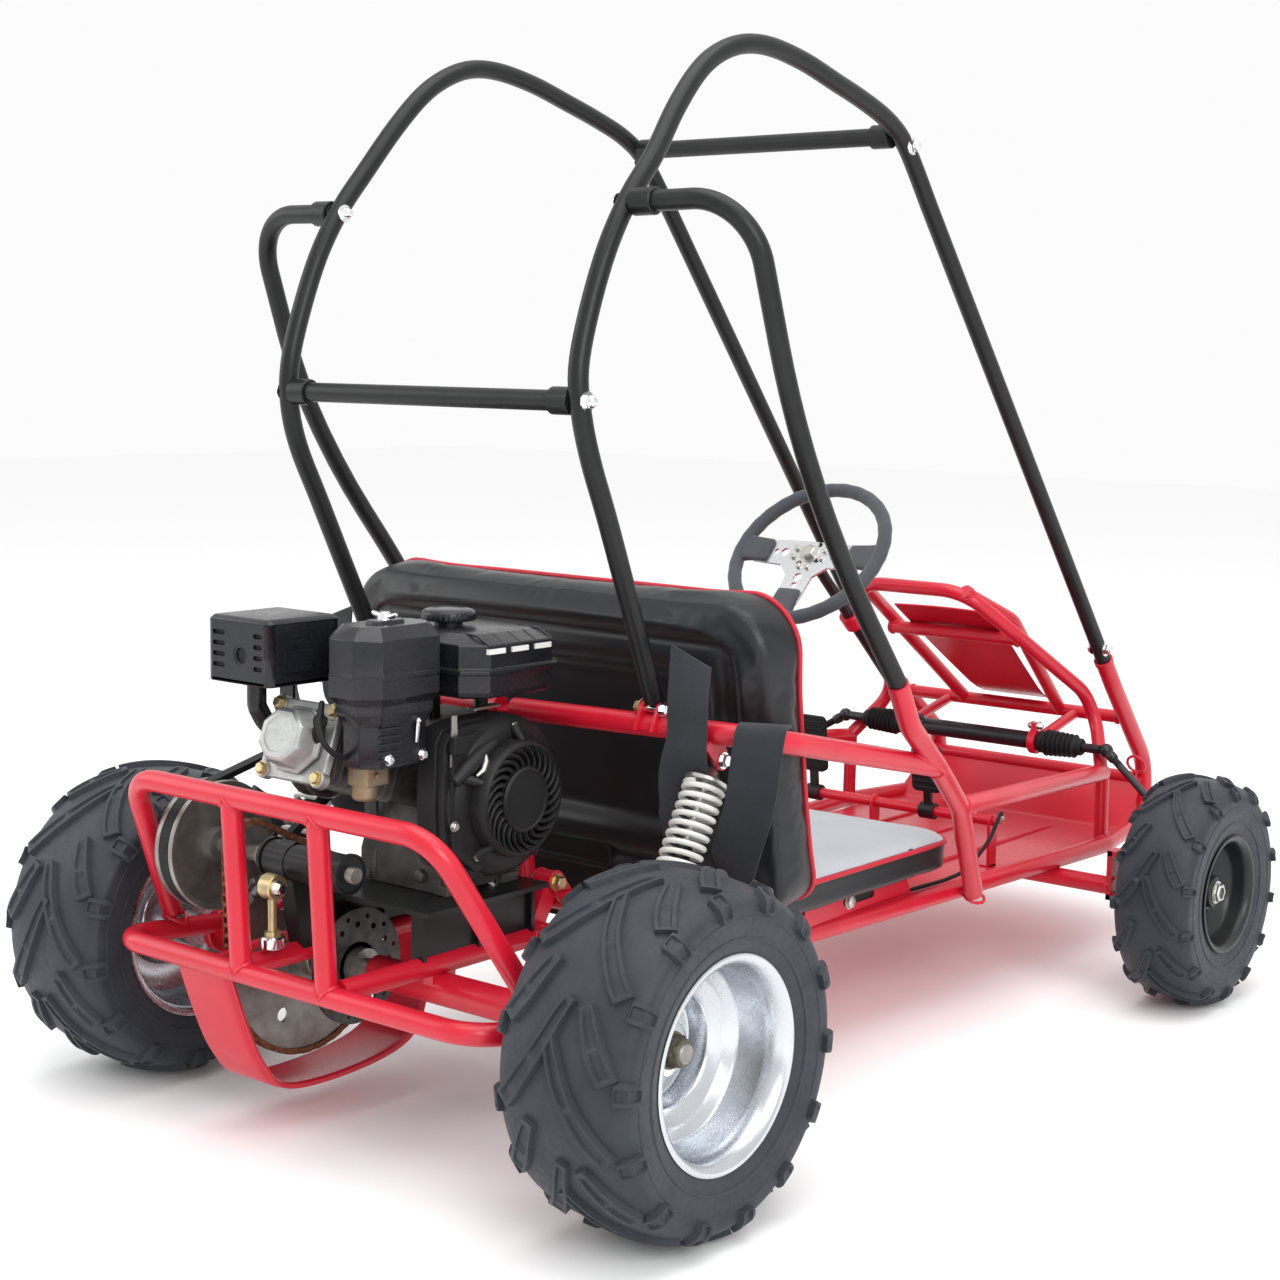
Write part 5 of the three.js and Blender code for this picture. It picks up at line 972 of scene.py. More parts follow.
    def make(self) -> None:
        """Builds floor, nose and shield."""
        self.floor().build("floor_sheet", [RED], "frame", ["floor_pan"])
        self.bars().build("floor_bars", [RED], "frame")
        self.nose().build("nose_tubes", [RED], "frame", ["nose_frame"])
        self.fixings().build("clamp_bolts", [CHROME], "frame")
        self.shield().build("nose_shield_sheet", [RED], "frame", ["nose_shield"])


@dataclass
class RollCage:
    """Black hoops, cross bars and side bars, held by domed nuts."""

    tube: float = 12
    foot: Triple = (226.0, 1373.9, 475.9)
    hoop: tuple[Triple, ...] = (
        (224, 800, 1157), (225, 737, 1229), (226, 690, 1259), (226.5, 630, 1279), (226, 560, 1297),
        (226, 490, 1314), (226, 420, 1323.5), (225, 365, 1320.5), (224, 318, 1305), (226, 275, 1278),
        (230, 229, 1232), (236, 182, 1174), (236, 139, 1124), (236, 101, 1064), (236, 71, 992),
        (237, 54, 930), (240.5, 56, 880), (242, 72, 826), (240, 108, 752), (234, 176, 608))
    rear_foot: Triple = (230.9, 206.6, 540.7)
    top_bar: Triple = (225, 716, 1243)
    top_nut: Triple = (225, 735, 1230.5)
    mid_bar: Triple = (239.5, 54.5, 894.6)
    side: tuple[Triple, ...] = ((236, 135, 1118), (403, 144, 1121), (406, 222, 899), (402, 297, 775),
                                (397, 385, 665), (402, 476, 550))
    side_bends: tuple[float, ...] = (110, 700, 1200, 1200)
    collar: float = 16
    collar_length: float = 30

    def sleeve(self, form: Form, place: Vector, way: Vector) -> None:
        """The thicker end that slips over a bar, with its soft edges."""
        r = self.collar
        form.lathe([(self.tube, 0), (r - 1.2, 0), (r, 1.2), (r, self.collar_length - 1.5),
                    (r - 1.5, self.collar_length), (self.tube, self.collar_length)], place, way, 32)

    def hoops(self) -> Form:
        """One long hoop and its side bar."""
        form = Form()
        side = route(self.side)
        line = [at(*self.foot), *smooth(route(self.hoop), 5), at(*self.rear_foot)]
        line[0] += (line[1] - line[0]).normalized() * 0.4
        form.sweep(line, self.tube, 26)
        start = side[0] + (side[1] - side[0]).normalized() * 6
        form.sweep(bent([start, *side[1:]], self.side_bends, math.radians(4)), self.tube, 26)
        self.sleeve(form, side[0] + (side[1] - side[0]).normalized() * 11, side[1] - side[0])
        return form

    def cross_bar(self, place: Vector, half: float) -> Form:
        """A cross bar with a sleeve at each end."""
        form = Form()
        form.bar(place - X * (half - 9), place + X * (half - 9), self.tube, 26)
        for way in (-1, 1):
            self.sleeve(form, place + X * (way * (half - 10)), X * -way)
        return form

    def nuts(self) -> Form:
        """Domed nuts on the outside of the hoops, and the bolt heads inside."""
        form = Form()
        top, foot = at(*self.top_nut), at(*self.foot)
        up = (top - foot).normalized()
        for place in (top + X * (self.tube - 2), at(*self.mid_bar) + X * (self.tube - 2),
                      foot + up * 24 + X * 11):
            form.acorn(place, X, 8.5)
        back = up.cross(-X).normalized()
        form.acorn(at(*self.side[0]) - X * (self.tube - 1), -X, 8)
        form.bolt(foot + up * 24 - X * 11, -X, 8, 5)
        form.acorn(top + back * (self.tube - 2), back, 7)
        return form.both()

    def make(self) -> None:
        """Builds the cage."""
        self.hoops().both().build("cage_hoops", [CAGE_BLACK], "frame",
                                  ["cage_side_left", "cage_side_right", "side_bar_left", "side_bar_right"])
        for (half, ahead, up), name in ((self.top_bar, "top"), (self.mid_bar, "mid")):
            self.cross_bar(at(0, ahead, up), half).build(
                "cage_" + name + "_cross_bar", [CAGE_BLACK], "frame", ["cage_" + name + "_bar"])
        self.nuts().build("cage_nuts", [CHROME], "frame")


@dataclass
class Tyre:
    """A tyre with a directional tread of hollow lugs, round the middle of its wheel."""

    radius: float
    half: float
    seat: float
    pitches: int = 14
    lug: float = 7
    hollow: float = 3.2
    foot: float = 1.5
    segments: int = 112
    shoulder_shares: tuple[Pair, ...] = ((0, 1), (0.2, 0.997), (0.4, 0.985), (0.65, 0.95), (0.85, 0.89),
                                         (0.97, 0.80), (1, 0.70), (0.99, 0.5), (0.955, 0.3), (0.9, 0.14),
                                         (0.86, 0.05))
    long_lug: tuple[tuple[float, float, float], ...] = (
        (14, -8, 6.4), (-6, 1, 7.8), (-32, 12, 8.8), (-56, 25, 9.6), (-77, 39, 10.2), (-96, 53, 10.6),
        (-111, 66, 10.6))
    short_lug: tuple[tuple[float, float, float], ...] = (
        (-36, 29, 7.4), (-58, 40, 9.6), (-79, 50, 11.2), (-96, 60, 11.2), (-110, 69, 10.6))
    block: tuple[tuple[float, float, float], ...] = ((-120, 76, 10.5), (-120, 80, 12), (-120, 98, 12),
                                                     (-120, 102, 10.5))

    def __post_init__(self) -> None:
        """Measures the section from the middle of the tread to the bead."""
        crown = self.radius - self.lug
        half = self.half - 1.5
        shares = [(-s, o) for s, o in self.shoulder_shares[:0:-1]] + list(self.shoulder_shares)
        points = [Vector((s * half, self.seat + o * (crown - self.seat), 0)) for s, o in shares]
        self.whole = smooth(points, 5)
        middle = len(self.whole) // 2
        run = self.whole[middle:]
        self.reach = [0.0]
        for before, after in zip(run, run[1:]):
            self.reach.append(self.reach[-1] + (after - before).length)
        self.side = [p.x for p in run]
        self.out = [p.y for p in run]

    def spot(self, ahead: float, across: float, lift: float) -> Vector:
        """A point over the tread.

        Args:
            ahead: Millimetres round the crown, in the way that the wheel rolls.
            across: Millimetres over the section from its middle, below nothing on the inner side.
            lift: Height over the carcass.

        Returns:
            The point, from the middle of the wheel.
        """
        far = abs(across)
        near = max(far - 2, 0)
        x, r = np.interp(far, self.reach, self.side), np.interp(far, self.reach, self.out)
        along = Vector((np.interp(far + 2, self.reach, self.side) - np.interp(near, self.reach, self.side),
                        np.interp(far + 2, self.reach, self.out) - np.interp(near, self.reach,
                                                                             self.out))).normalized()
        r += along.x * lift
        x -= along.y * lift
        turn = ahead / self.radius
        return Vector((math.copysign(x, across), r * math.cos(turn), r * math.sin(turn)))

    def raised(self, form: Form, track: Sequence[tuple[float, float, float]], turn: float, side: int,
               closed: int, size: float) -> None:
        """One lug with a hollow top.

        Args:
            form: The form that takes the faces.
            track: Places along the lug as (ahead, across, half width).
            turn: Millimetres round the crown at which the lug stands.
            side: Side of the tread, -1 or 1.
            closed: Stations at each end that have no hollow.
            size: Scale of the track.
        """
        line = smooth([Vector((a, b, w)) * size for a, b, w in track], 4)
        levels = ((-1.22, -self.foot), (-1, self.lug), (-0.62, self.lug), (-0.5, None), (0.5, None),
                  (0.62, self.lug), (1, self.lug), (1.22, -self.foot))
        rows = []
        last = len(line) - 1
        for i, p in enumerate(line):
            before, after = line[max(i - 1, 0)], line[min(i + 1, last)]
            way = Vector((after.x - before.x, after.y - before.y)).normalized()
            solid = i < closed or i > last - closed or i == last // 2
            top = self.lug if solid else self.lug - self.hollow
            rows.append([self.spot(turn + p.x - way.y * p.z * k, side * (p.y + way.x * p.z * k),
                                   top if level is None else level) for k, level in levels])
        form.skin(rows, caps=True)

    def make(self, origin: Vector, outward: int) -> Form:
        """The whole tyre.

        Args:
            origin: The middle of the wheel.
            outward: 1 for a wheel on the driver's left, -1 on the right.

        Returns:
            Its faces in kart millimetres.
        """
        form = Form()
        inner = [(p.y, p.x) for p in self.whole]
        bead = self.shoulder_shares[-1][0] * self.half
        form.lathe([*inner, (self.seat + 0.6, bead - 5), (self.seat + 0.6, 5 - bead)], Vector(), X,
                   self.segments, loop=True)
        for side in (-1, 1):
            for radius, bulge in ((0.34, 1.6), (0.6, 1.1)):
                r = self.seat + radius * (self.radius - self.lug - self.seat)
                x = side * float(np.interp(-r, [-v for v in self.out], self.side))
                ring = [(r + 2.2 * math.cos(a), x + side * (bulge * math.sin(a) - 0.2))
                        for a in [2 * math.pi * k / 8 for k in range(8)]]
                form.lathe(ring, Vector(), X, self.segments, loop=True)
        size = self.half / 89.5
        pitch = 2 * math.pi * self.radius / self.pitches
        for k in range(self.pitches):
            for side in (-1, 1):
                turn = pitch * (k + (0.5 if side > 0 else 0.0))
                track = self.long_lug if (k + (side > 0)) % 2 else self.short_lug
                self.raised(form, track, turn, side, 2, size)
                self.raised(form, self.block, turn, side, 3, size)
        return form.moved(Matrix.Translation(origin) @ Matrix.Scale(outward, 4, X))


@dataclass
class RearWheels:
    """Wide lugged tyres on stepped polished rims, with their axle nuts."""

    out: float = 426
    up: float = 202
    half: float = 89.5
    seat: float = 108
    rim: tuple[Pair, ...] = (
        (12.8, 2), (29, 2), (30, 1), (30, -21), (56, -22), (60, -20), (63, 2), (66, 6), (82, 9), (85, 11),
        (87, 14.3), (96, 17.5), (99, 21.5), (100.4, 54), (101.8, 62), (104.4, 69), (107.6, 74.6), (111, 78.6),
        (114.6, 80.8), (118.6, 81.6), (120.2, 80.6), (119.4, 79.2), (115.6, 78.4), (112.6, 76.2), (110.2, 72),
        (108.6, 68), (107.9, 62), (104, 40), (104, -40), (107.9, -62), (108.6, -68), (112, -76), (116, -78.6),
        (119.4, -79), (119.6, -81), (115, -80.6), (110.5, -78), (106, -70), (102, -40), (100, -12), (88, -4),
        (66, -4), (60, -28), (56, -30), (30, -30), (30, -70), (12.8, -70))

    def rims(self) -> Form:
        """One stepped rim."""
        form = Form()
        origin = Vector((self.out, 0, self.up))
        form.lathe(self.rim, origin, X, 96, loop=True)
        return form

    def fixings(self) -> Form:
        """Axle nut and washer, and the end of the axle."""
        form = Form()
        face = Vector((self.out + 2.3, 0, self.up))
        form.lathe([(12.8, 0), (21.5, 0), (21.5, 1.6), (12.8, 1.6)], face, X, 36, loop=True)
        form.lathe([(12.8, 1.6), (18.4, 1.6), (19, 2.6), (19, 11), (17, 13.6), (12.8, 13.6)], face, X, 6,
                   loop=True)
        form.lathe([(12.8, 10), (16.2, 10), (16.2, 18), (15, 19.6), (12.8, 19.6)], face, X, 28, loop=True)
        return form

    def make(self) -> None:
        """Builds both rear wheels."""
        tyre = Tyre(self.up, self.half, self.seat)
        for side, name in ((1, "left"), (-1, "right")):
            tyre.make(Vector((side * self.out, 0, self.up)), side).build(
                "rear_tyre_tread_" + name, [TYRE], "axle", ["rear_tyre_" + name], sharp=34)
        self.rims().both().build("rear_rims", [POLISHED], "axle", ["rear_rim_left", "rear_rim_right"],
                                 sharp=50)
        self.fixings().both().build("rear_axle_nuts", [DARK_BRASS], "axle")


@dataclass
class FrontWheels:
    """Narrower tyres on black rims, on the stub axles."""

    out: float = 480
    ahead: float = 1201
    up: float = 172
    half: float = 60
    seat: float = 78
    rim: tuple[Pair, ...] = (
        (9.6, 34), (23, 34), (24, 33), (24, 6), (56, 4), (59, 6), (66, 18), (72, 22), (74, 28), (75, 42),
        (75.6, 46), (77.4, 50), (79.8, 53.4), (83, 55.4), (87, 56), (88, 55.2), (87.4, 54.2), (83.6, 53.2),
        (80.8, 50.6), (79, 47), (78.2, 43), (77.9, 39), (74, 24), (74, -24), (77.9, -39), (79, -46),
        (83, -53), (87.4, -53.4), (87.6, -55), (82, -54.6), (76, -45), (72, -20), (66, 10), (58, -2),
        (24, -2), (24, -28), (9.6, -28))

    def fixings(self) -> Form:
        """Hub nut, washer and the four bolts of the rim's halves."""
        form = Form()
        face = at(self.out + 34.3, self.ahead, self.up)
        form.lathe([(9.4, 0), (17, 0), (17, 1.4), (9.4, 1.4)], face, X, 30, loop=True)
        form.lathe([(9.4, 1.4), (13.6, 1.4), (14, 2.2), (14, 7.4), (12.6, 8.8), (9.4, 8.8)], face, X, 6,
                   loop=True)
        for k in range(4):
            angle = math.pi / 4 + math.pi / 2 * k
            spot = at(self.out + 4.6, self.ahead + 42 * math.cos(angle), self.up + 42 * math.sin(angle))
            form.bolt(spot, X, 6.5, 5)
        return form

    def make(self) -> None:
        """Builds both front wheels."""
        tyre = Tyre(self.up, self.half, self.seat)
        for side, name in ((1, "left"), (-1, "right")):
            body = "front_wheel_" + name
            tyre.make(at(side * self.out, self.ahead, self.up), side).build(
                "front_tyre_tread_" + name, [TYRE], body, ["front_tyre_" + name], sharp=34)
            rim, nuts = Form(), self.fixings()
            rim.lathe(self.rim, at(self.out, self.ahead, self.up), X, 80, loop=True)
            mirror = Matrix.Scale(side, 4, X)
            rim.moved(mirror).build("front_rim_dish_" + name, [BLACK_RIM], body, ["front_rim_" + name],
                                    sharp=50)
            nuts.moved(mirror).build("front_hub_nuts_" + name, [ZINC], body)


@dataclass
class AxleAndDrive:
    """Live axle with its disc and sprocket, jackshaft, pulleys, belt and chain."""

    up: float = 202
    shaft: float = 12.5
    disc_out: float = 58
    disc: float = 72
    flange_out: float = 139
    chain_out: float = 150
    axle_teeth: int = 60
    jack_teeth: int = 20
    chain_pitch: float = 12.7
    axle_pitch_radius: float = 124
    jack: Triple = (0, -90, 345)
    jack_pitch_radius: float = 37
    crank: Triple = (0, 88, 423)
    belt_out: float = 216
    driven: float = 80
    driving: float = 46

    def axle(self) -> Form:
        """The shaft with the sprocket's flange and the disc's hub."""
        form = Form()
        end = 450.3
        centre = Vector((0, 0, self.up))
        form.lathe([(0, -end), (self.shaft - 2, -end), (self.shaft, 2 - end), (self.shaft, end - 2),
                    (self.shaft - 2, end), (0, end)], centre, X, 32)
        form.lathe([(self.shaft, 0), (26, 0), (27, 1), (27, 20), (42, 20), (42, 28), (27, 28),
                    (self.shaft, 28)],
                   Vector((self.flange_out - 20, 0, self.up)), X, 40, loop=True)
        form.lathe([(self.shaft, 0), (24, 0), (24, 14), (30, 14), (30, 18), (self.shaft, 18)],
                   Vector((self.disc_out - 14, 0, self.up)), X, 40, loop=True)
        return form

    def brake_disc(self) -> Form:
        """Drilled brake disc."""
        form = Form()
        holes = [circle(4, 12, (52 * math.cos(a), 52 * math.sin(a)))
                 for a in [math.pi * k / 6 for k in range(12)]]
        holes += [circle(3.2, 12, (62 * math.cos(a + 0.26), 62 * math.sin(a + 0.26)))
                  for a in [math.pi * k / 6 for k in range(12)]]
        form.plate(circle(self.disc, 72), Vector((self.disc_out, 0, self.up)), Y, Z, 4,
                   [circle(18, 30), *holes])
        for k in range(4):
            a = math.pi / 4 + math.pi / 2 * k
            form.bolt(Vector((self.disc_out + 4, 24 * math.cos(a), self.up + 24 * math.sin(a))), X, 4.5, 3)
        return form

    @staticmethod
    def toothed(pitch_radius: float, teeth: int) -> list[Pair]:
        """Outline of a chain sprocket."""
        outline = []
        for k in range(teeth):
            for share, lift in ((-0.34, -3.4), (-0.2, -3.9), (0.0, -4.1), (0.2, -3.9), (0.34, -3.4),
                                (0.44, 2.6), (0.56, 2.6)):
                a = 2 * math.pi * (k + share) / teeth
                outline.append(((pitch_radius + lift) * math.cos(a), (pitch_radius + lift) * math.sin(a)))
        return outline

    def sprocket(self) -> Form:
        """The axle's big sprocket with its lightening holes and bolts."""
        form = Form()
        windows = [circle(9, 20, (82 * math.cos(a), 82 * math.sin(a)))
                   for a in [math.pi / 3 * k for k in range(6)]]
        form.plate(self.toothed(self.axle_pitch_radius, self.axle_teeth),
                   Vector((self.chain_out - 2.3, 0, self.up)), Y, Z, 4.6, [circle(14, 24), *windows])
        for k in range(6):
            a = math.pi / 3 * (k + 0.5)
            form.bolt(Vector((self.chain_out + 2.3, 34 * math.cos(a), self.up + 34 * math.sin(a))), X, 5.5, 4)
        return form

    def loop(self) -> tuple[list[Vector], float]:
        """The closed line of the chain over its pitch circles, and its length."""
        a, b = Vector((0, 0, self.up)), at(*self.jack)
        way = Vector((0, b.y - a.y, b.z - a.z))
        length = way.length
        way.normalize()
        turn = math.acos((self.axle_pitch_radius - self.jack_pitch_radius) / length)
        heading = math.atan2(way.z, way.y)
        line = []
        steps = 60
        for k in range(steps + 1):
            t = heading + turn + (2 * math.pi - 2 * turn) * k / steps
            line.append(a + Vector((0, math.cos(t), math.sin(t))) * self.axle_pitch_radius)
        for k in range(steps // 2 + 1):
            t = heading - turn + 2 * turn * k / (steps // 2)
            line.append(b + Vector((0, math.cos(t), math.sin(t))) * self.jack_pitch_radius)
        total = sum((q - p).length for p, q in zip(line, [*line[1:], line[0]]))
        return line, total

    def chain(self) -> Form:
        """Roller chain: rollers, and link plates inside and outside by turns."""
        form = Form()
        line, total = self.loop()
        links = round(total / self.chain_pitch / 2) * 2
        pitch = total / links
        joints, walked, goal = [], 0.0, 0.0
        for p, q in zip(line, [*line[1:], line[0]]):
            step = (q - p).length
            while goal <= walked + step and len(joints) < links:
                joints.append(p.lerp(q, (goal - walked) / step))
                goal += pitch
            walked += step
        middle = Vector((self.chain_out, 0, 0))
        half, arc = 3.6, [math.pi * m / 6 for m in range(7)]
        for k, p in enumerate(joints):
            q = joints[(k + 1) % len(joints)]
            way = (q - p).normalized()
            side = Vector((0, -way.z, way.y))
            spread = 3.9 if k % 2 else 5.1
            near = [(-half * math.sin(a), half * math.cos(a)) for a in arc]
            far = [((q - p).length + half * math.sin(a), -half * math.cos(a)) for a in arc]
            for face in (-1, 1):
                form.plate([*near, *far], middle + p + X * (face * spread - 0.6), way, side, 1.2)
            form.bar(middle + p - X * 6.2, middle + p + X * 6.2, 1.9, 8)
            form.bar(middle + p - X * 3.2, middle + p + X * 3.2, 3.6, 10)
        return form

    def pulley(self, place: Vector, radius: float, spokes: bool) -> Form:
        """A grooved belt pulley."""
        form = Form()
        seat = radius - 10
        profile = [(radius - 1, 16), (radius, 15), (radius, 10), (seat, 4), (seat, -4), (radius, -10),
                   (radius, -15), (radius - 1, -16), (radius - 7, -15), (radius - 9, -3), (22, -3), (20, -16),
                   (10, -16), (10, 16), (20, 16), (22, 3), (radius - 9, 3), (radius - 7, 15)]
        form.lathe(profile, place, X, 64, loop=True)
        if spokes:
            for k in range(6):
                a = math.pi / 3 * k
                form.sweep([place + Vector((3.2, math.cos(a) * 24, math.sin(a) * 24)),
                            place + Vector((3.2, math.cos(a) * (radius - 12), math.sin(a) * (radius - 12)))],
                            4, 10)
        return form

    def jackshaft(self) -> Form:
        """Jackshaft with its small sprocket, pulley and snap rings."""
        form = Form()
        place = at(*self.jack)
        form.lathe([(0, -34), (9, -34), (10, -33), (10, 238), (0, 238)], place, X, 24)
        form.plate(self.toothed(self.jack_pitch_radius, self.jack_teeth), place + X * (self.chain_out - 2.3),
                   Y, Z, 4.6, [circle(9.9, 20)])
        form.lathe([(10, 152.6), (19, 152.6), (19, 166), (10, 166)], place, X, 28, loop=True)
        form.lathe([(10, 114), (17, 114), (18, 115), (18, 122), (10, 122)], place, X, 28, loop=True)
        return form.take(self.pulley(place + X * self.belt_out, self.driven, True))

    def clutch_pulley(self) -> Form:
        """Drive pulley with the clutch drum behind it."""
        form = self.pulley(at(*self.crank) + X * self.belt_out, self.driving, False)
        form.lathe([(10, -118), (10.0, -16), (30, -16), (31, -17), (31, -40), (29, -42), (12, -42),
                    (12, -118)],
                   at(*self.crank) + X * self.belt_out, X, 40, loop=True)
        return form

    def belt(self) -> Form:
        """The V belt, with its sides sloping in."""
        a, b = at(*self.jack), at(*self.crank)
        way = Vector((0, b.y - a.y, b.z - a.z))
        turn = math.acos((self.driven - self.driving) / way.length)
        heading = math.atan2(way.z, way.y)
        rows = []
        section = ((-8, 0.5), (-5.6, -8), (5.6, -8), (8, 0.5))
        for place, radius, start, swing in ((a, self.driven, heading + turn, 2 * math.pi - 2 * turn),
                                            (b, self.driving, heading - turn, 2 * turn)):
            for k in range(33):
                t = start + swing * k / 32
                rows.append([Vector((self.belt_out + out, place.y + (radius - 1 + up) * math.cos(t),
                                     place.z + (radius - 1 + up) * math.sin(t))) for out, up in section])
        form = Form()
        form.skin(rows, loop=True)
        return form

    def make(self) -> None:
        """Builds axle, sprockets, pulleys, chain and belt."""
        self.axle().build("live_axle", [STEEL], "axle", ["rear_axle"], sharp=45)
        self.brake_disc().build("brake_disc", [DARK_STEEL], "axle")
        self.sprocket().build("axle_chain_sprocket", [STEEL], "axle", ["axle_sprocket"], sharp=45)
        self.chain().build("roller_chain", [RUST], "swing_unit", ["drive_chain"])
        self.jackshaft().build("jackshaft_and_pulley", [STEEL], "jackshaft", ["jackshaft"], sharp=45)
        self.clutch_pulley().build("clutch_and_pulley", [STEEL], "drive_pulley", ["drive_pulley"], sharp=45)
        self.belt().build("v_belt", [BLACK_RUBBER], "swing_unit", ["drive_belt"])


@dataclass
class Pad:
    """A closed padded form, laid out in rings round its own middle and puffed by a short cloth simulation."""

    half_width: float
    half_height: float
    top_corner: float
    low_corner: float
    steps: int = 10
    straights: int = 14

    def outline(self, inset: float) -> list[Pair]:
        """The outline, moved in by so many millimetres."""
        w, h = self.half_width - inset, self.half_height - inset
        points = []
        for sx, sy, start, corner in ((1, 1, 0, self.top_corner), (-1, 1, 90, self.top_corner),
                                      (-1, -1, 180, self.low_corner), (1, -1, 270, self.low_corner)):
            r = max(min(corner - inset, w * 0.9, h * 0.9), 12)
            for k in range(self.steps + 1):
                a = math.radians(start + 90 * k / self.steps)
                points.append((sx * (w - r) + r * math.cos(a), sy * (h - r) + r * math.sin(a)))
        full = []
        for i, (p, q) in enumerate(zip(points, [*points[1:], points[0]])):
            count = self.straights if i % (self.steps + 1) == self.steps else 1
            full += [(p[0] + (q[0] - p[0]) * k / count, p[1] + (q[1] - p[1]) * k / count)
                     for k in range(count)]
        return full

    def make(self, rings: Sequence[Pair], frame: Matrix) -> Form:
        """The form.

        Args:
            rings: (inset, level) of each ring, from the middle of one face round to the other's.
            frame: Where the pad stands, in kart millimetres.

        Returns:
            Its faces.
        """
        form = Form()
        rows = [[frame @ Vector((a, b, level)) for a, b in self.outline(inset)] for inset, level in rings]
        form.skin(rows, caps=True)
        return form


def remeshed(piece: bpy.types.Object, voxel: float) -> None:
    """Gives a piece an even mesh."""
    change = piece.modifiers.new("even mesh", "REMESH")
    change.mode = "VOXEL"
    change.voxel_size = voxel * MILLI
    settle(piece)


def settle(piece: bpy.types.Object) -> None:
    """Applies a piece's modifiers."""
    graph = bpy.context.evaluated_depsgraph_get()
    mesh = bpy.data.meshes.new_from_object(piece.evaluated_get(graph))
    old = piece.data
    piece.modifiers.clear()
    piece.data = mesh
    bpy.data.meshes.remove(old)


def puffed(piece: bpy.types.Object, voxel: float, pressure: float, cap: float) -> None:
    """Fills a padded piece with a short pressure simulation of its cover.

    Args:
        piece: The piece, whose mesh is changed.
        voxel: Spacing in millimetres of the cover's mesh.
        pressure: Pressure of the filling.
        cap: How far in millimetres a point may move.
    """
    remeshed(piece, voxel)
    frames = 20
    start = np.array([v.co for v in piece.data.vertices])
    cloth = piece.modifiers.new("filling", "CLOTH")
    cloth.settings.quality = 6
    cloth.settings.mass = 0.35
    cloth.settings.tension_stiffness = 12
    cloth.settings.compression_stiffness = 12
    cloth.settings.bending_stiffness = 1.4
    cloth.settings.use_pressure = True
    cloth.settings.uniform_pressure_force = pressure
    cloth.settings.effector_weights.gravity = 0
    cloth.collision_settings.use_collision = False
    cloth.point_cache.frame_start = 1
    cloth.point_cache.frame_end = frames
    scene = bpy.context.scene
    for frame in range(1, frames + 1):
        scene.frame_set(frame)
    settle(piece)
    scene.frame_set(1)
    end = np.array([v.co for v in piece.data.vertices])
    move = end - start
    far = np.maximum(np.linalg.norm(move, axis=1, keepdims=True), 1e-9)
    held = start + move * np.minimum(1.0, cap * MILLI / far)
    piece.data.vertices.foreach_set("co", held.ravel())
    piece.data.update()
    change = piece.modifiers.new("fine mesh", "SUBSURF")
    change.levels = change.render_levels = 1
    settle(piece)
    piece.data.shade_smooth()


def on_surface(piece: bpy.types.Object, points: Sequence[Vector]) -> list[Vector]:
    """The nearest places on a piece's surface, in kart millimetres."""
    found = []
    for point in points:
        metre = Vector((point.x, point.y + GROUP_SHIFT, point.z)) * MILLI
        _, place, _, _ = piece.closest_point_on_mesh(metre)
        found.append(Vector((place.x / MILLI, place.y / MILLI - GROUP_SHIFT, place.z / MILLI)))
    return found


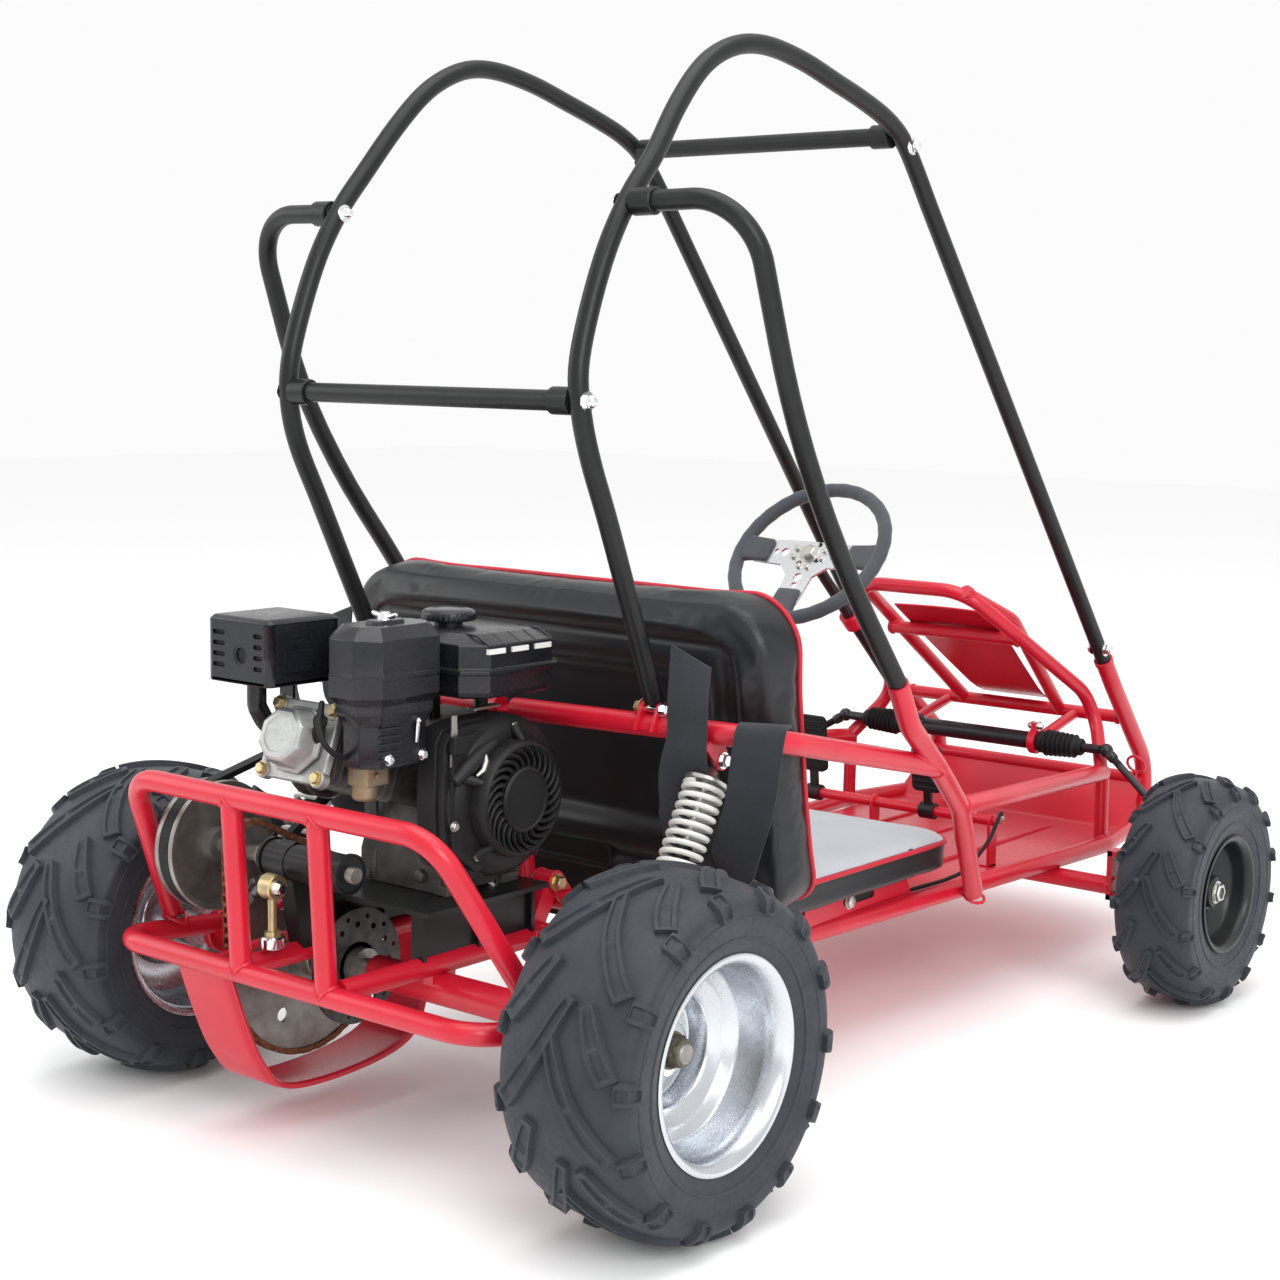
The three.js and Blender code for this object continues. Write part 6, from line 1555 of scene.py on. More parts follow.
@dataclass
class Bench:
    """Bench cushion and back with red piping, on a folded pan that slides in the frame."""

    half: float = 260
    rear: float = 404
    front: float = 896
    low: float = 222.5
    high: float = 268.5
    back_half: float = 357
    back_low: float = 268
    back_height: float = 404
    back_thick: float = 92
    back_foot: float = 401
    lean: float = 0.14
    piping: float = 3.4

    def cushion(self) -> None:
        """The flat cushion with its grey top and black sides."""
        pad = Pad(self.half - 3, (self.front - self.rear) / 2 - 3, 46, 20)
        deep = self.high - self.low
        rings = [(200, 0.3), (120, 0.2), (40, 0.2), (9, 0.4), (2.5, 2.5), (1.2, 8), (2.6, deep * 0.5),
                 (1, deep - 10), (2, deep - 4), (7, deep), (20, deep + 2.5), (50, deep + 5), (90, deep + 7),
                 (140, deep + 8.4), (200, deep + 9)]
        frame = Matrix(((1, 0, 0, 0), (0, -1, 0, -(self.front + self.rear) / 2), (0, 0, 1, self.low),
                        (0, 0, 0, 1)))
        piece = pad.make(rings, frame).build("bench_cushion", [GREY_VINYL, BLACK_VINYL], "seat",
                                             ["seat_cushion"])
        puffed(piece, 6, 3.2, 5)
        level = (self.high - 2.5) * MILLI
        for face in piece.data.polygons:
            face.material_index = 0 if face.center.z > level and face.normal.z > -0.2 else 1
        for vertex in piece.data.vertices:
            vertex.co.z = max(vertex.co.z, self.low * MILLI)
        line = [frame @ Vector((a, b, deep - 2.2)) for a, b in pad.outline(-4)]
        self.welt("cushion_piping", on_surface(piece, line), 1.4)

    def welt(self, name: str, line: list[Vector], proud: float) -> None:
        """A piped seam round a pad.

        Args:
            name: The piece's name.
            line: Points on the pad's surface.
            proud: How far the cord stands out of the pad.
        """
        middle = sum(line, Vector()) / len(line)
        eased = [(line[k - 1] + line[k] * 2 + line[(k + 1) % len(line)]) / 4 for k in range(len(line))]
        out = [p + (p - middle).normalized() * proud for p in eased]
        form = Form()
        form.sweep(out, self.piping, 10, loop=True)
        form.build(name, [RED_PIPING], "seat")

    def back_frame(self) -> Matrix:
        """Where the back stands: x across, y up along it and z to the front."""
        reach = self.back_height / 2
        up = Vector((0, math.sin(self.lean), math.cos(self.lean)))
        front = Vector((0, -math.cos(self.lean), math.sin(self.lean)))
        middle = at(0, self.back_foot - self.back_thick / 2 - reach * math.sin(self.lean),
                    self.back_low + reach * math.cos(self.lean))
        turn = Matrix((X, up, front)).transposed().to_4x4()
        return Matrix.Translation(middle) @ turn

    def back(self) -> None:
        """The tall back, with a border and two steps behind."""
        pad = Pad(self.back_half - 4, self.back_height / 2 - 4, 74, 40, 12, 18)
        t = self.back_thick / 2
        rings = [(150, t + 5), (100, t + 4), (60, t + 1.5), (30, t - 2), (12, t - 6), (5, t - 11),
                 (2, t - 18), (1, 10), (1, -10), (3, 12 - t), (8, 5 - t), (14, 1 - t), (24, -1 - t),
                 (36, 0 - t), (44, 4 - t), (48, 11 - t), (51, 17 - t), (54, 11 - t), (60, 6.5 - t),
                 (72, 5 - t), (84, 7 - t), (92, 12 - t), (97, 19 - t), (102, 25 - t), (112, 27 - t),
                 (150, 26 - t)]
        frame = self.back_frame()
        piece = pad.make(rings, frame).build("bench_back", [BLACK_VINYL], "seat", ["seat_back"])
        puffed(piece, 6, 3.0, 6)
        line = [frame @ Vector((a, b, t - 12)) for a, b in pad.outline(-6)]
        self.welt("back_front_piping", on_surface(piece, line), 1.5)
        seam = [frame @ Vector((a, b, 7 - t)) for a, b in pad.outline(-4)]
        self.seam("back_rear_seam", on_surface(piece, seam))

    def seam(self, name: str, line: list[Vector]) -> None:
        """A row of stitches along a seam."""
        form = Form()
        walked = 0.0
        for p, q in zip(line, [*line[1:], line[0]]):
            step = (q - p).length
            while walked < step:
                start = p.lerp(q, walked / step)
                end = start + (q - p).normalized() * 3.4
                form.sweep([start, start.lerp(end, 0.5) + (end - start).cross(X).normalized() * 0.1, end],
                           [0.3, 0.75, 0.3], 6)
                walked += 5.4
            walked -= step
        form.build(name, [BLACK_THREAD], "seat")

    def pan(self) -> Form:
        """The folded seat pan with its side flanges, tail and back stay."""
        form = Form()
        base, top, half = 219.2, 222.2, 217.45
        form.plate([(-half, -402), (half, -402), (half, -828), (-half, -828)], Vector((0, 0, base)), X, Y,
                   top - base)
        form.plate([(-176, -300), (176, -300), (176, -402), (-176, -402)], Vector((0, 0, base)), X, Y,
                   top - base)
        for side in (-1, 1):
            near, far = side * (half - 3), side * half
            form.side_plate([(560, base), (765, base), (758, base - 24), (567, base - 24)], min(near, far),
                            max(near, far))
        stay = [(-90, base), (90, base), (90, 320), (82, 328), (-82, 328), (-90, 320)]
        form.plate(stay, Vector((0, -300, 0)), X, Z, 6)
        return form

    def slide_bolts(self) -> Form:
        """The bolts that ride in the slots."""
        form = Form()
        form.bolt(at(220.4, 660, 208), X, 9, 5)
        form.bar(at(214, 660, 208), at(222, 660, 208), 4.5, 12)
        return form.both()

    def make(self) -> None:
        """Builds cushion, back, pan and bolts."""
        self.cushion()
        self.back()
        self.pan().build("seat_pan_sheet", [CAGE_BLACK], "seat", ["seat_pan"], bevel=0.6)
        self.slide_bolts().build("seat_slide_bolts", [ZINC], "seat")


@dataclass
class Belts:
    """The two belts of woven webbing that hang behind the back."""

    width: float = 59
    thick: float = 2
    cut: float = 11
    path: tuple[Triple, ...] = (
        (298, 190, 590), (298, 188, 568), (297, 187, 540), (296, 189, 512), (293, 190, 484), (284, 199, 455),
        (276, 211, 427), (266, 227, 392), (270, 243, 345), (296, 248, 316), (322, 242, 328), (352, 214, 372),
        (378, 202, 430), (391, 194, 480), (395, 194, 510), (395, 200, 525), (391, 212, 529), (385, 223, 524))
    across: tuple[Triple, ...] = ((1, 0, -0.42), (1, 0, -0.15), (1, 0, 0), (1, 0, 0), (1, 0.1, 0),
                                  (0.85, 0.5, 0), (0.55, 0.8, 0), (0.85, 0.5, 0), (1, 0, 0.6), (0, 0, 1),
                                  (-1, 0, 1), (-1, -0.2, 0), (-1, -0.35, 0), *((-1, -0.45, 0),) * 5)

    def strap(self) -> tuple[Form, float]:
        """One belt and its length."""
        line = smooth(route(self.path), 8)
        sides = smooth([Vector((a, -b, c)).normalized() for a, b, c in self.across], 8)
        form = Form()
        rows, walked, lays = [], 0.0, []
        shares = (-1, -0.92, -0.5, 0, 0.5, 0.92, 1)
        for i, p in enumerate(line):
            before, after = line[max(i - 1, 0)], line[min(i + 1, len(line) - 1)]
            along = (after - before).normalized()
            side = sides[i] - along * sides[i].dot(along)
            side.normalize()
            face = along.cross(side)
            walked += (p - line[max(i - 1, 0)]).length
            cup = 0.8 * math.sin(walked / 47)
            row, lay = [], []
            for sign in (1, -1):
                for share in shares if sign > 0 else shares[::-1]:
                    thick = self.thick / 2 * (1.12 if abs(share) == 0.92 else 0.7 if abs(share) == 1
                                              else 0.92)
                    slope = along * (self.cut * (1 - share)) if i == 0 else Vector()
                    lift = face * (sign * thick + cup * (1 - share * share))
                    row.append(p + side * (share * self.width / 2) + lift - slope)
                    lay.append((share * self.width / 2 * MILLI, walked * MILLI))
            rows.append(row)
            lays += lay
        start = form.skin(rows, caps=True)
        form.lays.update({start + i: lay for i, lay in enumerate(lays)})
        return form, walked

    def make(self) -> None:
        """Builds both belts."""
        for side, name in ((1, "left"), (-1, "right")):
            form, length = self.strap()
            piece = form.moved(Matrix.Scale(side, 4, X)).build(
                "belt_webbing_" + name, [WEBBING], "frame", ["seat_belt_" + name], sharp=60)
            LOG.info("%s belt is %.0f mm long", name, length)


@dataclass
class Steering:
    """Padded wheel with its hub plate, column, pinion, rack with boots and tie rods."""

    wheel: Triple = (100, 1009, 643)
    foot: Triple = (100, 1352, 332)
    rim: float = 128
    grip: float = 11
    dish: float = 4
    spokes: tuple[float, ...] = (0, 90, 180)
    hub: float = 38
    arm: float = 21
    arm_reach: float = 98
    column: float = 9
    housing: float = 14
    housing_half: float = 142
    boot_start: float = 132
    boot_end: float = 208
    rod_end: Triple = (385, 1301, 246)
    ball_out: float = 250

    def frame(self) -> Matrix:
        """The wheel's own frame: x across, y towards the driver's lap and z up the column."""
        wheel, foot = at(*self.wheel), at(*self.foot)
        axis = (wheel - foot).normalized()
        down = axis.cross(X)
        return Matrix.Translation(wheel) @ Matrix((X, down, axis)).transposed().to_4x4()

    def rim_ring(self) -> Form:
        """The padded rim with its finger grips, and the pads over the spokes."""
        form = Form()
        steps = 120
        line, radii = [], []
        for k in range(steps):
            a = 2 * math.pi * k / steps
            line.append(Vector((self.rim * math.cos(a), self.rim * math.sin(a), self.dish)))
            radii.append(self.grip * (1 + 0.03 * math.sin(a * 30)))
        form.sweep(line, radii, 20, loop=True)
        for spoke in self.spokes:
            a = math.radians(spoke)
            out, side = Vector((math.cos(a), math.sin(a), 0)), Vector((-math.sin(a), math.cos(a), 0))
            rows = []
            for r, half, thick in ((72, 16, 2), (74, 20, 4.4), (90, 21, 5.2), (108, 22, 6.5), (124, 25, 8)):
                rows.append([out * r + side * (half * x) + Vector((0, 0, self.dish + 0.3 + thick * z))
                             for x, z in rounded(1, 1, 0.5, 5)])
            form.skin(rows, caps=True)
        return form.moved(self.frame())

    def plate(self) -> Form:
        """The three-armed hub plate with its holes."""
        form = Form()
        outline = []
        for spoke in self.spokes:
            a = math.radians(spoke)
            out, side = (math.cos(a), math.sin(a)), (-math.sin(a), math.cos(a))
            for r, s in ((self.hub * 1.15, -1.15), (self.arm_reach, -1), (self.arm_reach, 1),
                         (self.hub * 1.15, 1.15)):
                outline.append((out[0] * r + side[0] * s * self.arm, out[1] * r + side[1] * s * self.arm))
        holes = [circle(5, 16, (22 * math.cos(a), 22 * math.sin(a)))
                 for a in [math.radians(s + 60) for s in self.spokes]]
        for spoke in self.spokes:
            a = math.radians(spoke)
            for r, size in ((46, 8), (62, 5.5)):
                holes.append(circle(size, 20, (r * math.cos(a), r * math.sin(a))))
        form.plate(outline, Vector((0, 0, -2)), X, Y, 4, [circle(9.4, 20), *holes])
        return form.moved(self.frame())

    def wheel_nuts(self) -> Form:
        """Hub nut and the screws of the plate."""
        form = Form()
        form.bolt(Vector((0, 0, 2)), Z, 13, 9)
        for spoke in self.spokes:
            for turn in (-17, 17):
                a = math.radians(spoke + turn)
                form.bolt(Vector((27 * math.cos(a), 27 * math.sin(a), 2)), Z, 4.6, 3)
        return form.moved(self.frame())

    def shaft(self) -> Form:
        """The column with its hub boss."""
        form = Form()
        wheel, foot = at(*self.wheel), at(*self.foot)
        axis = (wheel - foot).normalized()
        top = (wheel - foot).length
        form.lathe([(0, 16), (self.column, 16), (self.column, top - 18), (17, top - 14), (20, top - 10),
                    (20, top - 2.4), (0, top - 2.4)], foot, axis, 32)
        return form

    def rack_case(self) -> Form:
        """The rack's housing with the pinion boss and its cap."""
        form = Form()
        wheel, foot = at(*self.wheel), at(*self.foot)
        axis = (wheel - foot).normalized()
        rack = Vector((0, foot.y, foot.z))
        r, half = self.housing, self.housing_half
        form.lathe([(8.6, -half), (r - 1, -half), (r, 1 - half), (r, half - 1), (r - 1, half), (8.6, half)],
                   rack, X, 36, loop=True)
        form.lathe([(0, -19), (13, -18), (14.5, -16), (14.5, 14.5), (12, 16), (0, 16)], foot, axis, 32)
        form.lathe([(0, -22), (9, -22), (9, -18), (0, -18)], foot, axis, 6)
        return form

    def boots(self) -> Form:
        """Ribbed rubber boots over the ends of the rack."""
        form = Form()
        rack = Vector((0, -self.foot[1], self.foot[2]))
        length = self.boot_end - self.boot_start
        profile = [(14.2, 0), (17, 0), (18, 2), (18, 7)]
        ribs = 7
        for k in range(ribs):
            for share in (0.0, 0.25, 0.5, 0.75):
                a = 2 * math.pi * share
                base = 19.4 - 3.2 * (k / ribs)
                profile.append((base - 2.6 * math.cos(a), 9 + (length - 18) * (k + share) / ribs))
        profile += [(13, length - 7), (14, length - 5), (14, length - 2), (12.6, length), (8.4, length)]
        form.lathe(profile, rack + X * self.boot_start, X, 40, loop=True)
        return form.both()

    def rods(self) -> Form:
        """Each end of the rack with its ball, the tie rod and the rod end."""
        form = Form()
        rack = Vector((0, -self.foot[1], self.foot[2]))
        ball, end = rack + X * self.ball_out, at(*self.rod_end)
        way = (end - ball).normalized()
        form.bar(rack + X * (self.boot_end - 6), rack + X * (self.ball_out - 10), 7.6, 20)
        form.ball(ball, 11.4, 24)
        form.lathe([(6, 8), (8, 9), (8.6, 12), (8.6, 20), (7.4, 23), (6, 24), (6, 40), (0, 40)], ball, way,
                   24)
        span = (end - ball).length
        form.lathe([(0, 24), (6, 24), (6, span - 44), (8.4, span - 42), (8.4, span - 30), (7.6, span - 28),
                    (7, span - 10), (0, span - 8)], ball, way, 24)
        form.lathe([(6, span - 56), (9.6, span - 56), (9.6, span - 50), (6, span - 50)], ball, way, 6,
                   loop=True)
        form.lathe([(7.4, -5.6), (11.4, -5.6), (12, -4.6), (12, 4.6), (11.4, 5.6), (7.4, 5.6)], end, Z, 28,
                   loop=True)
        return form.both()

    def rack_bolts(self) -> Form:
        """Balls and studs of the rod ends."""
        form = Form()
        end = at(*self.rod_end)
        form.ball(end, 7.6, 18)
        form.bar(end - Z * 6, end + Z * 13, 4, 12)
        form.bolt(end + Z * 6.2, Z, 7, 5.4)
        return form.both()

    def make(self) -> None:
        """Builds wheel, column, rack and tie rods."""
        self.rim_ring().build("wheel_rim_foam", [FOAM], "steering", ["steering_wheel"], sharp=60)
        self.plate().build("wheel_hub_plate", [HUB_PLATE], "steering", bevel=0.5)
        self.wheel_nuts().build("wheel_nuts", [ZINC], "steering")
        self.shaft().build("steering_column", [BLACK_PLASTIC], "steering", ["steering_shaft"])
        self.rack_case().build("rack_case", [BLACK_PLASTIC], "frame", ["rack_housing"])
        self.boots().build("rack_boots", [BLACK_RUBBER], "frame", sharp=70)
        self.rods().build("tie_rods", [BLACK_PLASTIC], "rack", ["rack_bar", "tie_rod_left", "tie_rod_right"])
        self.rack_bolts().build("rod_end_studs", [ZINC], "rack")


@dataclass
class Knuckles:
    """Steering knuckles with stub axle and steering arm."""

    king: Triple = (385, 1201, 172)
    spindle_end: float = 521.5
    shoulder_out: float = 451.7

    def form(self) -> Form:
        """One knuckle."""
        form = Form()
        king = at(*self.king)
        form.lathe([(6.4, -29.6), (13, -29.6), (14, -28.6), (14, 28.6), (13, 29.6), (6.4, 29.6)], king, Z, 36,
                   loop=True)
        form.lathe([(14, 8), (14, self.shoulder_out - 387), (12.6, self.shoulder_out - 385.3),
                    (9, self.shoulder_out - 385), (9, self.spindle_end - 387), (8, self.spindle_end - 385),
                    (0, self.spindle_end - 385), (0, 8)], king, X, 32, loop=True)
        form.weld(king + X * 20, -X, 14, king, Z, 14, 2.2)
        arm = hull([*circle(9, 18, (385, 1301)), (394, 1201), (376, 1201), (396, 1215), (374, 1215)])
        form.plate(arm, Vector((0, 0, 189)), X, -Y, -10)
        form.lathe([(0, 0), (9, 0), (9, 34), (6, 37), (4.6, 38), (4.6, 44), (0, 44)], at(385, 1301, 198.5), Z,
                   24)
        return form

    def make(self) -> None:
        """Builds both knuckles."""
        for side, name in ((1, "left"), (-1, "right")):
            self.form().moved(Matrix.Scale(side, 4, X)).build(
                "steering_knuckle_" + name, [BLACK_PLASTIC], "knuckle_" + name, ["knuckle_" + name],
                bevel=0.6)


@dataclass
class Pedals:
    """Gas and brake pedal with ribbed pads, and the brake's cable."""

    bar: Triple = (0, 1110, 245)
    lean: float = 0.12
    height: float = 92
    brake_out: float = 146
    gas_out: float = -70
    gas_share: float = 0.8
    cable_route: tuple[Triple, ...] = (
        (-200, 1108, 246), (-207, 1098, 262), (-213, 1078, 258), (-212, 1050, 226), (-200, 1010, 190),
        (-190, 970, 179), (-184, 900, 177.8), (-178, 740, 177.6), (-172, 620, 177.6), (-168, 530, 177.6),
        (-164, 430, 188), (-160, 350, 196), (-158, 300, 204), (-158, 264, 226), (-158, 252, 245))

    def pedal(self, out: float, share: float) -> tuple[Form, Form]:
        """The steel of one pedal, and its rubber pad."""
        steel, rubber = Form(), Form()
        height = self.height * share
        turn = Matrix.Translation(at(out, self.bar[1], self.bar[2])) @ Matrix.Rotation(-self.lean, 4, X)
        steel.lathe([(8.5, -13), (12.4, -13), (13, -12.4), (13, 12.4), (12.4, 13), (8.5, 13)], Vector(), X,
                    28, loop=True)
        stem = [(-6.5, 11), (6.5, 11), (6.5, 11 + height * 0.5), (-6.5, 11 + height * 0.5)]
        steel.plate(stem, Vector((0, -3.6, 0)), X, Z, -7.2)
        foot = 11 + height * 0.28
        pad = [(a, foot + b + height * 0.5) for a, b in rounded(26, height * 0.5, 9)]
        steel.plate(pad, Vector((0, -3.9, 0)), X, Z, -2.6)
        rubber.plate(pad, Vector((0, 1.0, 0)), X, Z, -3.4)
        ribs = 7
        for k in range(ribs):
            level = foot + height * (k + 0.7) / (ribs + 0.4)
            rubber.sweep([Vector((-22, 4.6, level)), Vector((22, 4.6, level))], 2.0, 8)
        return steel.moved(turn), rubber.moved(turn)

    def cable(self) -> None:
        """The brake cable's cover, from the pedal bar to the swing pivot."""
        path = smooth(route(self.cable_route), 10)
        form = Form()
        form.sweep(path, 3.0, 14)
        piece = form.build("brake_cable_cover", [BLACK_RUBBER], "frame", ["brake_cable"])
        ends = Form()
        ferrule = [(3.1, 0), (5, 0), (5.4, 1), (5.4, 9), (4.4, 14), (3.1, 15)]
        for end, onward in ((path[0], path[1]), (path[-1], path[-2])):
            ends.lathe(ferrule, end, onward - end, 20, loop=True)
        ferrules = ends.build("brake_cable_ferrules", [ZINC], "frame")

    def make(self) -> None:
        """Builds both pedals."""
        for body, out, share in (("gas_pedal", self.gas_out, self.gas_share),
                                 ("brake_pedal", self.brake_out, 1.0)):
            steel, rubber = self.pedal(out, share)
            steel.build(body + "_arm", [CAGE_BLACK], body, [body], bevel=0.5)
            rubber.build(body + "_pad", [BLACK_RUBBER], body)


@dataclass
class SwingUnit:
    """Rear swing arm with axle tubes, engine plate and chain guard, and the bumper."""

    axle_up: float = 202
    axle_tube: float = 20
    long_out: float = 80
    long_tube: float = 13
    long_rear: float = -160
    long_front: float = 186
    long_up: float = 232
    side_tube: float = 12
    pivot: Triple = (0, 215, 290)
    shock_foot: Triple = (308, 100, 250)
    plate_up: float = 296
    bumper_tube: float = 13
    upright_out: float = 72
    bumper_top: Triple = (250, -186, 437)
    bumper_leg: Triple = (304, -86, 246)
    bumper_low: Triple = (304, -172, 228)
    bumper_arm: Triple = (304, -10, 214)
    knee: Triple = (292, 100, 227)
    flange_out: float = 316
    guard_radius: float = 150
    bearings: Pair = (68, 92)
    jack: Triple = (0, -90, 345)
    bolts: tuple[Pair, ...] = ((-52, -40), (-52, -120), (80, -40), (80, -120))
    guard_shares: tuple[Pair, ...] = ((-1.147, 0.173), (-0.8, -0.68), (-0.37, -0.99), (0.83, -0.89),
                                      (1.13, -0.28), (1.33, 0.29))

    def arms(self) -> Form:
        """Axle tubes, long tubes, cross arms and the front tube."""
        form = Form()
        up, r = self.axle_up, self.axle_tube
        for start, end in ((-self.flange_out, 26), (205, self.flange_out)):
            form.lathe([(13.4, start), (r - 1, start), (r, start + 1), (r, end - 1), (r - 1, end),
                        (13.4, end)],
                       Vector((0, 0, up)), X, 36, loop=True)
        for place in (-self.flange_out, self.flange_out - 14):
            form.lathe([(r, place), (27, place), (28, place + 1), (28, place + 13), (27, place + 14),
                        (r, place + 14)],
                       Vector((0, 0, up)), X, 40, loop=True)
        for side in (-1, 1):
            out = side * self.long_out
            form.bar(at(out, self.long_rear, self.long_up), at(out, self.long_front, self.long_up),
                     self.long_tube, 24)
            far = side * self.knee[0]
            knee, near, inner = at(far, *self.knee[1:]), at(far, 40, 213), at(side * 150, 150, 231)
            form.bar(at(far, 14, up), knee, self.side_tube, 20)
            form.weld(near, at(far, 0, up) - near, self.side_tube, at(0, 0, up), X, r)
            form.bar(knee, at(side * (self.long_out + 6), 174, self.long_up), self.side_tube, 20)
            form.ball(knee, self.side_tube, 20)
            form.weld(inner, at(out, 174, self.long_up) - inner, self.side_tube, at(out, 174, self.long_up),
                      Y, self.long_tube)
            form.side_plate([(-18, up + 4), (18, up + 4), (20, self.long_up - 6), (-20, self.long_up - 6)],
                            out - 8, out + 8)
        front = at(0, self.long_front, self.long_up)
        form.bar(front - X * self.long_out, front + X * self.long_out, self.long_tube, 24)
        for side in (-1, 1):
            form.ball(front + X * (side * self.long_out), self.long_tube, 20)
        return form

    def brackets(self) -> Form:
        """Pivot bushes and shock feet."""
        form = Form()
        for side in (-1, 1):
            middle = side * 60
            bore, eye = self.pivot[1:], self.shock_foot[1:]
            outline = hull([(173, 236), (199, 236), *circle(14, 24, bore)])
            form.side_plate(outline, middle - 9, middle + 9, [circle(6.4, 18, bore)])
            foot = at(side * self.shock_foot[0], *eye)
            for face in (-1, 1):
                start = foot.x + face * 9
                low, high = min(start, start + face * 5), max(start, start + face * 5)
                form.side_plate(hull([*circle(12, 20, eye), (84, 222), (116, 230)]), low, high,
                                [circle(4.7, 14, eye)])
        return form

    def jack_housing(self) -> Form:
        """The jackshaft's bearing housing and its stay."""
        form = Form()
        stay = [(-40, 296), (-68, 345), (-72, 362), (-90, 370), (-106, 362), (-101, 345), (-80, 238),
                (-40, 238)]
        form.side_plate(stay, *self.bearings, [circle(23, 30, self.jack[1:])])
        jack = at(*self.jack)
        form.lathe([(10.5, -24), (21, -24), (22, -23), (22, 111), (21, 112), (10.5, 112)], jack, X, 36,
                   loop=True)
        for start in (-25, 108):
            form.lathe([(22, start), (24.5, start), (24.5, start + 5), (22, start + 5)], jack, X, 36,
                       loop=True)
        return form

    def engine_plate(self) -> Form:
        """The plate that the engine stands on, with its risers and slots."""
        form = Form()
        slots = [[(x + a, y + b) for a, b in rounded(5, 14, 5, 4)] for x, y in self.bolts]
        outline = [(-100, 40), (100, 40), (100, -172), (-100, -172)]
        form.plate(outline, Vector((0, 0, self.plate_up)), X, Y, 6, slots)
        for side in (-1, 1):
            low, high = sorted(side * v for v in self.bearings)
            form.side_plate([(-36, 240), (160, 240), (160, self.plate_up), (-36, self.plate_up)], low + 9,
                            high - 9)
            for ahead in (-34, 60, 154):
                form.block(at(low + 2, ahead + 3, 242), at(high - 2, ahead - 3, self.plate_up))
        return form

    def guard(self) -> Form:
        """The curved guard strip round the sprocket, with a rolled edge."""
        form = Form()
        r = self.guard_radius
        line = smooth([at(0, r * a, self.axle_up + r * b) for a, b in self.guard_shares], 12)
        rows = []
        middle = Vector((0, 0, self.axle_up))
        for i, p in enumerate(line):
            before, after = line[max(i - 1, 0)], line[min(i + 1, len(line) - 1)]
            along = (after - before).normalized()
            out = Vector((0, along.z, -along.y))
            if out.dot(p - middle) < 0:
                out = -out
            section = [(96, 0), (98, -4.5), (102, -6.5), (106, -5), (108, -1.2), (112, 0), (188, 0),
                       (190, -0.6), (190, 2), (112, 2.5), (106, 0.6), (102, -3), (99.5, -2), (98.5, 1)]
            rows.append([Vector((x, p.y, p.z)) + out * lift for x, lift in section])
        form.skin(rows, caps=True)
        stay = bent([at(96, -40, 238), at(130, -60, 240), at(150, -158, 222)], 22)
        form.sweep(stay, 6, 16)
        return form

    def bumper(self) -> Form:
        """Upper and lower loops with their uprights."""
        form = Form()
        tube = self.bumper_tube
        for end, corner, bend in ((self.bumper_leg, self.bumper_top, 55),
                                  (self.bumper_arm, self.bumper_low, 50)):
            half = route([end, corner])
            form.tube([*half, *flipped(half)[::-1]], tube, bend, 24)
        for side in (-1, 1):
            out = side * self.upright_out
            up, down = at(out, *self.bumper_top[1:]), at(out, *self.bumper_low[1:])
            form.bar(down, up, tube, 24)
            form.weld(up.lerp(down, 0.4), up - down, tube, up, X, tube)
            form.weld(down.lerp(up, 0.4), down - up, tube, down, X, tube)
            foot, reach = at(side * self.bumper_leg[0], *self.bumper_leg[1:]), Vector((0, 12, 24))
            form.weld(foot + reach, -reach, tube, foot - Z * 20, Y, tube)
        return form

    def fixings(self) -> Form:
        """Bolts of the shock feet, engine plate and bearings."""
        form = Form()
        for side in (-1, 1):
            foot = at(side * self.shock_foot[0], *self.shock_foot[1:])
            form.bar(foot - X * 20, foot + X * 20, 4.4, 12)
            form.bolt(foot + X * (side * 14.3), X * side, 8, 6)
            form.acorn(foot - X * (side * 14.3), X * -side, 7.5, 1)
        for x, y in self.bolts:
            form.bolt(Vector((x, y, self.plate_up + 6)), Z, 7.5, 6)
        for angle in (0.5, 2.6, 4.7):
            for way in (X, -X):
                spot = Vector((0, 24 * math.cos(angle), self.axle_up + 24 * math.sin(angle)))
                form.bolt(spot + way * self.flange_out, way, 3.4, 2)
        return form

    def chain_adjuster(self) -> Form:
        """Upright stud with its eye and bolt that sets the chain, on a tab of the long tube."""
        form = Form()
        foot = at(66, -130, 250)
        eye = foot + Z * 73
        form.lathe([(0, -10), (14, -10), (15.5, -8.5), (15.5, 8.5), (14, 10), (0, 10)], eye, X, 28)
        form.bar(foot, eye, 5.2, 16)
        form.lathe([(0, 14), (10, 14), (10, 20), (0, 20)], foot, Z, 6)
        form.bolt(eye - X * 10, -X, 7.5, 7, 1)
        form.lathe([(0, 0), (14, 0), (15, 1), (15, 12), (13, 14), (0, 14)], foot, Z, 28, 1)
        return form

    def make(self) -> None:
        """Builds arm, plate, guard, bumper and bolts."""
        form = self.arms().take(self.brackets())
        form.build("swing_arm_tubes", [RED], "swing_unit", ["swingarm"], sharp=45)
        self.jack_housing().take(self.engine_plate()).build("engine_plate_and_jack_housing", [CAGE_BLACK],
                                                            "swing_unit", bevel=0.5)
        self.chain_adjuster().build("chain_adjuster", [BRASS, CHROME], "swing_unit")
        self.guard().build("sprocket_guard", [RED], "swing_unit")
        self.bumper().build("rear_bumper_tubes", [RED], "swing_unit", ["rear_bumper"])
        self.fixings().build("swing_bolts", [CHROME, BRASS], "swing_unit")


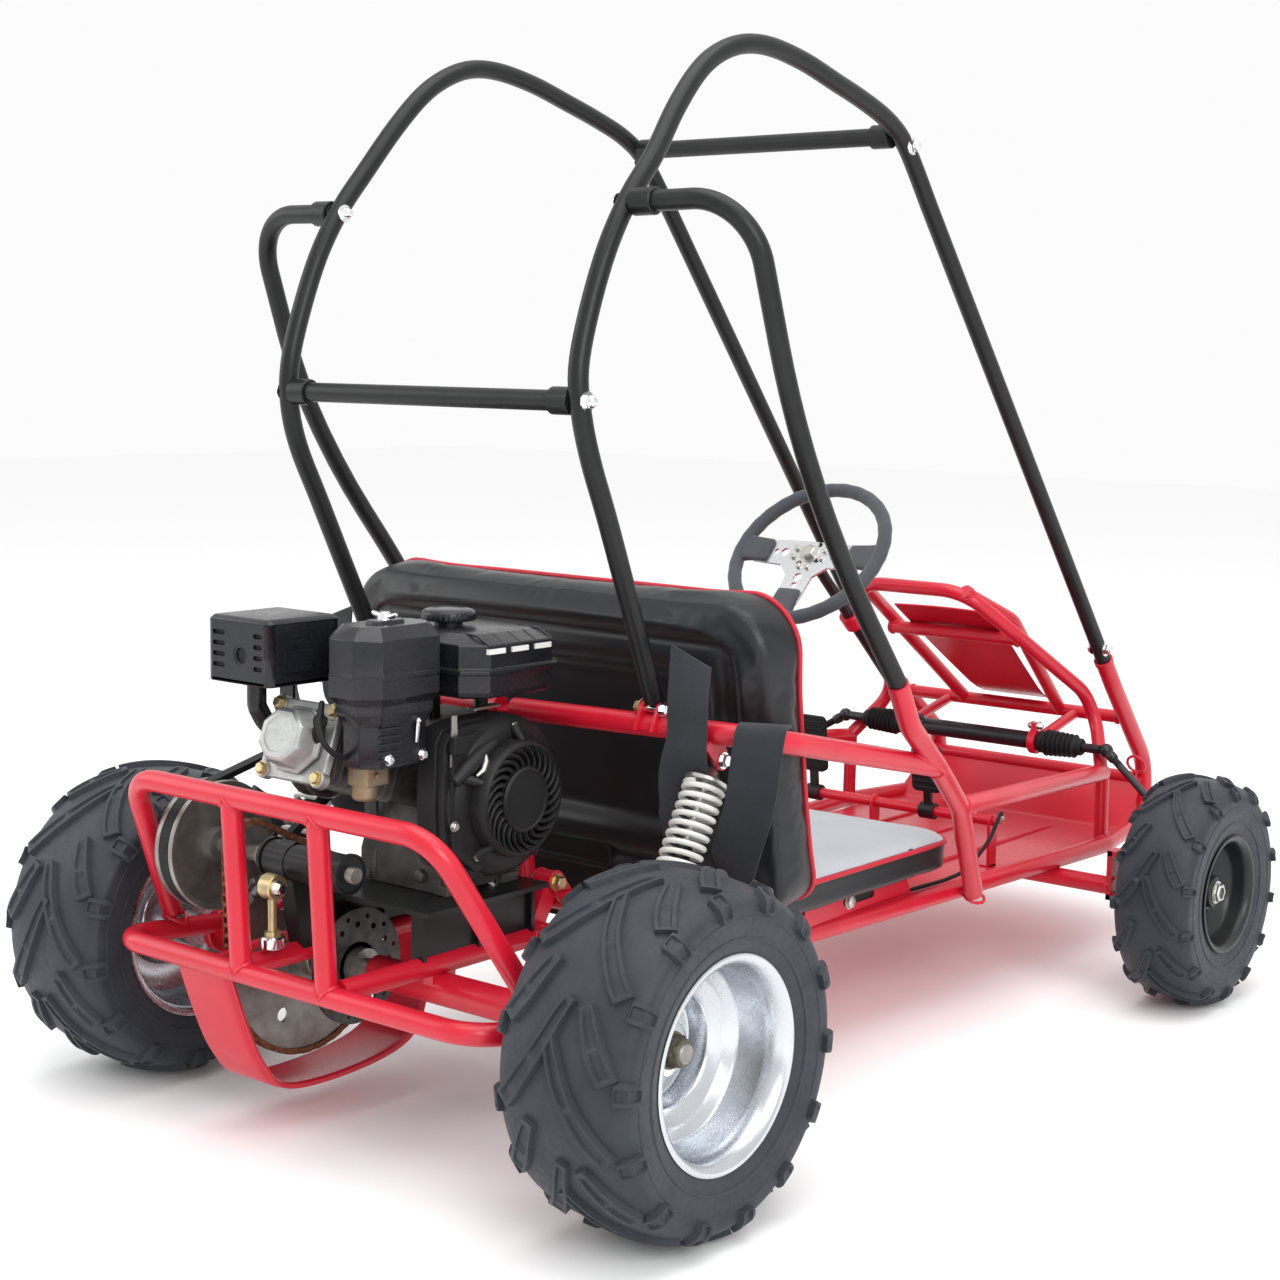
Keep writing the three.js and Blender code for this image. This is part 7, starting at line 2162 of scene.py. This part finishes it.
@dataclass
class Shocks:
    """Two coil-over shocks with white springs."""

    top: Triple = (308, 226, 476)
    low: Triple = (308, 100, 250)
    coils: float = 16.5
    wire: float = 3.5
    coil_radius: float = 23
    spring_start: float = 40.3
    spring_end: float = 226.45

    def upper(self, origin: Vector, axis: Vector) -> Form:
        """Rod, spring cap and eye that hang from the frame."""
        form = Form()
        form.lathe([(0, 60), (4.8, 60), (4.8, 222), (0, 222)], origin, axis, 20)
        form.lathe([(5, 226.9), (25.4, 226.9), (26.4, 228), (26.4, 231.6), (22, 232.6), (14, 238), (11, 244),
                    (8, 247.6), (0, 247.6)], origin, axis, 36)
        form.lathe([(0, 222), (9, 222), (9, 226.9), (0, 226.9)], origin, axis, 24)
        return form

    def lower(self, origin: Vector, axis: Vector) -> Form:
        """Damper body with the lower spring seat."""
        form = Form()
        form.lathe([(0, 10), (9, 10.5), (11, 15), (11, 32), (23, 33.6), (26.4, 34.6), (26.4, 39), (25.4, 40),
                    (11.2, 40), (11, 147), (10, 149.6), (5.4, 150)], origin, axis, 36)
        return form

    def eye(self, middle: Vector, form: Form) -> None:
        """A ringed eye with its sleeve."""
        form.lathe([(5, -7.6), (10.4, -7.6), (11, -7), (11, 7), (10.4, 7.6), (5, 7.6)], middle, X, 32,
                   loop=True)

    def spring(self, origin: Vector, axis: Vector) -> Form:
        """White coil spring with closed ends."""
        u, v, w = basis(axis)
        form = Form()
        turns, steps = self.coils, 26
        line = []
        total = round(turns * steps)
        first, last = self.spring_start + self.wire, self.spring_end - self.wire
        dead = 0.9 * steps
        pitches = [0.32 if k < dead or k > total - dead else 1.0 for k in range(total)]
        whole, walked = sum(pitches), 0.0
        for k in range(total + 1):
            angle = 2 * math.pi * k / steps
            height = first + (last - first) * walked / whole
            line.append(origin + w * height + u * (self.coil_radius * math.cos(angle))
                        + v * (self.coil_radius * math.sin(angle)))
            if k < total:
                walked += pitches[k]
        form.sweep(line, self.wire, 12)
        return form

    def make(self) -> None:
        """Builds both shocks."""
        for side, name in ((1, "left"), (-1, "right")):
            top, low = at(side * self.top[0], *self.top[1:]), at(side * self.low[0], *self.low[1:])
            axis = (top - low).normalized()
            upper, lower = self.upper(low, axis), self.lower(low, axis)
            self.eye(top, upper)
            self.eye(low, lower)
            upper.build("shock_rod_" + name, [ZINC], "shock_upper_" + name, ["shock_upper_" + name])
            lower.build("shock_body_" + name, [BLACK_PLASTIC], "shock_lower_" + name, ["shock_lower_" + name])
            spring = self.spring(low, axis).build("coil_spring_" + name, [WHITE_PAINT], "shock_upper_" + name,
                                                  ["shock_spring_" + name])
            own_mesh(spring)


@dataclass
class Engine:
    """Small single-cylinder engine with its muffler, air cleaner, tank and recoil starter."""

    crank: Triple = (0, 88, 423)
    base: float = 302.3
    case_in: float = -58
    case_out: float = 88
    case_shares: tuple[Pair, ...] = ((0.86, 0), (-0.62, 0), (-0.62, 0.3), (-0.4, 0.75), (-0.1, 1.55),
                                     (0.62, 1.72), (0.92, 1.3), (0.92, 0.4))
    lean: float = 0.36
    cylinder_middle: float = 45
    starter_in: float = -58.3
    bosses: tuple[Pair, ...] = ((46, 40), (-46, 40), (-46, -40), (46, -40))
    muffler_middle: Triple = (75.5, -117, 604.5)
    muffler_half: Triple = (53.5, 55, 38.5)
    muffler_soft: float = 9
    muffler_steps: int = 6
    cleaner_middle: Pair = (-48, 59)
    cleaner_levels: tuple[tuple[float, ...], ...] = (
        (20, 40, 474, 12), (30, 52, 476, 18), (31, 53, 480, 18), (31, 53, 524, 18), (36, 60, 536, 20),
        (37, 61, 540, 20), (37, 61, 549, 20), (41, 66, 556, 22), (43, 68.4, 558, 23), (43, 68.4, 579, 23),
        (44, 69, 580, 24), (44, 69, 585, 24), (43, 68.4, 586, 23), (43, 68.4, 624, 23), (32, 56, 636.5, 18),
        (30, 53, 638.4, 17))
    tank_middle: Pair = (-30, -82)
    tank_half: Pair = (106, 84)
    tank_levels: tuple[Triple, ...] = (
        (60, 548.2, 16), (14, 548.2, 20), (8, 551, 24), (5, 556, 26), (4, 576, 26), (3.4, 577.6, 26),
        (0, 578, 24), (-0.4, 579, 24), (-0.4, 581.6, 24), (0, 582.8, 24), (3.4, 583.6, 26), (4.2, 585, 26),
        (5, 610, 26), (6, 612, 26), (26, 621.6, 18), (28, 622.2, 17), (64, 624, 10))
    filler: Triple = (-30, 64, 622.6)
    vanes: int = 26
    spokes: int = 5
    blower_middle: Pair = (88, 423)

    def frame(self) -> Matrix:
        """The cylinder's frame: x across, y square to the bore and z along it, from the crank."""
        axis = Vector((0, math.cos(self.lean), math.sin(self.lean)))
        side = axis.cross(X)
        origin = at(self.cylinder_middle, self.crank[1], self.crank[2])
        return Matrix.Translation(origin) @ Matrix((X, side, axis)).transposed().to_4x4()

    def case(self) -> Form:
        """Crankcase with its feet, ribs, side cover and drain plug."""
        form = Form()
        outline = [(self.crank[1] + 90.5 * s, self.base + 120.7 * t) for s, t in self.case_shares]
        cx, cy = 95, 395
        for low, high, inset in ((self.case_in, self.case_in + 8, 3), (self.case_in + 8, 60, 0),
                                 (60, 66, -1.5), (66, self.case_out, 2)):
            share = 1 - inset / 80
            grown = [(cx + (a - cx) * share, max(cy + (b - cy) * share, self.base)) for a, b in outline]
            form.side_plate(grown, low, high)
        for ahead in (40, 76, 112, 148):
            form.block(at(66, ahead + 3, self.base + 6), at(86, ahead - 3, self.base + 130))
        for foot in (-64, 72):
            for ahead in (44, 140):
                form.block(at(foot, ahead + 14, self.base), at(foot + 24, ahead - 14, self.base + 12))
        form.lathe([(0, 0), (9, 0), (9, 7), (6, 9), (0, 9)], at(-20, 32, 322), Y, 6)
        form.lathe([(0, 0), (15, 0), (16, 2), (16, 10), (13, 12), (0, 12)], at(-36, 34, 352),
                   Vector((0, 0.95, 0.3)), 28)
        return form

    def barrel(self) -> Form:
        """Cylinder with cooling fins."""
        form = Form()
        form.skin([[Vector((a, b, level)) for a, b in rounded(42, 36, 10)] for level in (0, 205)], caps=True)
        fins, thick = 9, 3.2
        for k in range(fins):
            level = 84 + 12.6 * k
            rows = [[Vector((a, b, level + z)) for a, b in rounded(48 - inset, 42 - inset, 8)]
                    for z, inset in ((0, 1), (0.8, 0), (thick - 0.8, 0), (thick, 1))]
            form.skin(rows, caps=True)
        return form.moved(self.frame())

    def head(self) -> Form:
        """Cylinder head flange with its bosses."""
        form = Form()
        rows = [[Vector((a, b, level)) for a, b in rounded(54 - inset, 48 - inset, 12)]
                for level, inset in ((197, 1), (198, 0), (206, 0), (208, 1.5))]
        form.skin(rows, caps=True)
        for x, y in self.bosses:
            form.lathe([(0, 197), (10, 197), (11, 198), (11, 209), (10, 210), (0, 210)], Vector((x, y, 0)), Z,
                       24)
        return form.moved(self.frame())

    def head_bolts(self) -> Form:
        """Bolts of the head."""
        form = Form()
        for x, y in self.bosses:
            form.bolt(Vector((x, y, 210)), Z, 7, 5)
        return form.moved(self.frame())

    def valve_cover(self) -> Form:
        """Eight-sided valve cover with a stepped flange and a raised field."""
        form = Form()
        phase = math.pi / 8
        wide = 1 / math.cos(phase)
        rows = []
        for radius, level in ((0.01, 210.3), (41, 210.3), (42, 211.3), (42, 214), (41, 215), (37.4, 216),
                              (36.6, 219), (35, 233), (33, 238.5), (29, 241), (23, 241.6), (22, 240.4),
                              (0.01, 240.4)):
            rows.append([Vector((x, y * 0.94, level)) for x, y in circle(radius * wide * 0.985, 8,
                                                                         phase=phase)])
        form.skin(rows)
        return form.moved(self.frame())

    def muffler_plan(self, inset: float, up: float) -> list[Vector]:
        """The muffler shield's plan at one height, moved in by so many millimetres."""
        middle, half = at(*self.muffler_middle), Vector(self.muffler_half)
        plan = rounded(half.x - inset, half.y - inset, max(self.muffler_soft - inset, 2), self.muffler_steps)
        return [Vector((middle.x + a, middle.y + b, up)) for a, b in plan]

    def muffler(self) -> Form:
        """Heat shield with slots and an outlet, round the muffler's core."""
        form = Form()
        middle, half, soft = at(*self.muffler_middle), Vector(self.muffler_half), self.muffler_soft
        low, high = middle - half, middle + half
        steps, level = self.muffler_steps, self.muffler_plan
        tall = half.z - 3
        walls = [level(0, low.z + 1.5), level(0, high.z - 6)]
        for first, last in ((steps + 1, 2 * steps + 1), (2 * steps + 2, 5 * steps + 4)):
            form.skin([[row[i % len(row)] for i in range(first, last + 1)] for row in walls], wrap=False)
        form.skin([level(0, high.z - 6), level(0.6, high.z - 4.6), level(5, high.z - 0.8), level(8, high.z)],
                  caps=True)
        form.skin([level(1.2, low.z), level(0, low.z + 1.5)], caps=True)
        form.skin([level(3, low.z + 6), level(3, high.z - 6.5)], caps=True, mark=1)
        slots = [[(x + a, 19 - 12.5 * k + b) for a, b in rounded(wide, 2.8, 2.7, 4)]
                 for x, wide in ((32.5, 10.5), (-34, 7.5)) for k in range(4)]
        outlet = circle(12.5, 28, (-5.5, -5))
        vents = [[(10 + a, 26 - 12.5 * k + b) for a, b in rounded(17, 2.8, 2.7, 4)] for k in range(2)]
        for wide, place, way, holes in ((half.x - soft, Vector((middle.x, high.y, middle.z)), X,
                                         [*slots, outlet]),
                                        (half.y - soft, Vector((low.x, middle.y, middle.z)), Y, vents)):
            wall = [(-wide, 1.5 - tall), (wide, 1.5 - tall), (wide, tall - 3), (-wide, tall - 3)]
            form.plate(wall, place, way, Z, 1.4, holes)
        form.lathe([(9.5, 0), (12, 0), (12, 9), (13, 9.6), (13, 11), (9.5, 11)],
                   Vector((middle.x - 5.5, high.y - 11.6, middle.z - 5)), Y, 28, loop=True)
        form.block(Vector((low.x - 3, 108, 582)), Vector((low.x, 146, 606)))
        return form

    def exhaust(self) -> Form:
        """Exhaust pipe from the head to the muffler, with its flange and the shield's stay."""
        form = Form()
        form.tube([at(93, -95, 500), at(110, -100, 508), at(112, -112, 530), at(112, -112, 572)], 11.6, 18,
                  22)
        form.plate(rounded(22, 11, 10), at(112, -112, 563), X, Y, 3)
        form.block(at(119, -66, 486), at(96, -70, 572))
        form.block(at(119, -66, 484), at(96, -96, 487))
        return form

    def cleaner_ring(self, half_x: float, half_y: float, level: float, cut: float) -> list[Vector]:
        """One level of the air cleaner, a rectangle with cut corners."""
        ring = []
        for sx, sy in ((1, 1), (-1, 1), (-1, -1), (1, -1)):
            pair = [(half_x, half_y - cut), (half_x - cut, half_y)][::sx * sy]
            ring += [Vector((self.cleaner_middle[0] + sx * a, self.cleaner_middle[1] + sy * b, level))
                     for a, b in pair]
        return ring

    def cleaner(self) -> Form:
        """Air cleaner: a faceted canister over a stepped elbow."""
        form = Form()
        cx, cy = self.cleaner_middle
        form.skin([self.cleaner_ring(*level) for level in self.cleaner_levels], caps=True)
        form.skin([self.cleaner_ring(14, 26, 638, 8), self.cleaner_ring(12, 24, 642.5, 7)], caps=True)
        for k in range(5):
            level = 484 + 9 * k
            form.block(Vector((cx - 33, cy + 6, level)), Vector((cx - 30, cy + 40, level + 3.4)))
        return form

    def cleaner_details(self) -> Form:
        """Wing nut, choke lever, screws and the carburettor's link."""
        form = Form()
        top = at(self.cleaner_middle[0], -60, 642)
        form.lathe([(0, -3), (10, -3), (10, 0), (8, 1), (7, 8), (5, 9.5), (0, 9.5)], top, Z, 24)
        for side in (-1, 1):
            wing = [top + Vector((side * x, 0, z)) for x, z in ((5, 3), (13, 5), (19, 7.4))]
            form.sweep(wing, [3.2, 3.4, 2.2], 10)
        for ahead in (-30, -84):
            form.bolt(at(-79.4, ahead, 486), -X, 5.4, 4)
        form.sweep([at(-81, -40, 502), at(-83, -40, 524)], [2.6, 2.6], 8)
        form.ball(at(-83, -40, 527), 4, 12)
        return form

    def carburettor(self) -> Form:
        """Carburettor body, its bowl and the insulator."""
        form = Form()
        form.skin([[Vector((-24 + a, 62 + b, level)) for a, b in rounded(17, 20, 6)] for level in (448, 473)],
                  caps=True)
        form.lathe([(0, 0), (12, 1.5), (15, 5), (15, 22), (0, 22)], at(-22, -66, 428), Z, 32)
        form.bar(at(-46, -66, 460), at(-8, -66, 460), 4, 14)
        return form

    def lead(self) -> Form:
        """Spark plug cap and its lead."""
        form = Form()
        plug = self.frame() @ Vector((-36, -6, 214))
        way = (self.frame().to_3x3() @ Vector((-0.5, -0.7, 0.6))).normalized()
        form.lathe([(0, -4), (7, -4), (7.6, 2), (7, 20), (8.4, 24), (8.4, 30), (0, 32)], plug, way, 24)
        start = plug + way * 30
        path = smooth([start, start + way * 14 + Z * 8, start + Vector((-22, 22, -8)),
                       start + Vector((-34, 8, -36)), at(-30, -44, 470)], 10)
        form.sweep(path, 3.4, 14)
        return form

    def tank(self) -> Form:
        """Fuel tank: two pressed halves and a seam, with facets and ribs on top."""
        form = Form()
        (cx, cy), (hx, hy) = self.tank_middle, self.tank_half
        low_x = cx - hx
        rows = []
        for inset, level, cut in self.tank_levels:
            x, y = hx - inset, hy - inset
            plan = [(x, y - cut), (x - cut, y), (cut - x, y), (-x, y - cut), (-x, cut - y), (cut - x, -y),
                    (x - cut, -y), (x, cut - y)]
            rows.append([Vector((cx + a, cy + b, level)) for a, b in plan])
        form.skin(rows, caps=True)
        for k in range(-2, 3):
            y = cy + 27 * k
            rib = [Vector((low_x + x, y, z)) for x, z in ((5.0, 600), (5.6, 611), (26, 621), (64, 623.4))]
            form.sweep(rib, [0.8, 1.5, 1.5, 0.6], 8)
        form.lathe([(17, 0), (17, 5.5), (19, 6), (19, 7.5), (14, 7.5), (14, 0)], at(*self.filler), Z, 36,
                   loop=True)
        for side in (-1, 1):
            form.lathe([(0, 470), (9, 470), (9, 548), (0, 548)], at(side * 40, 110, 0), Z, 20)
        return form

    def tank_marks(self) -> Form:
        """Three bare metal bars on the tank's side, painted white as a painted highlight in place of their
        bright reflection.
        """
        form = Form()
        for k in range(3):
            ahead = 38 + 40 * k
            form.block(at(-133.6, ahead + 14, 601.5), at(-129, ahead - 14, 607.5))
        return form

    def cap(self) -> Form:
        """Fuel cap with a ribbed edge and a pressed top."""
        form = Form()
        place = at(*self.filler) + Z * 8
        rows = []
        steps, grips = 96, 32
        turns = [2 * math.pi * k / steps for k in range(steps)]
        for radius, level, wave in ((20, 0, 0), (31.6, 0, 0), (32.4, 1, 0.5), (32.4, 8, 0.5),
                                    (31.4, 10.4, 0.2), (28.6, 12.4, 0), (22, 13.6, 0), (20, 13.9, 0),
                                    (19, 13, 0), (0.01, 13, 0)):
            radii = [radius + wave * math.sin(grips * a) for a in turns]
            rows.append([place + Vector((r * math.cos(a), r * math.sin(a), level))
                         for r, a in zip(radii, turns)])
        form.skin(rows, caps=True)
        return form

    def spoke_turns(self) -> list[float]:
        """The angles of the recoil cover's arms and of their screws."""
        return [2 * math.pi * k / self.spokes + 0.4 for k in range(self.spokes)]

    def starter(self) -> Form:
        """Recoil cover with its curved vanes, plain centre disc, and thin dark patches as painted shade where
        its side openings are.
        """
        form = Form()
        place = at(self.starter_in, self.crank[1], self.crank[2])
        out = -X
        form.lathe([(60, 0), (94, 0), (97, 2), (98, 5), (98, 34), (95, 42), (84, 50), (78, 52), (60, 52)],
                   place, out, 84, loop=True)
        slots = []
        for k in range(self.vanes):
            a = 2 * math.pi * k / self.vanes
            gap = []
            for shares, extra in (((0, 0.25, 0.5, 0.75, 1), 0.0), ((1, 0.75, 0.5, 0.25, 0), 0.115)):
                for share in shares:
                    r = 40 + 22 * share
                    turn = a + 0.42 * share * share + extra
                    gap.append((r * math.cos(turn), r * math.sin(turn)))
            slots.append(gap)
        form.plate(circle(65, 96), place + out * 71.5, -Y, Z, 2.6, slots)
        for k in range(self.vanes):
            a = 2 * math.pi * k / self.vanes + 0.2
            vane = [place + out * 74.5 + Vector((0, -r * math.cos(a + t), r * math.sin(a + t)))
                    for r, t in ((39, 0), (46, 0.03), (53, 0.12), (60, 0.27), (64, 0.38))]
            form.sweep(vane, [1.6, 2, 2, 2, 1.8], 8)
        form.lathe([(66, 48), (70, 48), (70, 66), (68.6, 72), (66, 75.4), (64, 75.8), (63, 74), (63, 70)],
                   place, out, 96, loop=True)
        form.lathe([(34, 73), (38, 74.6), (39, 76.6), (37.4, 78.8), (35.4, 79.2), (34.4, 77.2), (0, 77.2),
                    (0, 72), (34, 72)], place, out, 60)
        form.lathe([(0, 48), (64, 48), (64, 50), (0, 50)], place, out, 60)
        for a in self.spoke_turns():
            arm = [place + out * far + Vector((0, math.cos(a) * r, math.sin(a) * r))
                   for far, r in ((50, 84), (56, 77), (66, 68))]
            form.sweep(arm, [7, 6, 4], 14)
        # Thin dark plates, not holes: painted shade standing in for the side openings.
        painted_opening_shadows = 16
        for k in range(painted_opening_shadows):
            a = 2 * math.pi * k / painted_opening_shadows + 0.1
            spot = place + out * 59 + Vector((0, math.cos(a) * 69.8, math.sin(a) * 69.8))
            round_way = Vector((0, -math.sin(a), math.cos(a)))
            form.plate(rounded(5.5, 6.5, 1.6, 3), spot, out, round_way, 0.7, mark=1)
        return form

    def hood(self) -> Form:
        """Blower housing over the cylinder, with slots and the pull grip's seat."""
        form = Form()
        ahead, up = self.blower_middle
        arc = [(ahead + 97 * math.cos(a), up + 97 * math.sin(a)) for a in
               [math.radians(96 - 8 * k) for k in range(22)]]
        outline = [(30, 326), (-14, 360), (-18, 420), (-16, 498), (-6, 512), (30, 519), *arc]
        for low, high, inset in ((-88, -58.4, 0), (-98, -88, 4), (-104, -98, 12)):
            grown = [(72 + (a - 72) * (1 - inset / 90), 425 + (b - 425) * (1 - inset / 90))
                     for a, b in outline]
            form.side_plate(grown, low, high)
        for k in range(5):
            a = math.radians(78 + 15 * k)
            form.sweep([at(-104, ahead + r * math.cos(a), up + r * math.sin(a)) for r in (73, 84)], 2.6, 8)
        form.sweep([at(-106, -4, 452), at(-108, 14, 466), at(-109, 40, 482), at(-108, 62, 492)],
                   [7, 10, 10, 7], 16)
        form.block(at(-112, 12, 486), at(-103, -10, 506))
        return form

    def blower_bolts(self) -> Form:
        """Screws of the starter, the pull grip and its cord eye."""
        form = Form()
        place = at(self.starter_in, self.crank[1], self.crank[2])
        for a in self.spoke_turns():
            form.bolt(place + Vector((-50, math.cos(a) * 84, math.sin(a) * 84)), -X, 4.6, 3)
        form.bolt(at(-104, -2, 400), -X, 5, 4)
        form.sweep([at(-117, 22, 458), at(-120, 30, 464), at(-119, 36, 474), at(-116, 38, 482)],
                   [2.4, 4, 4, 2.4], 12)
        return form

    def controls(self) -> Form:
        """Governor lever and the silver stay beside the tank."""
        form = Form()
        form.plate([(-8, 0), (40, -6), (44, 2), (40, 10), (-8, 12)], at(-64, 70, 528), -Y, -X, 3)
        form.plate([(0, 0), (12, 0), (10, 60), (2, 60)], at(-100, -6, 470), -Y, Z, 2.4)
        return form

    def make(self) -> None:
        """Builds the engine's pieces."""
        body = "swing_unit"
        self.case().build("crankcase", [DARK_CAST], body, ["engine_block"], bevel=1.2)
        self.barrel().build("cylinder_fins", [DARK_CAST], body)
        self.head().build("cylinder_head", [CAST], body, bevel=0.8)
        self.head_bolts().build("head_bolts", [BRASS], body)
        self.valve_cover().build("valve_cover_casting", [CAST], body, ["valve_cover"], bevel=1.0, sharp=25)
        self.muffler().build("muffler_shell", [BLACK_PLASTIC, BLACK_RUBBER], body, ["muffler"], sharp=32)
        self.exhaust().build("exhaust_pipe", [BLACK_PLASTIC], body)
        self.cleaner().build("air_cleaner_canister", [BLACK_PLASTIC], body, ["air_cleaner"], bevel=1.0,
                             sharp=25)
        self.cleaner_details().build("air_cleaner_nut_and_choke", [CHROME], body)
        self.carburettor().build("carburettor", [BROWN_CAST], body, bevel=0.8)
        self.lead().build("plug_cap_and_lead", [BLACK_RUBBER], body)
        self.tank().build("fuel_tank_shell", [BLACK_PLASTIC], body, ["fuel_tank"], bevel=1.6, sharp=20)
        # The bars take white paint: a painted highlight standing in for their bright reflection.
        self.tank_marks().build("tank_bars_painted_highlight", [WHITE_PAINT], body)
        self.cap().build("fuel_cap_ribbed", [BLACK_PLASTIC], "fuel_cap", ["fuel_cap"])
        # The second finish is for the dark patches painted as the shade of the side openings.
        self.starter().build("recoil_starter", [SATIN_BLACK, BLACK_RUBBER], body, ["starter_cover"], sharp=45)
        self.hood().build("blower_hood", [SATIN_BLACK], body, bevel=1.2)
        self.blower_bolts().build("blower_screws", [ZINC], body)
        self.controls().build("governor_levers", [ZINC], body, bevel=0.4)


@dataclass
class Studio:
    """Pale floor and backdrop, soft lights and the camera at the photograph's angle."""

    camera_place: Triple = (-1.82434, 2.498459, 0.943742)
    azimuth: float = 218.877725
    elevation: float = 7.389449
    roll: float = 1.01127
    lens: float = 61.169

    def camera(self) -> None:
        """Puts the camera where the photograph was taken from."""
        a, e, r = (math.radians(v) for v in (self.azimuth, self.elevation, self.roll))
        back = Vector((math.sin(a) * math.cos(e), -math.cos(a) * math.cos(e), math.sin(e)))
        right = (-back).cross(Z).normalized()
        up = right.cross(-back)
        right, up = right * math.cos(r) + up * math.sin(r), up * math.cos(r) - right * math.sin(r)
        data = bpy.data.cameras.new("camera")
        data.sensor_width = 36
        data.lens = self.lens
        data.clip_start, data.clip_end = 0.05, 60
        camera = bpy.data.objects.new("camera", data)
        bpy.context.scene.collection.objects.link(camera)
        turn = Matrix((right, up, back)).transposed().to_4x4()
        camera.matrix_world = Matrix.Translation(self.camera_place) @ turn
        bpy.context.scene.camera = camera

    def light(self, name: str, place: Triple, size: Pair, power: float) -> None:
        """A rectangular soft light that faces the kart."""
        data = bpy.data.lights.new(name, "AREA")
        data.shape = "RECTANGLE"
        data.size, data.size_y = size
        data.energy = power
        lamp = bpy.data.objects.new(name, data)
        bpy.context.scene.collection.objects.link(lamp)
        way = Vector(place) - Vector((0, 0, 0.5))
        lamp.matrix_world = Matrix.Translation(place) @ way.to_track_quat("Z", "Y").to_matrix().to_4x4()

    def surroundings(self) -> None:
        """Floor and world."""
        paper = Recipe("pale studio floor")
        paper.shader.inputs["Base Color"].default_value = (0.97, 0.97, 0.97, 1)
        paper.shader.inputs["Roughness"].default_value = 1.0
        paper.shader.inputs["Specular IOR Level"].default_value = 0.1
        mesh = bpy.data.meshes.new("studio_floor")
        reach = 14
        mesh.from_pydata([(-reach, -reach, 0), (reach, -reach, 0), (reach, reach, 0), (-reach, reach, 0)], [],
                         [(0, 1, 2, 3)])
        mesh.materials.append(paper.material)
        floor = bpy.data.objects.new("studio_floor", mesh)
        bpy.context.scene.collection.objects.link(floor)
        world = bpy.data.worlds.new("pale studio")
        world.use_nodes = True
        world.node_tree.nodes["Background"].inputs["Color"].default_value = (1.0, 1.0, 1.0, 1)
        world.node_tree.nodes["Background"].inputs["Strength"].default_value = 0.97
        bpy.context.scene.world = world

    def make(self) -> None:
        """Sets up the studio."""
        self.camera()
        self.surroundings()
        self.light("overhead", (-0.6, 0.6, 4.2), (3.6, 3.6), 102)
        self.light("key", (-3.8, 2.4, 2.6), (2.4, 2.4), 94)
        self.light("fill", (3.6, 2.6, 2.2), (2.6, 2.6), 38)
        scene = bpy.context.scene
        scene.view_settings.view_transform = "Standard"
        scene.view_settings.look = "None"


GROUPS = [FrameTubes, FloorAndNose, RollCage, Belts, Bench, Steering, Knuckles, Pedals, RearWheels,
          FrontWheels, AxleAndDrive, SwingUnit, Shocks, Engine]


def main() -> None:
    """Builds the kart's pieces in order and reports them."""
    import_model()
    Studio().make()
    Pedals().cable()
    for group in GROUPS:
        group().make()
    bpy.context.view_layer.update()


if __name__ == "__main__":
    main()
